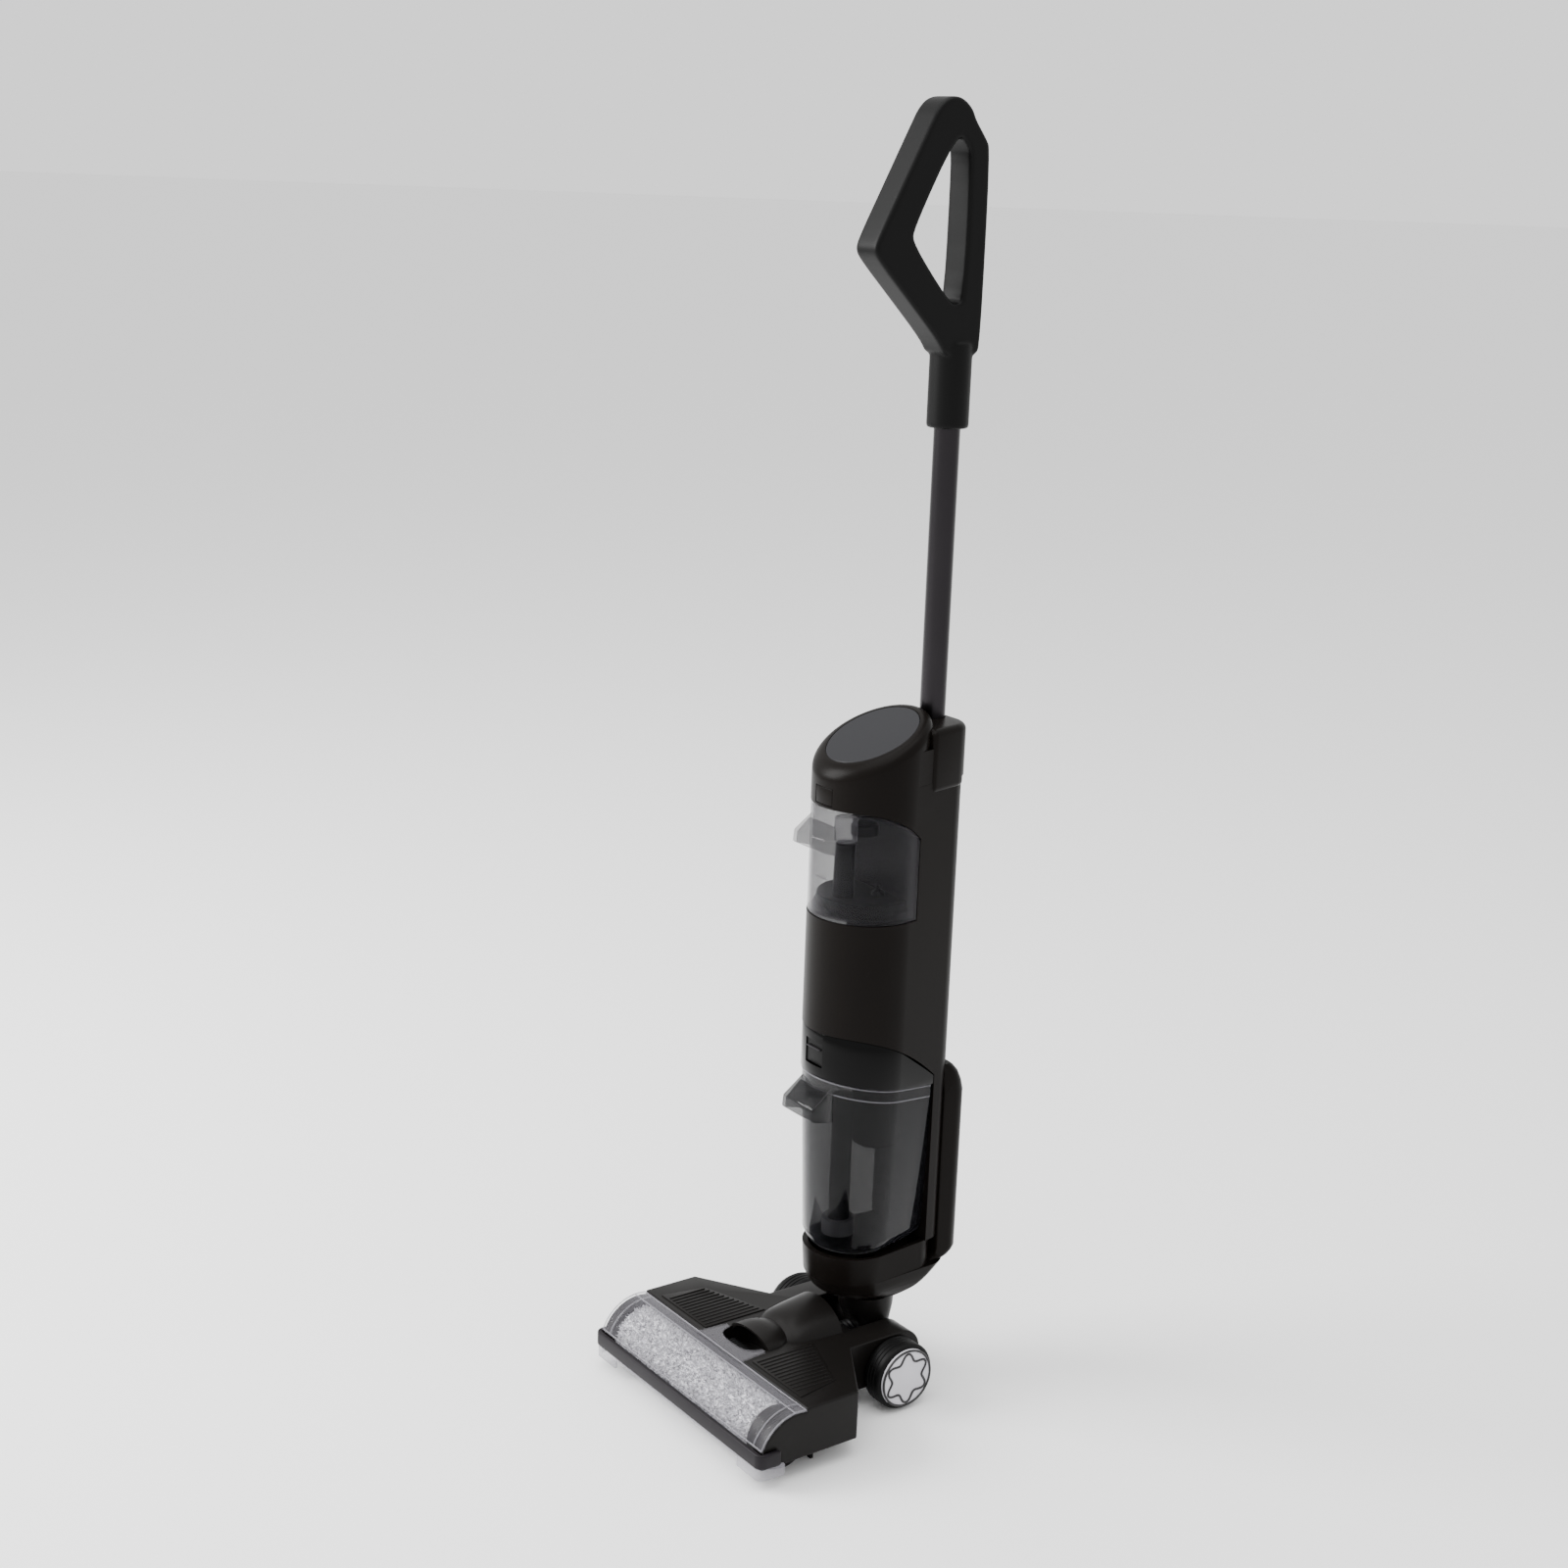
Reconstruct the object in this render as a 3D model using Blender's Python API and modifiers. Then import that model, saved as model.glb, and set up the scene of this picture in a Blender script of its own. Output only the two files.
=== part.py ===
"""Upright cordless wet dry floor scrubber, as an assembly of separate pieces.

Metres, +Z up, -Y is the front of the machine, X = 0 is its plane of symmetry and
Z = 0 is the floor. The origin lies on the floor under the middle of the machine.
"""

import math

import bmesh
import bpy
from mathutils import Matrix, Vector

# Clearances and walls
GAP = 0.0003
RUN = 0.0005
WALL = 0.0025

# Overall sizes
TOTAL_HEIGHT = 1.120
HEAD_WIDTH = 0.251

# Round sections
PLAN_STEPS = 36
ROUND_STEPS = 24
FINE_STEPS = 32

# Upright body: plan is the hull of one front circle and two rear corners
BODY_RADIUS = 0.0506
BODY_Y = 0.0448
REAR_HALF = 0.038
REAR_Y = 0.1253
CORNER_RADIUS = 0.022
BAY_OVERSHOOT = 0.020
COVER_SPLIT_Y = 0.1165

# Heights on the upright body
CUP_BOTTOM_Z = 0.0765
CUP_SHELF_Z = 0.1035
CUP_TOP_Z = 0.1297
DIRTY_BOTTOM_Z = 0.1300
DIRTY_SEAM_Z = 0.2985
DIRTY_SEAM_SLOPE = -0.165
DIRTY_TOP_Z = 0.3390
CLEAN_BOTTOM_Z = 0.4415
CLEAN_TOP_Z = 0.5395
COLLAR_Z = 0.5600
SOCKET_TOP_Z = 0.6060
DISPLAY_Z = 0.5970
DISPLAY_TILT = math.radians(25.0)
DOME_ROUND = 0.011
LENS_THICKNESS = 0.0020
COLLAR_PROUD = 0.0017

# Tanks
CLEAN_BACK_Y = 0.0640
DIRTY_BACK_Y = 0.1000
TANK_WALL = 0.0022
DIRTY_TAPER = 0.0062
TANK_SHRINK = 0.0004
TANK_HANDLE_HALF = 0.0225
CLEAN_HANDLE_REACH = 0.0145
DIRTY_HANDLE_REACH = 0.0168
CLEAN_HANDLE_TOP_Z = 0.5305
DIRTY_HANDLE_TOP_Z = 0.2915
PIPE_Y = 0.0205
PIPE_RADIUS = 0.0095
FILL_RADIUS = 0.0120

# Battery
BATTERY_BACK_Y = 0.1420
BATTERY_BOTTOM_Z = 0.1040
BATTERY_TOP_Z = 0.2940
CELL_RADIUS = 0.0090
CELL_HEIGHT = 0.0650

# Pole and handle
POLE_Y = 0.1090
POLE_RADIUS = 0.0112
POLE_WALL = 0.0012
POLE_BOTTOM_Z = 0.5625
SLEEVE_RADIUS = 0.0178
HANDLE_HEIGHT = 0.2662
HANDLE_HALF = 0.0145
HANDLE_WALL = 0.0035
POLE_IN_HANDLE = 0.0700

# Neck
PIVOT_Y = 0.0680
PIVOT_Z = 0.0400
SWIVEL_Y = 0.0660
BARREL_RADIUS = 0.0145
COLLAR_RADIUS = 0.0250
PIN_RADIUS = 0.0040

# Floor head
ROLLER_RADIUS = 0.0280
ROLLER_Y = -0.1040
ROLLER_CORE_RADIUS = 0.0200
ROLLER_CAP_LENGTH = 0.0190
CHEEK = 0.0120
SKIRT_Z = 0.0170
BASE_BOTTOM_Z = 0.0100
HEAD_REAR_Y = -0.0370
COVER_REAR_Y = -0.0910
COVER_WALL = 0.0022
CHAMBER_CLEARANCE = 0.0030
ARM_OUTER = 0.0615
ARM_INNER = 0.0330
SLOT_FRONT_Y = 0.0240
ARM_END_RADIUS = 0.0215
WAIST_Y = 0.0030
STRIP_TOP_Z = 0.0340
GUARD_LOW_Z = 0.0100
STRIP_LOW_Z = 0.0210
SHROUD_TOP_RISE = 0.0205
ARCH_POINTS = 12
RECESS_HALF = 0.0270
RECESS_FRONT_Y = -0.0820
RECESS_BACK_Y = -0.0500
RECESS_DEPTH = 0.0160
MOTOR_Y = -0.0500
MOTOR_Z = 0.0370
MOTOR_RADIUS = 0.0165
ROLLER_PULLEY_RADIUS = 0.0140
MOTOR_PULLEY_RADIUS = 0.0070
BELT_THICKNESS = 0.0016

# Wheels
WHEEL_RADIUS = 0.0305
WHEEL_Y = 0.0480
WHEEL_INNER_X = 0.0630
WHEEL_WIDTH = 0.0205
HUB_RADIUS = 0.0240
CAP_RADIUS = 0.0268

# Worked out from the sizes above
HEAD_HALF = HEAD_WIDTH / 2
COVER_Y = ROLLER_Y + 0.0045
COVER_Z = ROLLER_RADIUS - 0.0060
COVER_RADIUS = ROLLER_RADIUS + 0.0117
HEAD_TOP_Z = COVER_Z + COVER_RADIUS
CHEEK_RADIUS = COVER_RADIUS - COVER_WALL - GAP
CHAMBER_HALF = HEAD_HALF - CHEEK
CHAMBER_RADIUS = ROLLER_RADIUS + CHAMBER_CLEARANCE
BODY_FRONT_Y = BODY_Y - BODY_RADIUS
SLEEVE_BOTTOM_Z = TOTAL_HEIGHT - HANDLE_HEIGHT
POLE_TOP_Z = SLEEVE_BOTTOM_Z + POLE_IN_HANDLE
WHEEL_OUTER_X = WHEEL_INNER_X + WHEEL_WIDTH

PARTS = "wet_dry_floor_scrubber"
CUTTERS = "cutters"
CUP_RINGS = (
    # height, inset of the front, half width at the back, place of the back
    (CUP_BOTTOM_Z, 0.0336, 0.026, 0.0960),
    (CUP_BOTTOM_Z + 0.0025, 0.0271, 0.029, 0.1010),
    (CUP_BOTTOM_Z + 0.0075, 0.0196, 0.033, 0.1120),
    (CUP_BOTTOM_Z + 0.0155, 0.0134, 0.036, 0.1215),
    (CUP_SHELF_Z, 0.0096, 0.038, 0.1330),
    (CUP_SHELF_Z + GAP, 0.0095, 0.038, COVER_SPLIT_Y - GAP),
    (CUP_TOP_Z, 0.0078, 0.038, COVER_SPLIT_Y - GAP),
)
CUP_WALL_INSET = 0.0095
CUP_LEAN = 0.75
LATCH_HALF = 0.0115
LATCH_LOW_Z = CLEAN_TOP_Z + 0.0025
LATCH_HIGH_Z = CLEAN_TOP_Z + 0.0175
LATCH_TRAVEL = 0.0020
POLE_BUTTON_RADIUS = 0.0060
POLE_BUTTON_Z = 0.5800
LID_LATCH_LOW_Z = 0.3080
LID_LATCH_HIGH_Z = 0.3300
FILTER_Y = 0.0680
FILTER_RADIUS = 0.0220
FILTER_LOW_Z = 0.2200
STANDPIPE_Y = 0.0305
STANDPIPE_RADIUS = 0.0095
BUTTON_SLOPE = math.atan2(0.0145, 0.0120)
BUTTONS = {
    # name: place from the pole's axis, drop from the top, radius
    "power_button": (0.0062, 0.0214, 0.0055),
    "mode_button": (0.0128, 0.0293, 0.0035),
}
BUTTON_DEPTH = 0.0040
BUTTON_PROUD = 0.0014
GRIP_HALF = 0.0090
GRIP_THICKNESS = 0.0026
PULLEY_OUTER_X = HEAD_HALF - 0.0035
PULLEY_INNER_X = HEAD_HALF - 0.0105
SQUEEGEE_THICKNESS = 0.0026
SQUEEGEE_Y = ROLLER_Y + CHAMBER_RADIUS + 0.0012


def clear_scene():
    """Remove every object that is in the file."""
    for item in list(bpy.data.objects):
        bpy.data.objects.remove(item, do_unlink=True)


def collection(name):
    """A collection of that name, linked to the scene."""
    found = bpy.data.collections.get(name)
    if found is None:
        found = bpy.data.collections.new(name)
        bpy.context.scene.collection.children.link(found)
    return found


def finish(name, colour, roughness, metallic=0.0, alpha=1.0):
    """A plain material in one colour."""
    made = bpy.data.materials.get(name)
    if made is not None:
        return made
    made = bpy.data.materials.new(name)
    made.use_nodes = True
    shader = made.node_tree.nodes["Principled BSDF"]
    shader.inputs["Base Color"].default_value = (*colour, 1.0)
    shader.inputs["Roughness"].default_value = roughness
    shader.inputs["Metallic"].default_value = metallic
    shader.inputs["Alpha"].default_value = alpha
    return made


def body_black():
    return finish("body_black", (0.018, 0.016, 0.014), 0.38)


def head_black():
    return finish("head_black", (0.022, 0.019, 0.017), 0.45)


def soft_black():
    return finish("soft_black", (0.012, 0.012, 0.012), 0.70)


def inner_grey():
    return finish("inner_grey", (0.060, 0.060, 0.065), 0.55)


def clear_smoke():
    return finish("clear_smoke", (0.30, 0.29, 0.32), 0.10, alpha=0.4)


def dark_smoke():
    return finish("dark_smoke", (0.10, 0.10, 0.11), 0.12, alpha=0.6)


def pole_metal():
    return finish("pole_metal", (0.080, 0.078, 0.082), 0.28, 1.0)


def bright_steel():
    return finish("bright_steel", (0.60, 0.60, 0.62), 0.25, 1.0)


def pale_grey():
    return finish("pale_grey", (0.42, 0.41, 0.43), 0.45)


def flock_grey():
    return finish("flock_grey", (0.36, 0.35, 0.37), 0.95)


def board_green():
    return finish("board_green", (0.010, 0.080, 0.035), 0.50)


def show(name, mesh, material=None, cutter=False):
    """Put a mesh in the scene as a named part, or as a cutter."""
    made = bpy.data.objects.new(name, mesh)
    collection(CUTTERS if cutter else PARTS).objects.link(made)
    if cutter:
        made.hide_render = True
        made.display_type = "WIRE"
    if material is not None:
        mesh.materials.append(material)
    if not cutter:
        mesh.shade_smooth()
        mesh.set_sharp_from_angle(angle=math.radians(35))
    return made


def mesh_of(name, shape):
    """Turn a bmesh into a mesh with its faces pointing out."""
    bmesh.ops.recalc_face_normals(shape, faces=shape.faces)
    mesh = bpy.data.meshes.new(name)
    shape.to_mesh(mesh)
    shape.free()
    return mesh


def box(name, low, high, material=None, cutter=False):
    """A box between two corners."""
    shape = bmesh.new()
    centre = (Vector(low) + Vector(high)) / 2
    size = Vector(high) - Vector(low)
    place = Matrix.Translation(centre) @ Matrix.Diagonal((*size, 1.0))
    bmesh.ops.create_cube(shape, size=1.0, matrix=place)
    return show(name, mesh_of(name, shape), material, cutter)


def turn_to(axis):
    """The rotation that takes Z to the named axis."""
    return {
        "X": Matrix.Rotation(math.pi / 2, 4, "Y"),
        "Y": Matrix.Rotation(-math.pi / 2, 4, "X"),
        "Z": Matrix.Identity(4),
    }[axis]


def cylinder(name, radius, start, length, axis, material=None, cutter=False, steps=ROUND_STEPS):
    """A cylinder from its start point along an axis, as a part with its origin on that axis."""
    shape = bmesh.new()
    place = turn_to(axis) @ Matrix.Translation((0, 0, length / 2))
    bmesh.ops.create_cone(
        shape, cap_ends=True, segments=steps, radius1=radius, radius2=radius, depth=length, matrix=place
    )
    made = show(name, mesh_of(name, shape), material, cutter)
    made.location = start
    return made


def lathe(name, profile, start, axis, material=None, cutter=False, steps=FINE_STEPS):
    """Turn a closed profile of (radius, height) points, given down its outer side, about an axis."""
    mesh = bpy.data.meshes.new(name)
    points = [(radius, 0.0, height) for radius, height in profile]
    closed = profile[0][0] > 0 or profile[-1][0] > 0
    edges = [(i, i + 1) for i in range(len(points) - 1)]
    if closed:
        edges.append((len(points) - 1, 0))
    mesh.from_pydata(points, edges, [])
    made = show(name, mesh, material, cutter)
    screw = made.modifiers.new("turn", "SCREW")
    screw.steps = steps
    screw.render_steps = steps
    screw.use_merge_vertices = True
    screw.merge_threshold = 0.00001
    made.matrix_world = Matrix.Translation(start) @ turn_to(axis)
    return made


def plate(name, loops, low, high, plane="XY", material=None, cutter=False):
    """A flat outline, with holes if it has more loops, between two levels across its plane."""
    curve = bpy.data.curves.new(name, "CURVE")
    curve.dimensions = "2D"
    curve.fill_mode = "BOTH"
    curve.extrude = (high - low) / 2
    for loop in loops:
        spline = curve.splines.new("POLY")
        spline.points.add(len(loop) - 1)
        spline.use_cyclic_u = True
        for point, (across, along) in zip(spline.points, loop):
            point.co = (across, along, 0.0, 1.0)
    drawn = bpy.data.objects.new(name + "_outline", curve)
    collection(CUTTERS).objects.link(drawn)
    bpy.context.view_layer.update()
    view = bpy.context.evaluated_depsgraph_get()
    mesh = bpy.data.meshes.new_from_object(drawn.evaluated_get(view))
    bpy.data.objects.remove(drawn, do_unlink=True)
    shape = bmesh.new()
    shape.from_mesh(mesh)
    bmesh.ops.remove_doubles(shape, verts=shape.verts, dist=0.00001)
    level = (low + high) / 2
    stand = {
        "XY": Matrix.Translation((0, 0, level)),
        "YZ": Matrix(((0, 0, 1, level), (1, 0, 0, 0), (0, 1, 0, 0), (0, 0, 0, 1))),
    }[plane]
    bmesh.ops.transform(shape, matrix=stand, verts=shape.verts)
    bpy.data.meshes.remove(mesh)
    return show(name, mesh_of(name, shape), material, cutter)


def loft(name, rings, material=None, cutter=False):
    """A closed skin through rings of equal count, each symmetric about its own middle."""
    shape = bmesh.new()
    rows = [[shape.verts.new(point) for point in ring] for ring in rings]
    count = len(rows[0])
    for low, high in zip(rows, rows[1:]):
        for i in range(count):
            j = (i + 1) % count
            shape.faces.new((low[i], low[j], high[j], high[i]))
    for row in (rows[0], rows[-1]):
        for i in range(count // 2 - 1):
            shape.faces.new((row[i], row[i + 1], row[count - 2 - i], row[count - 1 - i]))
    return show(name, mesh_of(name, shape), material, cutter)


def boolean(part, other, operation):
    """Cut or join with another closed mesh."""
    step = part.modifiers.new(operation.lower(), "BOOLEAN")
    step.operation = operation
    step.object = other
    step.solver = "EXACT"


def cut(part, *others):
    for other in others:
        boolean(part, other, "DIFFERENCE")


def join(part, *others):
    for other in others:
        boolean(part, other, "UNION")


def arc(centre, radius, first, last, steps):
    """Points on an arc, its angles in degrees from the first axis."""
    points = []
    for k in range(steps + 1):
        angle = math.radians(first + (last - first) * k / steps)
        points.append((centre[0] + radius * math.cos(angle), centre[1] + radius * math.sin(angle)))
    return points


def hull_ring(circles, inset=0.0, count=PLAN_STEPS):
    """Points round the hull of some circles (x, y, radius), moved in by an inset."""
    ring = []
    for k in range(count):
        angle = 2 * math.pi * (k + 0.5) / count
        nx, ny = math.sin(angle), -math.cos(angle)
        x, y, radius = max(circles, key=lambda c: c[0] * nx + c[1] * ny + c[2])
        reach = max(radius - inset, 0.0004)
        ring.append((x + reach * nx, y + reach * ny))
    return ring


def body_circles():
    """The circles whose hull is the plan of the upright body."""
    across = REAR_HALF - CORNER_RADIUS
    back = REAR_Y - CORNER_RADIUS
    return [(0, BODY_Y, BODY_RADIUS), (across, back, CORNER_RADIUS), (-across, back, CORNER_RADIUS)]


def clip(loop, level, keep):
    """The part of a loop on one side of a level in Y, where keep is 1 for above and -1 for below."""
    kept = []
    for (ax, ay), (bx, by) in zip(loop, loop[1:] + loop[:1]):
        a_in, b_in = (ay - level) * keep >= 0, (by - level) * keep >= 0
        if a_in:
            kept.append((ax, ay))
        if a_in != b_in:
            share = (level - ay) / (by - ay)
            kept.append((ax + (bx - ax) * share, level))
    return kept


def offset(loop, distance):
    """Move an anticlockwise loop's sides in by a distance."""
    moved = []
    count = len(loop)
    for i in range(count):
        before, here, after = Vector(loop[i - 1]), Vector(loop[i]), Vector(loop[(i + 1) % count])
        first, second = (here - before).normalized(), (after - here).normalized()
        n1, n2 = Vector((-first.y, first.x)), Vector((-second.y, second.x))
        middle = (n1 + n2) / (1 + n1.dot(n2))
        moved.append(tuple(here + middle * distance))
    return moved


def dirty_top(y):
    """Height of the dirty tank lid's top, which falls away to the back."""
    share = max(0.0, y) / 0.0925
    return DIRTY_TOP_Z - 0.0425 * share**1.8


def dirty_seam(y):
    """Height of the seam between the dirty tank and its lid."""
    return DIRTY_SEAM_Z + DIRTY_SEAM_SLOPE * (y - BODY_FRONT_Y)


def clean_top(y):
    """Height of the clean tank's top, with its rounded back corner."""
    share = max(0.0, y + 0.006) / 0.070
    return CLEAN_TOP_Z - 0.0255 * share**2.5


def display_level(y):
    """Height of the sloping display face."""
    return DISPLAY_Z + (y - BODY_Y) * math.tan(DISPLAY_TILT)


def ring_at(circles, level, inset=0.0):
    """A ring in space whose height is a number or a function of Y."""
    height = level if callable(level) else (lambda y: level)
    return [(x, y, height(y)) for x, y in hull_ring(circles, inset)]


def tank_ring(level, back_y, inset=0.0):
    """A ring of the body's plan, moved in by an inset and cut off flat at the back."""
    height = level if callable(level) else (lambda y: level)
    loop = clip(hull_ring(body_circles(), inset), back_y, -1)
    return [(x, y, height(y)) for x, y in loop]


# Upright body


def dome(name, inset, bottom, drop, cutter):
    """The sloping round top of the body, or the hollow in it."""
    radius = BODY_RADIUS - inset
    circle = [(0, BODY_Y, radius)]
    rings = [ring_at(circle, bottom)]
    for degrees in (0, 30, 60, 90):
        angle = math.radians(degrees)
        sink = drop + DOME_ROUND * (1 - math.sin(angle))
        shrink = DOME_ROUND * (1 - math.cos(angle))
        rings.append(ring_at(circle, lambda y, s=sink: display_level(y) - s, shrink))
    return loft(name, rings, body_black(), cutter)


def tank_bay(name, back_y, bottom, top):
    """The space that a tank slides into, open to the front and sides."""
    half = BODY_RADIUS + BAY_OVERSHOOT
    front_y, steps = BODY_FRONT_Y - BAY_OVERSHOOT, 12
    places = [front_y + (back_y + GAP - front_y) * k / steps for k in range(steps + 1)]
    rings = []
    for height in (lambda y: bottom, top):
        right = [(half, y, height(y)) for y in places]
        rings.append(right + [(-x, y, z) for x, y, z in reversed(right)])
    return loft(name, rings, cutter=True)


def inner_pocket(name, wall, front_y, low, high):
    """A hollow inside the body's walls between two heights, open at the back."""
    back_y = COVER_SPLIT_Y - 0.004
    inside = clip(clip(hull_ring(body_circles(), wall), front_y, 1), back_y, -1)
    outline = []
    for x, y in inside:
        at_back = y > back_y - GAP
        if at_back and x < 0:
            outline.append((x, y + BAY_OVERSHOOT))
        outline.append((x, y))
        if at_back and x > 0:
            outline.append((x, y + BAY_OVERSHOOT))
    return plate(name, [outline], low, high, cutter=True)


def main_housing():
    """The body's one-piece chassis: sloping head, tank bays, motor room and spine."""
    plan = hull_ring(body_circles())
    part = plate("main_housing", [plan], CUP_TOP_Z + GAP, COLLAR_Z, material=body_black())
    join(part, dome("dome_head", 0.0, CLEAN_TOP_Z - 0.006, 0.0, True))
    proud = clip(hull_ring(body_circles(), -COLLAR_PROUD), BODY_Y + 0.030, 1)
    collar = plate("pole_collar", [proud], COLLAR_Z - 0.010, SOCKET_TOP_Z, cutter=True)
    join(part, collar)
    pockets = [
        dome("dome_room", WALL, CLEAN_TOP_Z + 0.003, LENS_THICKNESS + 0.004, True),
        inner_pocket(
            "dome_pocket", WALL + 0.0002, BODY_Y, CLEAN_TOP_Z + 0.0035, COLLAR_Z - 0.003
        ),
        inner_pocket(
            "bay_pocket", WALL, CLEAN_BACK_Y + WALL, CLEAN_BOTTOM_Z - 0.010, CLEAN_TOP_Z + 0.0065
        ),
        inner_pocket(
            "motor_pocket",
            WALL + 0.0004,
            BODY_FRONT_Y + WALL,
            DIRTY_TOP_Z + 0.004,
            CLEAN_BOTTOM_Z - 0.003,
        ),
        box(
            "spine_pocket",
            (-REAR_HALF + 0.007, DIRTY_BACK_Y + WALL + 0.001, CUP_TOP_Z - 0.01),
            (REAR_HALF - 0.007, REAR_Y + 0.02, DIRTY_TOP_Z + 0.005),
            cutter=True,
        ),
    ]
    cut(part, *pockets)
    socket = cylinder(
        "pole_socket",
        POLE_RADIUS + 0.0034,
        (0, POLE_Y, POLE_BOTTOM_Z - 0.004),
        SOCKET_TOP_Z - POLE_BOTTOM_Z - 0.002,
        "Z",
        cutter=True,
    )
    join(part, socket)
    bore = cylinder(
        "pole_bore", POLE_RADIUS + GAP, (0, POLE_Y, POLE_BOTTOM_Z - GAP), 0.1, "Z", cutter=True
    )
    lens_seat = loft(
        "lens_seat",
        [
            ring_at(
                [(0, BODY_Y, BODY_RADIUS)],
                lambda y: display_level(y) - LENS_THICKNESS - GAP,
                DOME_ROUND,
            ),
            ring_at([(0, BODY_Y, BODY_RADIUS)], lambda y: display_level(y) + 0.004, DOME_ROUND),
        ],
        cutter=True,
    )
    clean_bay = tank_bay(
        "clean_bay", CLEAN_BACK_Y, CLEAN_BOTTOM_Z - GAP, lambda y: clean_top(y) + GAP
    )
    dirty_bay = tank_bay("dirty_bay", DIRTY_BACK_Y, CUP_TOP_Z - 0.01, lambda y: dirty_top(y) + GAP)
    battery_bay = box(
        "battery_bay",
        (-0.1, COVER_SPLIT_Y - GAP, CUP_TOP_Z - 0.1),
        (0.1, 0.2, COLLAR_Z + GAP),
        cutter=True,
    )
    latch_hole = box(
        "clean_latch_hole",
        (-LATCH_HALF - GAP, BODY_FRONT_Y - 0.02, LATCH_LOW_Z - GAP),
        (LATCH_HALF + GAP, BODY_FRONT_Y + 0.012, LATCH_HIGH_Z + GAP),
        cutter=True,
    )
    button_hole = cylinder(
        "pole_button_hole",
        POLE_BUTTON_RADIUS + GAP,
        (0, REAR_Y - 0.008, POLE_BUTTON_Z),
        0.03,
        "Y",
        cutter=True,
    )
    cut(part, bore, lens_seat, clean_bay, dirty_bay, battery_bay, latch_hole, button_hole)
    return part


def rear_cover():
    """The cover that closes the back of the body above the battery."""
    outline = clip(hull_ring(body_circles()), COVER_SPLIT_Y, 1)
    part = plate("rear_cover", [outline], BATTERY_TOP_Z + GAP, COLLAR_Z, material=body_black())
    inner = clip(hull_ring(body_circles(), WALL), COVER_SPLIT_Y - 0.003, 1)
    hollow = plate(
        "rear_hollow", [inner], BATTERY_TOP_Z + WALL, COLLAR_Z - WALL, cutter=True
    )
    cut(part, hollow)
    return part


def cup_circles(inset, half, back):
    """Plan of the base cup at one height."""
    across = half - CORNER_RADIUS
    middle = BODY_Y + CUP_LEAN * max(0.0, inset - CUP_WALL_INSET)
    rear = back - CORNER_RADIUS
    return [
        (0, middle, BODY_RADIUS - inset),
        (across, rear, CORNER_RADIUS),
        (-across, rear, CORNER_RADIUS),
    ]


def base_cup():
    """The cup under the dirty tank, which turns on the neck."""
    rings = [ring_at(cup_circles(inset, half, back), z) for z, inset, half, back in CUP_RINGS]
    part = loft("base_cup", rings, body_black())
    circles = cup_circles(*CUP_RINGS[-1][1:])
    hollow = loft(
        "cup_hollow",
        [ring_at(circles, CUP_SHELF_Z, 0.006), ring_at(circles, CUP_TOP_Z + 0.01, 0.003)],
        cutter=True,
    )
    duct = cylinder(
        "cup_duct", 0.0120, (0, SWIVEL_Y, CUP_BOTTOM_Z - 0.01), 0.05, "Z", cutter=True
    )
    cut(part, hollow, duct)
    return part


def clean_latch():
    """The push button above the clean tank that lets it go."""
    return box(
        "clean_latch",
        (-LATCH_HALF, BODY_FRONT_Y - 0.0004, LATCH_LOW_Z),
        (LATCH_HALF, BODY_FRONT_Y + 0.0080, LATCH_HIGH_Z),
        body_black(),
    )


def latch_spring():
    """The coil spring behind the clean tank's button."""
    turns, per_turn, radius = 5, 8, 0.0030
    start, length = BODY_FRONT_Y + 0.0080 + LATCH_TRAVEL + 0.0010, 0.0080
    curve = bpy.data.curves.new("latch_spring", "CURVE")
    curve.dimensions = "3D"
    curve.bevel_depth = 0.0005
    curve.bevel_resolution = 1
    curve.use_fill_caps = True
    spline = curve.splines.new("POLY")
    count = turns * per_turn
    spline.points.add(count)
    for k, point in enumerate(spline.points):
        angle = 2 * math.pi * k / per_turn
        level = (LATCH_LOW_Z + LATCH_HIGH_Z) / 2
        place = (radius * math.cos(angle), start + length * k / count, level + radius * math.sin(angle))
        point.co = (*place, 1.0)
    made = bpy.data.objects.new("latch_spring", curve)
    curve.materials.append(bright_steel())
    collection(PARTS).objects.link(made)
    return made


def pole_button():
    """The button at the back that frees the pole."""
    return cylinder(
        "pole_button",
        POLE_BUTTON_RADIUS,
        (0, REAR_Y - 0.0015, POLE_BUTTON_Z),
        COLLAR_PROUD + 0.0030,
        "Y",
        soft_black(),
    )


def display_lens():
    """The grey window over the display."""
    circle = [(0, BODY_Y, BODY_RADIUS)]
    inset = DOME_ROUND + GAP
    rings = [
        ring_at(circle, lambda y: display_level(y) - LENS_THICKNESS, inset),
        ring_at(circle, display_level, inset),
    ]
    return loft("display_lens", rings, finish("lens_grey", (0.085, 0.082, 0.090), 0.25))


def display_board():
    """The display's circuit board, in the room under the lens."""
    return cylinder(
        "display_board", 0.024, (0, BODY_Y + 0.002, CLEAN_TOP_Z + 0.0095), 0.0016, "Z", board_green()
    )


def suction_motor():
    """The suction fan's motor, in the room between the tanks."""
    bottom, top = DIRTY_TOP_Z + 0.022, CLEAN_BOTTOM_Z - 0.008
    profile = [
        (0.0000, top),
        (0.0120, top),
        (0.0120, top - 0.006),
        (0.0320, top - 0.006),
        (0.0320, bottom + 0.010),
        (0.0340, bottom + 0.010),
        (0.0340, bottom),
        (0.0034, bottom),
        (0.0034, bottom + 0.010),
        (0.0000, bottom + 0.010),
    ]
    return lathe("suction_motor", profile, (0, BODY_Y + 0.003, 0), "Z", bright_steel(), steps=ROUND_STEPS)


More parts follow.
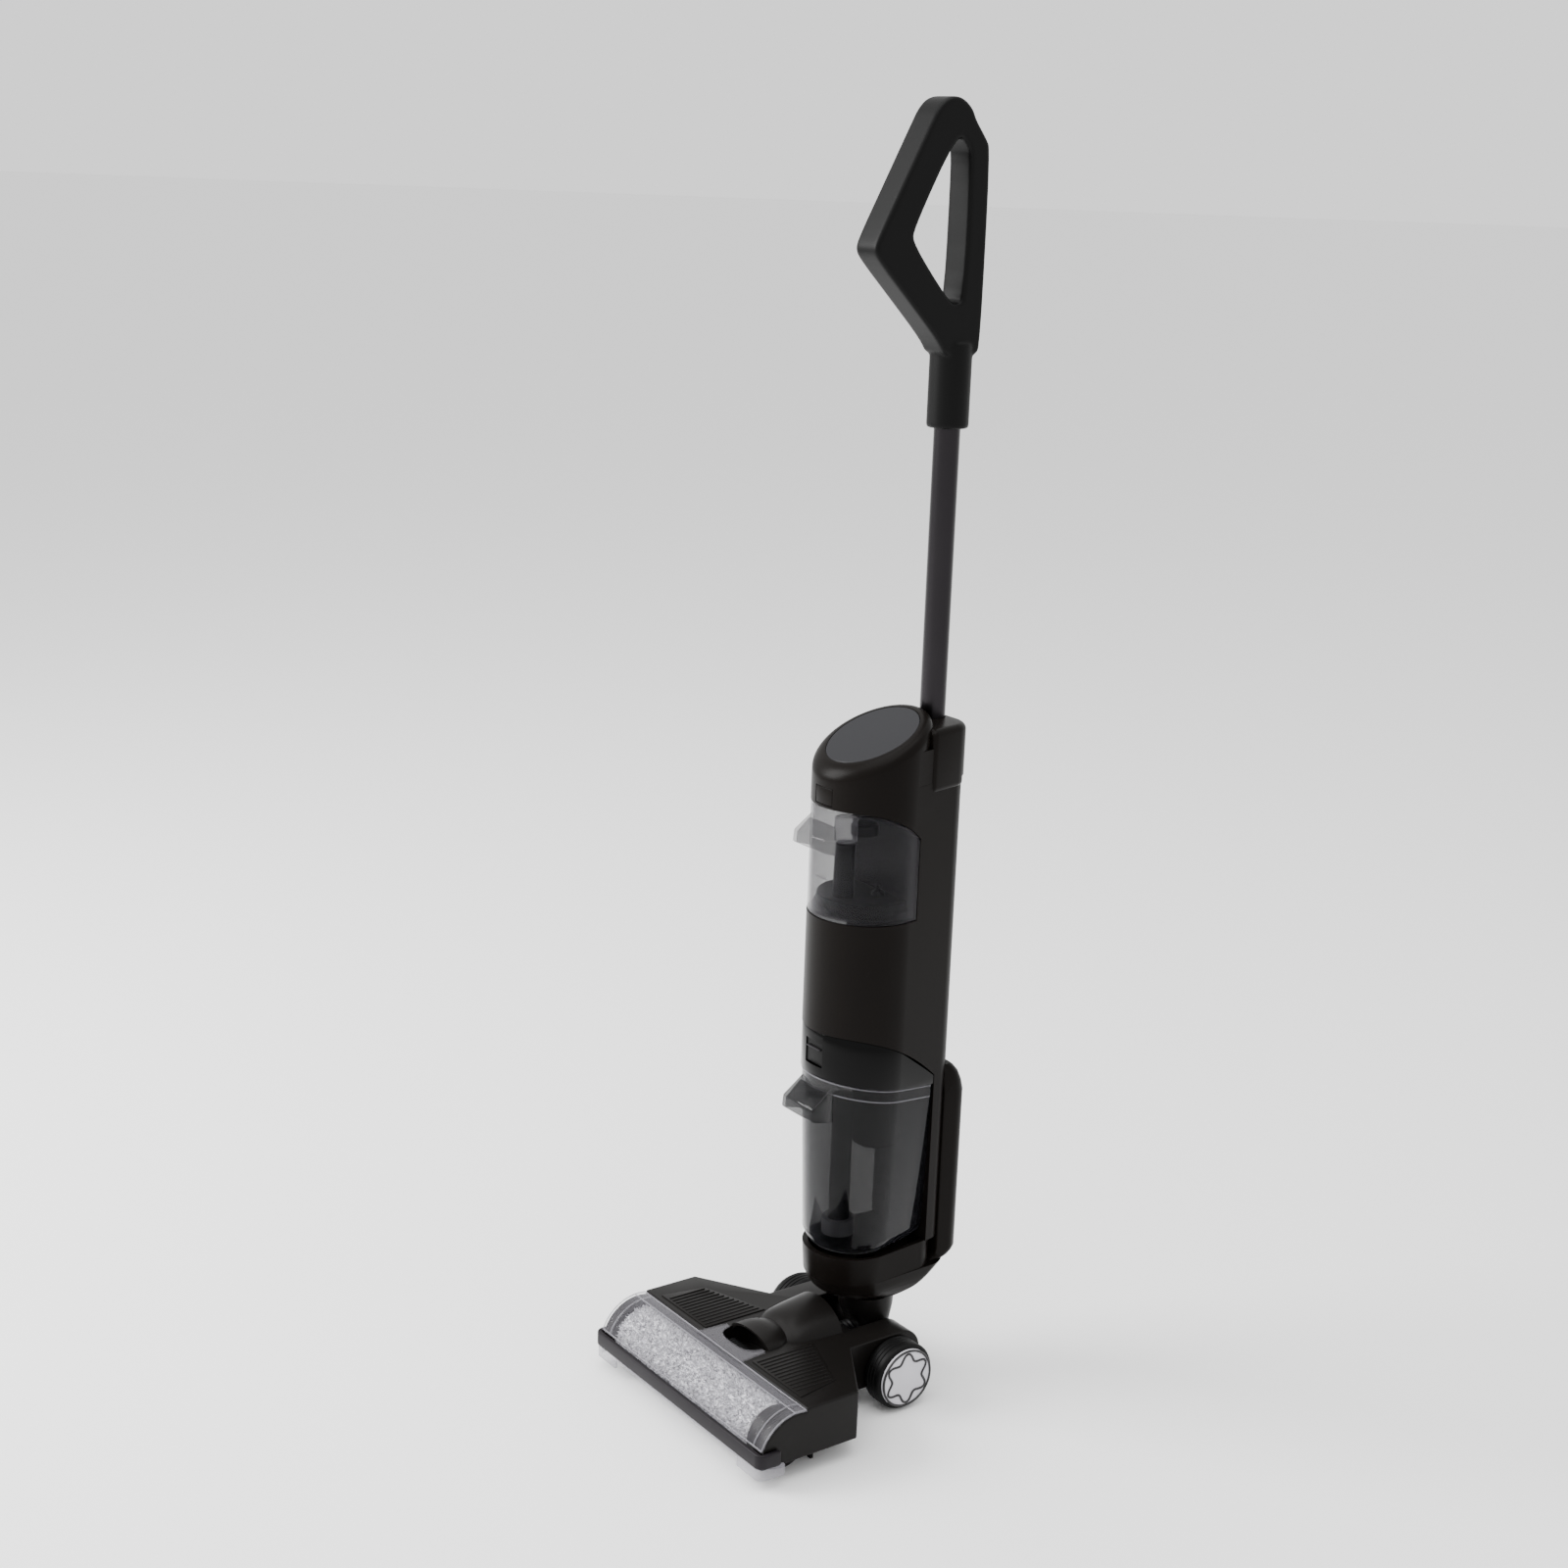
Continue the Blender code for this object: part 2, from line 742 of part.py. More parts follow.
def impeller():
    """The fan wheel under the suction motor, on its shaft."""
    top = DIRTY_TOP_Z + 0.020
    bottom = DIRTY_TOP_Z + 0.009
    profile = [
        (0.0000, top + 0.008),
        (0.0030, top + 0.008),
        (0.0030, top),
        (0.0100, top - 0.001),
        (0.0290, bottom + 0.003),
        (0.0290, bottom),
        (0.0000, bottom),
    ]
    return lathe("impeller", profile, (0, BODY_Y + 0.003, 0), "Z", inner_grey(), steps=ROUND_STEPS)


def control_board():
    """The main circuit board, upright behind the suction motor."""
    return box(
        "control_board",
        (-0.026, POLE_Y - 0.001, DIRTY_TOP_Z + 0.012),
        (0.026, POLE_Y + 0.0006, CLEAN_BOTTOM_Z - 0.012),
        board_green(),
    )


def water_pump():
    """The pump that sends clean water down to the roller, behind the clean tank."""
    return cylinder(
        "water_pump", 0.0120, (0, CLEAN_BACK_Y + 0.0260, CLEAN_BOTTOM_Z + 0.012), 0.045, "Z", inner_grey()
    )


def battery_circles():
    """Plan of the battery pack, which stands out behind the body."""
    corner = (BATTERY_BACK_Y - COVER_SPLIT_Y) / 2 - GAP
    across = REAR_HALF - corner
    back = BATTERY_BACK_Y - corner
    nose = 0.002
    side = REAR_HALF - 0.0036
    return [
        (across, back, corner),
        (-across, back, corner),
        (side, COVER_SPLIT_Y + nose, nose),
        (-side, COVER_SPLIT_Y + nose, nose),
    ]


def battery_pack():
    """The removable battery pack's case, open at the front for its contacts."""
    circles = battery_circles()
    height = BATTERY_TOP_Z - BATTERY_BOTTOM_Z
    steps = ((0.0, 0.010), (0.004, 0.004), (0.012, 0.0))
    rings = [ring_at(circles, BATTERY_BOTTOM_Z + up, inset) for up, inset in steps]
    rings += [ring_at(circles, BATTERY_BOTTOM_Z + height - 2.2 * up, inset) for up, inset in reversed(steps)]
    part = loft("battery_pack", rings, body_black())
    room = box(
        "cell_room",
        (-0.0300, COVER_SPLIT_Y - 0.01, BATTERY_BOTTOM_Z + 0.012),
        (0.0300, BATTERY_BACK_Y - WALL - 0.0002, BATTERY_TOP_Z - 0.024),
        cutter=True,
    )
    cut(part, room)
    return part


def battery_cells():
    """Six cylindrical cells in two rows of three, welded to one another by strips."""
    shape = bmesh.new()
    pitch = 2 * CELL_RADIUS + 0.0008
    base, rise = BATTERY_BOTTOM_Z + 0.0125, CELL_HEIGHT + 0.0015
    cell_y = COVER_SPLIT_Y + 0.0118
    for row in range(2):
        for column in (-1, 0, 1):
            place = Matrix.Translation((column * pitch, cell_y, base + CELL_HEIGHT / 2 + row * rise))
            bmesh.ops.create_cone(
                shape,
                cap_ends=True,
                segments=14,
                radius1=CELL_RADIUS,
                radius2=CELL_RADIUS,
                depth=CELL_HEIGHT,
                matrix=place,
            )
    cells = show("cells", mesh_of("cells", shape), cutter=True)
    strip = box(
        "battery_cells",
        (-pitch - 0.004, cell_y - 0.003, base + 0.004),
        (pitch + 0.004, cell_y + 0.003, base + rise + CELL_HEIGHT - 0.004),
        finish("cell_blue", (0.02, 0.08, 0.20), 0.4),
    )
    join(strip, cells)
    return strip


# Tanks


def tank_hood(name, wall_y, top_z, drop, reach):
    """The pull handle on a tank's front: a sloping hood, open underneath."""
    tip_y = wall_y - reach
    root_y = wall_y + 0.0070
    outer = [
        (root_y, top_z - drop - 0.006),
        (tip_y, top_z - drop),
        (tip_y + 0.0010, top_z - drop + 0.0112),
        (root_y, top_z + 0.0010),
    ]
    inner = [
        (wall_y + 0.0015, top_z - drop - 0.030),
        (tip_y + 0.0022, top_z - drop - 0.004),
        (tip_y + 0.0030, top_z - drop + 0.0092),
        (wall_y + 0.0015, top_z - 0.0040),
    ]
    hood = plate(name, [list(reversed(outer))], -TANK_HANDLE_HALF, TANK_HANDLE_HALF, "YZ", cutter=True)
    gap_half = TANK_HANDLE_HALF - 0.0024
    under = plate(name + "_gap", [list(reversed(inner))], -gap_half, gap_half, "YZ", cutter=True)
    return hood, under


def clean_tank():
    """The clear clean-water tank with its pull handle."""
    back = CLEAN_BACK_Y - GAP
    rings = [tank_ring(CLEAN_BOTTOM_Z, back, TANK_SHRINK), tank_ring(clean_top, back, TANK_SHRINK)]
    part = loft("clean_tank", rings, clear_smoke())
    wall_y = BODY_FRONT_Y + TANK_SHRINK
    hood, under = tank_hood("clean_hood", wall_y, CLEAN_HANDLE_TOP_Z, 0.0245, CLEAN_HANDLE_REACH)
    join(part, hood)
    water = loft(
        "clean_water",
        [
            tank_ring(CLEAN_BOTTOM_Z + TANK_WALL, back - TANK_WALL, TANK_WALL),
            tank_ring(lambda y: clean_top(y) - TANK_WALL, back - TANK_WALL, TANK_WALL),
        ],
        cutter=True,
    )
    fill = cylinder(
        "fill_hole", FILL_RADIUS + GAP, (0, BODY_Y - 0.004, CLEAN_TOP_Z - 0.010), 0.02, "Z", cutter=True
    )
    cut(part, under, water, fill)
    return part


def clean_tank_cap():
    """The plug in the clean tank's filling hole, under its flat top."""
    top = clean_top(BODY_Y + 0.012) - GAP
    profile = [
        (0.0, top - 0.0005),
        (FILL_RADIUS, top - 0.0005),
        (FILL_RADIUS, top - 0.0100),
        (0.0, top - 0.0100),
    ]
    return lathe("clean_tank_cap", profile, (0, BODY_Y - 0.004, 0), "Z", inner_grey(), steps=ROUND_STEPS)


def clean_tank_pipe():
    """The standing outlet pipe inside the clean tank."""
    low = CLEAN_BOTTOM_Z + TANK_WALL + 0.0142
    high = CLEAN_TOP_Z - 0.034
    profile = [
        (PIPE_RADIUS * 0.92, high),
        (PIPE_RADIUS, low),
        (PIPE_RADIUS - 0.002, low),
        (PIPE_RADIUS * 0.92 - 0.002, high),
    ]
    return lathe("clean_tank_pipe", profile, (0, PIPE_Y, 0), "Z", inner_grey(), steps=ROUND_STEPS)


def clean_tank_base():
    """The dark base plate inside the clean tank, with its outlet valve."""
    floor = CLEAN_BOTTOM_Z + TANK_WALL + GAP
    back = CLEAN_BACK_Y - 0.006
    rings = [tank_ring(floor, back, 0.006), tank_ring(floor + 0.0135, back, 0.007)]
    part = loft("clean_tank_base", rings, inner_grey())
    valve = cylinder(
        "outlet_valve", 0.0060, (0.012, BODY_Y + 0.004, floor + 0.008), 0.014, "Z", cutter=True
    )
    hollow = cylinder(
        "outlet_bore", 0.0030, (0.012, BODY_Y + 0.004, floor + 0.010), 0.014, "Z", cutter=True
    )
    join(part, valve)
    cut(part, hollow)
    return part


def dirty_inset(z):
    """How far the dirty tank's side lies inside the body's, as it tapers to its base."""
    share = (DIRTY_SEAM_Z - z) / (DIRTY_SEAM_Z - DIRTY_BOTTOM_Z)
    return 0.0015 + DIRTY_TAPER * min(max(share, 0.0), 1.0)


def dirty_rings(wall, bottom, top_drop):
    """Rings of the dirty tank, from its rounded base to its sloping rim."""
    back = DIRTY_BACK_Y - GAP - wall
    rounding = ((0.0000, 0.0150), (0.0022, 0.0080), (0.0065, 0.0034), (0.0150, 0.0))
    rings = []
    for up, shrink in rounding:
        level = bottom + up
        rings.append(tank_ring(level, back - shrink * 0.2, dirty_inset(level) + shrink + wall))
    rings.append(tank_ring(lambda y: dirty_seam(y) - top_drop, back, dirty_inset(DIRTY_SEAM_Z) + wall))
    return rings


def dirty_tank():
    """The smoky dirty-water cup, open at the top, with its pull handle."""
    part = loft("dirty_tank", dirty_rings(0.0, DIRTY_BOTTOM_Z, 0.0), dark_smoke())
    wall_y = BODY_FRONT_Y + dirty_inset(DIRTY_SEAM_Z - 0.02)
    hood, under = tank_hood("dirty_hood", wall_y, DIRTY_HANDLE_TOP_Z, 0.0270, DIRTY_HANDLE_REACH)
    join(part, hood)
    water = dirty_rings(TANK_WALL, DIRTY_BOTTOM_Z + TANK_WALL, -0.02)
    cut(part, under, loft("dirty_water", water, cutter=True))
    return part


def dirty_tank_lid():
    """The dark lid of the dirty tank, hollow underneath."""
    back = DIRTY_BACK_Y - GAP
    rings = [
        tank_ring(lambda y: dirty_seam(y) + GAP, back, TANK_SHRINK),
        tank_ring(lambda y: dirty_top(y) - GAP, back, TANK_SHRINK),
    ]
    part = loft("dirty_tank_lid", rings, finish("lid_black", (0.010, 0.011, 0.010), 0.20))
    hollow = loft(
        "lid_hollow",
        [
            tank_ring(lambda y: dirty_seam(y) - 0.01, back - 0.003, 0.003),
            tank_ring(lambda y: min(dirty_seam(y) + 0.004, dirty_top(y) - 0.004), back - 0.003, 0.003),
        ],
        cutter=True,
    )
    window = box(
        "lid_latch_hole",
        (-LATCH_HALF - GAP, BODY_FRONT_Y - 0.01, LID_LATCH_LOW_Z - GAP),
        (LATCH_HALF + GAP, BODY_FRONT_Y + 0.0100, LID_LATCH_HIGH_Z + GAP),
        cutter=True,
    )
    cut(part, hollow, window)
    return part


def dirty_latch():
    """The catch in the lid's front that holds the dirty tank."""
    return box(
        "dirty_latch",
        (-LATCH_HALF, BODY_FRONT_Y + 0.0024, LID_LATCH_LOW_Z),
        (LATCH_HALF, BODY_FRONT_Y + 0.0075, LID_LATCH_HIGH_Z),
        soft_black(),
    )


def filter_basket():
    """The filter's basket, which hangs from the lid into the tank."""
    top = dirty_seam(FILTER_Y + FILTER_RADIUS) - 0.001
    low = FILTER_LOW_Z
    profile = [
        (0.0, low + 0.0018),
        (FILTER_RADIUS - 0.0068, low + 0.0018),
        (FILTER_RADIUS - 0.0018, low + 0.0068),
        (FILTER_RADIUS - 0.0018, top),
        (FILTER_RADIUS, top),
        (FILTER_RADIUS, low + 0.006),
        (FILTER_RADIUS - 0.006, low),
        (0.0, low),
    ]
    return lathe("filter_basket", profile, (0, FILTER_Y, 0), "Z", inner_grey(), steps=ROUND_STEPS)


def filter_core():
    """The pleated filter inside the basket."""
    top = dirty_seam(FILTER_Y + FILTER_RADIUS) - 0.003
    low = FILTER_LOW_Z + 0.008
    return cylinder(
        "filter_core",
        FILTER_RADIUS - 0.0030,
        (0, FILTER_Y, low),
        top - low,
        "Z",
        pale_grey(),
        steps=20,
    )


def standpipe():
    """The pipe that brings dirty water up into the tank."""
    low = DIRTY_BOTTOM_Z + TANK_WALL + GAP
    high = DIRTY_SEAM_Z - 0.026
    profile = [
        (STANDPIPE_RADIUS, high),
        (STANDPIPE_RADIUS, low),
        (STANDPIPE_RADIUS - 0.0016, low),
        (STANDPIPE_RADIUS - 0.0016, high),
    ]
    return lathe("standpipe", profile, (0, STANDPIPE_Y, 0), "Z", dark_smoke(), steps=ROUND_STEPS)


def float_ring():
    """The float round the standpipe, which rises to stop the suction."""
    low, high = 0.1420, 0.1560
    bore = STANDPIPE_RADIUS + RUN
    profile = [(bore + 0.0050, high), (bore + 0.0050, low), (bore, low), (bore, high)]
    return lathe("float_ring", profile, (0, STANDPIPE_Y, 0), "Z", pale_grey(), steps=ROUND_STEPS)


# Pole and handle


def pole():
    """The straight metal pole."""
    inner = POLE_RADIUS - POLE_WALL
    profile = [
        (POLE_RADIUS, POLE_TOP_Z),
        (POLE_RADIUS, POLE_BOTTOM_Z),
        (inner, POLE_BOTTOM_Z),
        (inner, POLE_TOP_Z),
    ]
    return lathe("pole", profile, (0, POLE_Y, 0), "Z", pole_metal(), steps=ROUND_STEPS)


def handle_outline():
    """Outer and inner edges of the closed loop handle, in Y and height."""
    top = TOTAL_HEIGHT
    outer = [
        (POLE_Y - SLEEVE_RADIUS, top - 0.2050),
        (POLE_Y - 0.0163, top - 0.2075),
        (POLE_Y + 0.0163, top - 0.2075),
        (POLE_Y + SLEEVE_RADIUS, top - 0.2050),
        (POLE_Y + 0.0205, top - 0.1960),
        (POLE_Y + 0.0202, top - 0.0405),
        (POLE_Y + 0.0150, top - 0.0320),
        (POLE_Y + 0.0030, top - 0.0175),
        (POLE_Y + 0.0002, top - 0.0105),
        (POLE_Y - 0.0085, top - 0.0030),
        (POLE_Y - 0.0180, top),
        (POLE_Y - 0.0290, top - 0.0028),
        (POLE_Y - 0.0372, top - 0.0105),
        (POLE_Y - 0.0430, top - 0.0210),
        (POLE_Y - 0.0925, top - 0.1135),
        (POLE_Y - 0.0945, top - 0.1215),
        (POLE_Y - 0.0915, top - 0.1285),
        (POLE_Y - 0.0220, top - 0.1960),
    ]
    inner = [
        (POLE_Y - 0.0150, top - 0.0290),
        (POLE_Y - 0.0550, top - 0.1060),
        (POLE_Y - 0.0550, top - 0.1150),
        (POLE_Y - 0.0150, top - 0.1615),
        (POLE_Y - 0.0070, top - 0.1640),
        (POLE_Y - 0.0010, top - 0.1590),
        (POLE_Y - 0.0005, top - 0.0480),
        (POLE_Y - 0.0040, top - 0.0390),
    ]
    return outer, inner


def button_place(name):
    """The centre of a handle button on the rear slope, and the direction it faces."""
    along, drop, _ = BUTTONS[name]
    normal = Vector((0, math.sin(BUTTON_SLOPE), math.cos(BUTTON_SLOPE)))
    return Vector((0, POLE_Y + along, TOTAL_HEIGHT - drop)), normal


def sloping_cylinder(name, place, normal, radius, below, above, material=None, cutter=False):
    """A cylinder across the handle's rear slope."""
    made = cylinder(name, radius, (0, 0, 0), below + above, "Z", material, cutter, steps=20)
    tilt = Vector((0, 0, 1)).rotation_difference(normal).to_matrix().to_4x4()
    made.matrix_world = Matrix.Translation(place - normal * below) @ tilt
    return made


def handle_button(name):
    """A round push button across the handle's seam."""
    place, normal = button_place(name)
    radius = BUTTONS[name][2]
    return sloping_cylinder(name, place, normal, radius, BUTTON_DEPTH, BUTTON_PROUD, inner_grey())


def handle_half(side):
    """One of the handle's two half shells, hollow and split at the middle plane."""
    name = "handle_left" if side < 0 else "handle_right"
    outer, inner = handle_outline()
    part = plate(name, [outer, inner], -HANDLE_HALF, HANDLE_HALF, "YZ", soft_black())
    rounding = part.modifiers.new("rounding", "BEVEL")
    rounding.width = 0.0055
    rounding.segments = 2
    rounding.limit_method = "ANGLE"
    rounding.angle_limit = math.radians(75)
    top = TOTAL_HEIGHT - 0.2000
    sleeve = cylinder(
        name + "_sleeve",
        SLEEVE_RADIUS,
        (0, POLE_Y, SLEEVE_BOTTOM_Z),
        top - SLEEVE_BOTTOM_Z,
        "Z",
        cutter=True,
        steps=FINE_STEPS,
    )
    join(part, sleeve)
    depth = HANDLE_HALF - HANDLE_WALL
    hollow = plate(
        name + "_hollow",
        [offset(outer, HANDLE_WALL), offset(inner, HANDLE_WALL)],
        -depth,
        depth,
        "YZ",
        cutter=True,
    )
    bore = cylinder(
        name + "_bore",
        POLE_RADIUS + GAP,
        (0, POLE_Y, SLEEVE_BOTTOM_Z - 0.01),
        POLE_IN_HANDLE + 0.01 + GAP,
        "Z",
        cutter=True,
    )
    away = sorted((side * GAP / 2, -side * 0.1))
    other_half = box(name + "_away", (away[0], -0.2, 0.5), (away[1], 0.3, 1.6), cutter=True)
    seat_half = GRIP_HALF + GAP
    grip_seat = plate(name + "_grip_seat", [grip_outline(GAP)], -seat_half, seat_half, "YZ", cutter=True)
    cut(part, hollow, bore, other_half, grip_seat)
    for button in BUTTONS:
        place, normal = button_place(button)
        radius = BUTTONS[button][2] + GAP
        cut(part, sloping_cylinder(f"{name}_{button}", place, normal, radius, 0.009, 0.01, cutter=True))
    return part


def grip_outline(grow=0.0):
    """Side view of the soft strip let into the back of the handle."""
    back = POLE_Y + 0.0202
    low, high = TOTAL_HEIGHT - 0.1700, TOTAL_HEIGHT - 0.0450
    return [
        (back - GRIP_THICKNESS - grow, low - grow),
        (back + 0.0001 + 20 * grow, low - grow),
        (back + 0.0001 + 20 * grow, high + grow),
        (back - GRIP_THICKNESS - grow, high + grow),
    ]


def rear_grip():
    """The soft strip let into the back of the handle."""
    return plate("rear_grip", [grip_outline()], -GRIP_HALF, GRIP_HALF, "YZ", soft_black())


# Neck


def neck_yoke():
    """The neck: a cross barrel that tilts, and a hollow post that carries the body."""
    part = cylinder(
        "neck_yoke",
        BARREL_RADIUS,
        (-ARM_INNER + 0.0015, PIVOT_Y, PIVOT_Z),
        2 * ARM_INNER - 0.0030,
        "X",
        head_black(),
    )
    foot = [(0.011, PIVOT_Y, 0.0140), (-0.011, PIVOT_Y, 0.0140)]
    waist = [(0.006, SWIVEL_Y, 0.0185), (-0.006, SWIVEL_Y, 0.0185)]
    head = [(0, SWIVEL_Y, COLLAR_RADIUS)]
    post = loft(
        "neck_post",
        [
            ring_at(foot, PIVOT_Z),
            ring_at(waist, PIVOT_Z + 0.014),
            ring_at(head, CUP_BOTTOM_Z - 0.010),
            ring_at(head, CUP_BOTTOM_Z - GAP),
        ],
        cutter=True,
    )
    duct = cylinder("neck_duct", 0.0110, (0, SWIVEL_Y, PIVOT_Z - 0.03), 0.1, "Z", cutter=True)
    pins = cylinder("neck_pin_bore", PIN_RADIUS + GAP, (-0.1, PIVOT_Y, PIVOT_Z), 0.2, "X", cutter=True)
    join(part, post)
    cut(part, duct, pins)
    return part


def side_pin(name, inner_x, outer_x, y, z, side):
    """A short steel pin along X on one side of the middle."""
    start = min(side * inner_x, side * outer_x)
    return cylinder(name, PIN_RADIUS, (start, y, z), outer_x - inner_x, "X", bright_steel(), steps=20)


def tilt_pin(side):
    """One of the two pins that the neck tilts on."""
    name = "tilt_pin_left" if side < 0 else "tilt_pin_right"
    return side_pin(name, 0.0160, ARM_INNER + 0.0200, PIVOT_Y, PIVOT_Z, side)


def wheel_axle(side):
    """The stub axle of one rear wheel."""
    name = "wheel_axle_left" if side < 0 else "wheel_axle_right"
    return side_pin(name, ARM_OUTER - 0.018, WHEEL_OUTER_X - 0.003, WHEEL_Y, WHEEL_RADIUS, side)


def suction_hose():
    """The short ribbed hose from the head's duct towards the neck."""
    points = []
    start, pitch, ribs = SLOT_FRONT_Y + GAP, 0.0044, 6
    for k in range(ribs):
        points += [(0.0105, start + pitch * k), (0.0125, start + pitch * (k + 0.5))]
    points.append((0.0105, start + pitch * ribs))
    inside = [(0.0090, start), (0.0090, start + pitch * ribs)]
    profile = list(reversed(points)) + inside
    return lathe("suction_hose", profile, (0, 0, PIVOT_Z - 0.004), "Y", soft_black(), steps=20)


# Floor head


def cover_arc(radius, front_z, back_y, steps=10):
    """Side view of an arc over the roller, from its low front edge to its back edge."""
    first = 180 - math.degrees(math.asin((front_z - COVER_Z) / radius))
    last = math.degrees(math.acos((back_y - COVER_Y) / radius))
    return arc((COVER_Y, COVER_Z), radius, first, last, steps)


def fork_plan(inset=0.0):
    """Plan of the floor head: a wide front that narrows to two arms round the neck."""
    half = HEAD_HALF - inset
    outer, inner = ARM_OUTER - inset, ARM_INNER + inset
    right = [
        (half, -0.17),
        (half, HEAD_REAR_Y - inset),
        (outer, WAIST_Y - inset),
        (outer, 0.11),
        (inner, 0.11),
        (inner, SLOT_FRONT_Y - inset),
    ]
    return right + [(-x, y) for x, y in reversed(right)]


def arch_rings(sections, low):
    """Rings of half ellipses along Y: place, half width and top height."""
    rings = []
    foot = low - 0.002
    for y, half, top in sections:
        ring = [(half, y, foot)]
        for k in range(ARCH_POINTS):
            angle = math.pi * k / (ARCH_POINTS - 1)
            ring.append((half * math.cos(angle), y, low + (top - low) * math.sin(angle)))
        rings.append(ring + [(-half, y, foot)])
    return rings


def head_side(radius):
    """Side view of the head's upper shell."""
    rear = arc((PIVOT_Y - 0.008, PIVOT_Z), ARM_END_RADIUS, 90, -60, 8)
    front = cover_arc(radius, SKIRT_Z, COVER_REAR_Y)
    return front + [(COVER_REAR_Y + GAP, HEAD_TOP_Z)] + rear + [(PIVOT_Y - 0.01, SKIRT_Z)]


def head_cover():
    """The head's upper shell: top, sides, arms, latch hood and the shroud before the neck."""
    side = head_side(CHEEK_RADIUS)
    part = plate("head_cover", [list(reversed(side))], -HEAD_HALF, HEAD_HALF, "YZ", head_black())
    plan = plate("head_plan", [fork_plan()], 0.0, 0.2, cutter=True)
    boolean(part, plan, "INTERSECT")
    shroud = loft(
        "neck_shroud",
        arch_rings(
            (
                (-0.058, 0.016, HEAD_TOP_Z + 0.0010),
                (-0.040, 0.026, HEAD_TOP_Z + 0.0100),
                (-0.014, 0.034, HEAD_TOP_Z + 0.0175),
                (SLOT_FRONT_Y - 0.0105, 0.037, HEAD_TOP_Z + SHROUD_TOP_RISE),
            ),
            HEAD_TOP_Z - 0.008,
        ),
        cutter=True,
    )
    hood = loft(
        "latch_hood",
        arch_rings(
            (
                (RECESS_BACK_Y - 0.012, 0.0290, HEAD_TOP_Z + 0.0085),
                (RECESS_BACK_Y + 0.004, 0.0270, HEAD_TOP_Z + 0.0100),
                (RECESS_BACK_Y + 0.020, 0.0180, HEAD_TOP_Z + 0.0070),
            ),
            HEAD_TOP_Z - 0.0015,
        ),
        cutter=True,
    )
    recess = box(
        "latch_recess",
        (-RECESS_HALF, RECESS_FRONT_Y, HEAD_TOP_Z - RECESS_DEPTH),
        (RECESS_HALF, RECESS_BACK_Y, HEAD_TOP_Z + 0.001),
        cutter=True,
    )
    cut(part, recess)
    join(part, hood, shroud, rib_panel(-1), rib_panel(1))
    chamber = cylinder(
        "chamber_round",
        CHAMBER_RADIUS,
        (-CHAMBER_HALF, ROLLER_Y, ROLLER_RADIUS),
        2 * CHAMBER_HALF,
        "X",
        cutter=True,
        steps=FINE_STEPS,
    )
    front = box(
        "chamber_front",
        (-CHAMBER_HALF, -0.2, -0.01),
        (CHAMBER_HALF, COVER_REAR_Y - GAP, 0.1),
        cutter=True,
    )
    wall_y = ROLLER_Y + CHAMBER_RADIUS + 0.003
    block = RECESS_HALF + 0.004
    room = HEAD_HALF - CHEEK
    slant = (WAIST_Y - HEAD_REAR_Y) / (HEAD_HALF - ARM_OUTER)
    back_y = HEAD_REAR_Y + slant * CHEEK - 0.004
    hollow = plate(
        "head_hollow",
        [
            [
                (room, wall_y),
                (room, back_y),
                (ARM_OUTER - 0.004, WAIST_Y - 0.005),
                (-ARM_OUTER + 0.004, WAIST_Y - 0.005),
                (-room, back_y),
                (-room, wall_y),
                (-block, wall_y),
                (-block, RECESS_BACK_Y + 0.004),
                (block, RECESS_BACK_Y + 0.004),
                (block, wall_y),
            ]
        ],
        -0.01,
        HEAD_TOP_Z - WALL,
        cutter=True,
    )
    shroud_room = loft(
        "shroud_hollow",
        arch_rings(
            (
                (-0.036, 0.014, HEAD_TOP_Z + 0.002),
                (-0.012, 0.029, HEAD_TOP_Z + 0.0130),
                (SLOT_FRONT_Y - 0.013, 0.032, HEAD_TOP_Z + SHROUD_TOP_RISE - 0.003),
            ),
            HEAD_TOP_Z - 0.010,
        ),
        cutter=True,
    )
    duct = cylinder("head_duct", 0.0095, (0, -0.01, PIVOT_Z - 0.004), 0.05, "Y", cutter=True)
    cut(part, chamber, front, hollow, shroud_room, duct)
    cut(part, belt_room(), bearing_seat(), shaft_hole())
    for side in (-1, 1):
        start = min(side * (ARM_INNER - 0.01), side * (ARM_OUTER + 0.01))
        length = ARM_OUTER - ARM_INNER + 0.02
        place = (start, PIVOT_Y, PIVOT_Z)
        pin_hole = cylinder(f"tilt_hole_{side}", PIN_RADIUS + GAP, place, length, "X", cutter=True)
        place = (start, WHEEL_Y, WHEEL_RADIUS)
        axle_hole = cylinder(f"axle_hole_{side}", PIN_RADIUS + GAP, place, length, "X", cutter=True)
        cut(part, pin_hole, axle_hole)
    return part


def belt_circles(grow):
    """The belt's run round its two pulleys, in Y and Z, grown by a distance."""
    return [
        (ROLLER_Y, ROLLER_RADIUS, ROLLER_PULLEY_RADIUS + grow),
        (MOTOR_Y, MOTOR_Z, MOTOR_PULLEY_RADIUS + grow),
    ]


def belt_room():
    """The room for the belt inside the left cheek."""
    outline = hull_ring(belt_circles(BELT_THICKNESS + 0.0020), count=28)
    return plate("belt_room", [outline], -PULLEY_OUTER_X - 0.001, -CHAMBER_HALF + 0.001, "YZ", cutter=True)


def bearing_seat():
    """The seat for the roller's bearing inside the right cheek."""
    place = (CHAMBER_HALF - 0.001, ROLLER_Y, ROLLER_RADIUS)
    return cylinder("bearing_seat", 0.0090 + GAP, place, 0.0070, "X", cutter=True)


def shaft_hole():
    """The way for the motor's shaft from the motor room to the belt room."""
    place = (-PULLEY_OUTER_X - 0.0005, MOTOR_Y, MOTOR_Z)
    return cylinder("shaft_hole", 0.0040, place, 0.02, "X", cutter=True)


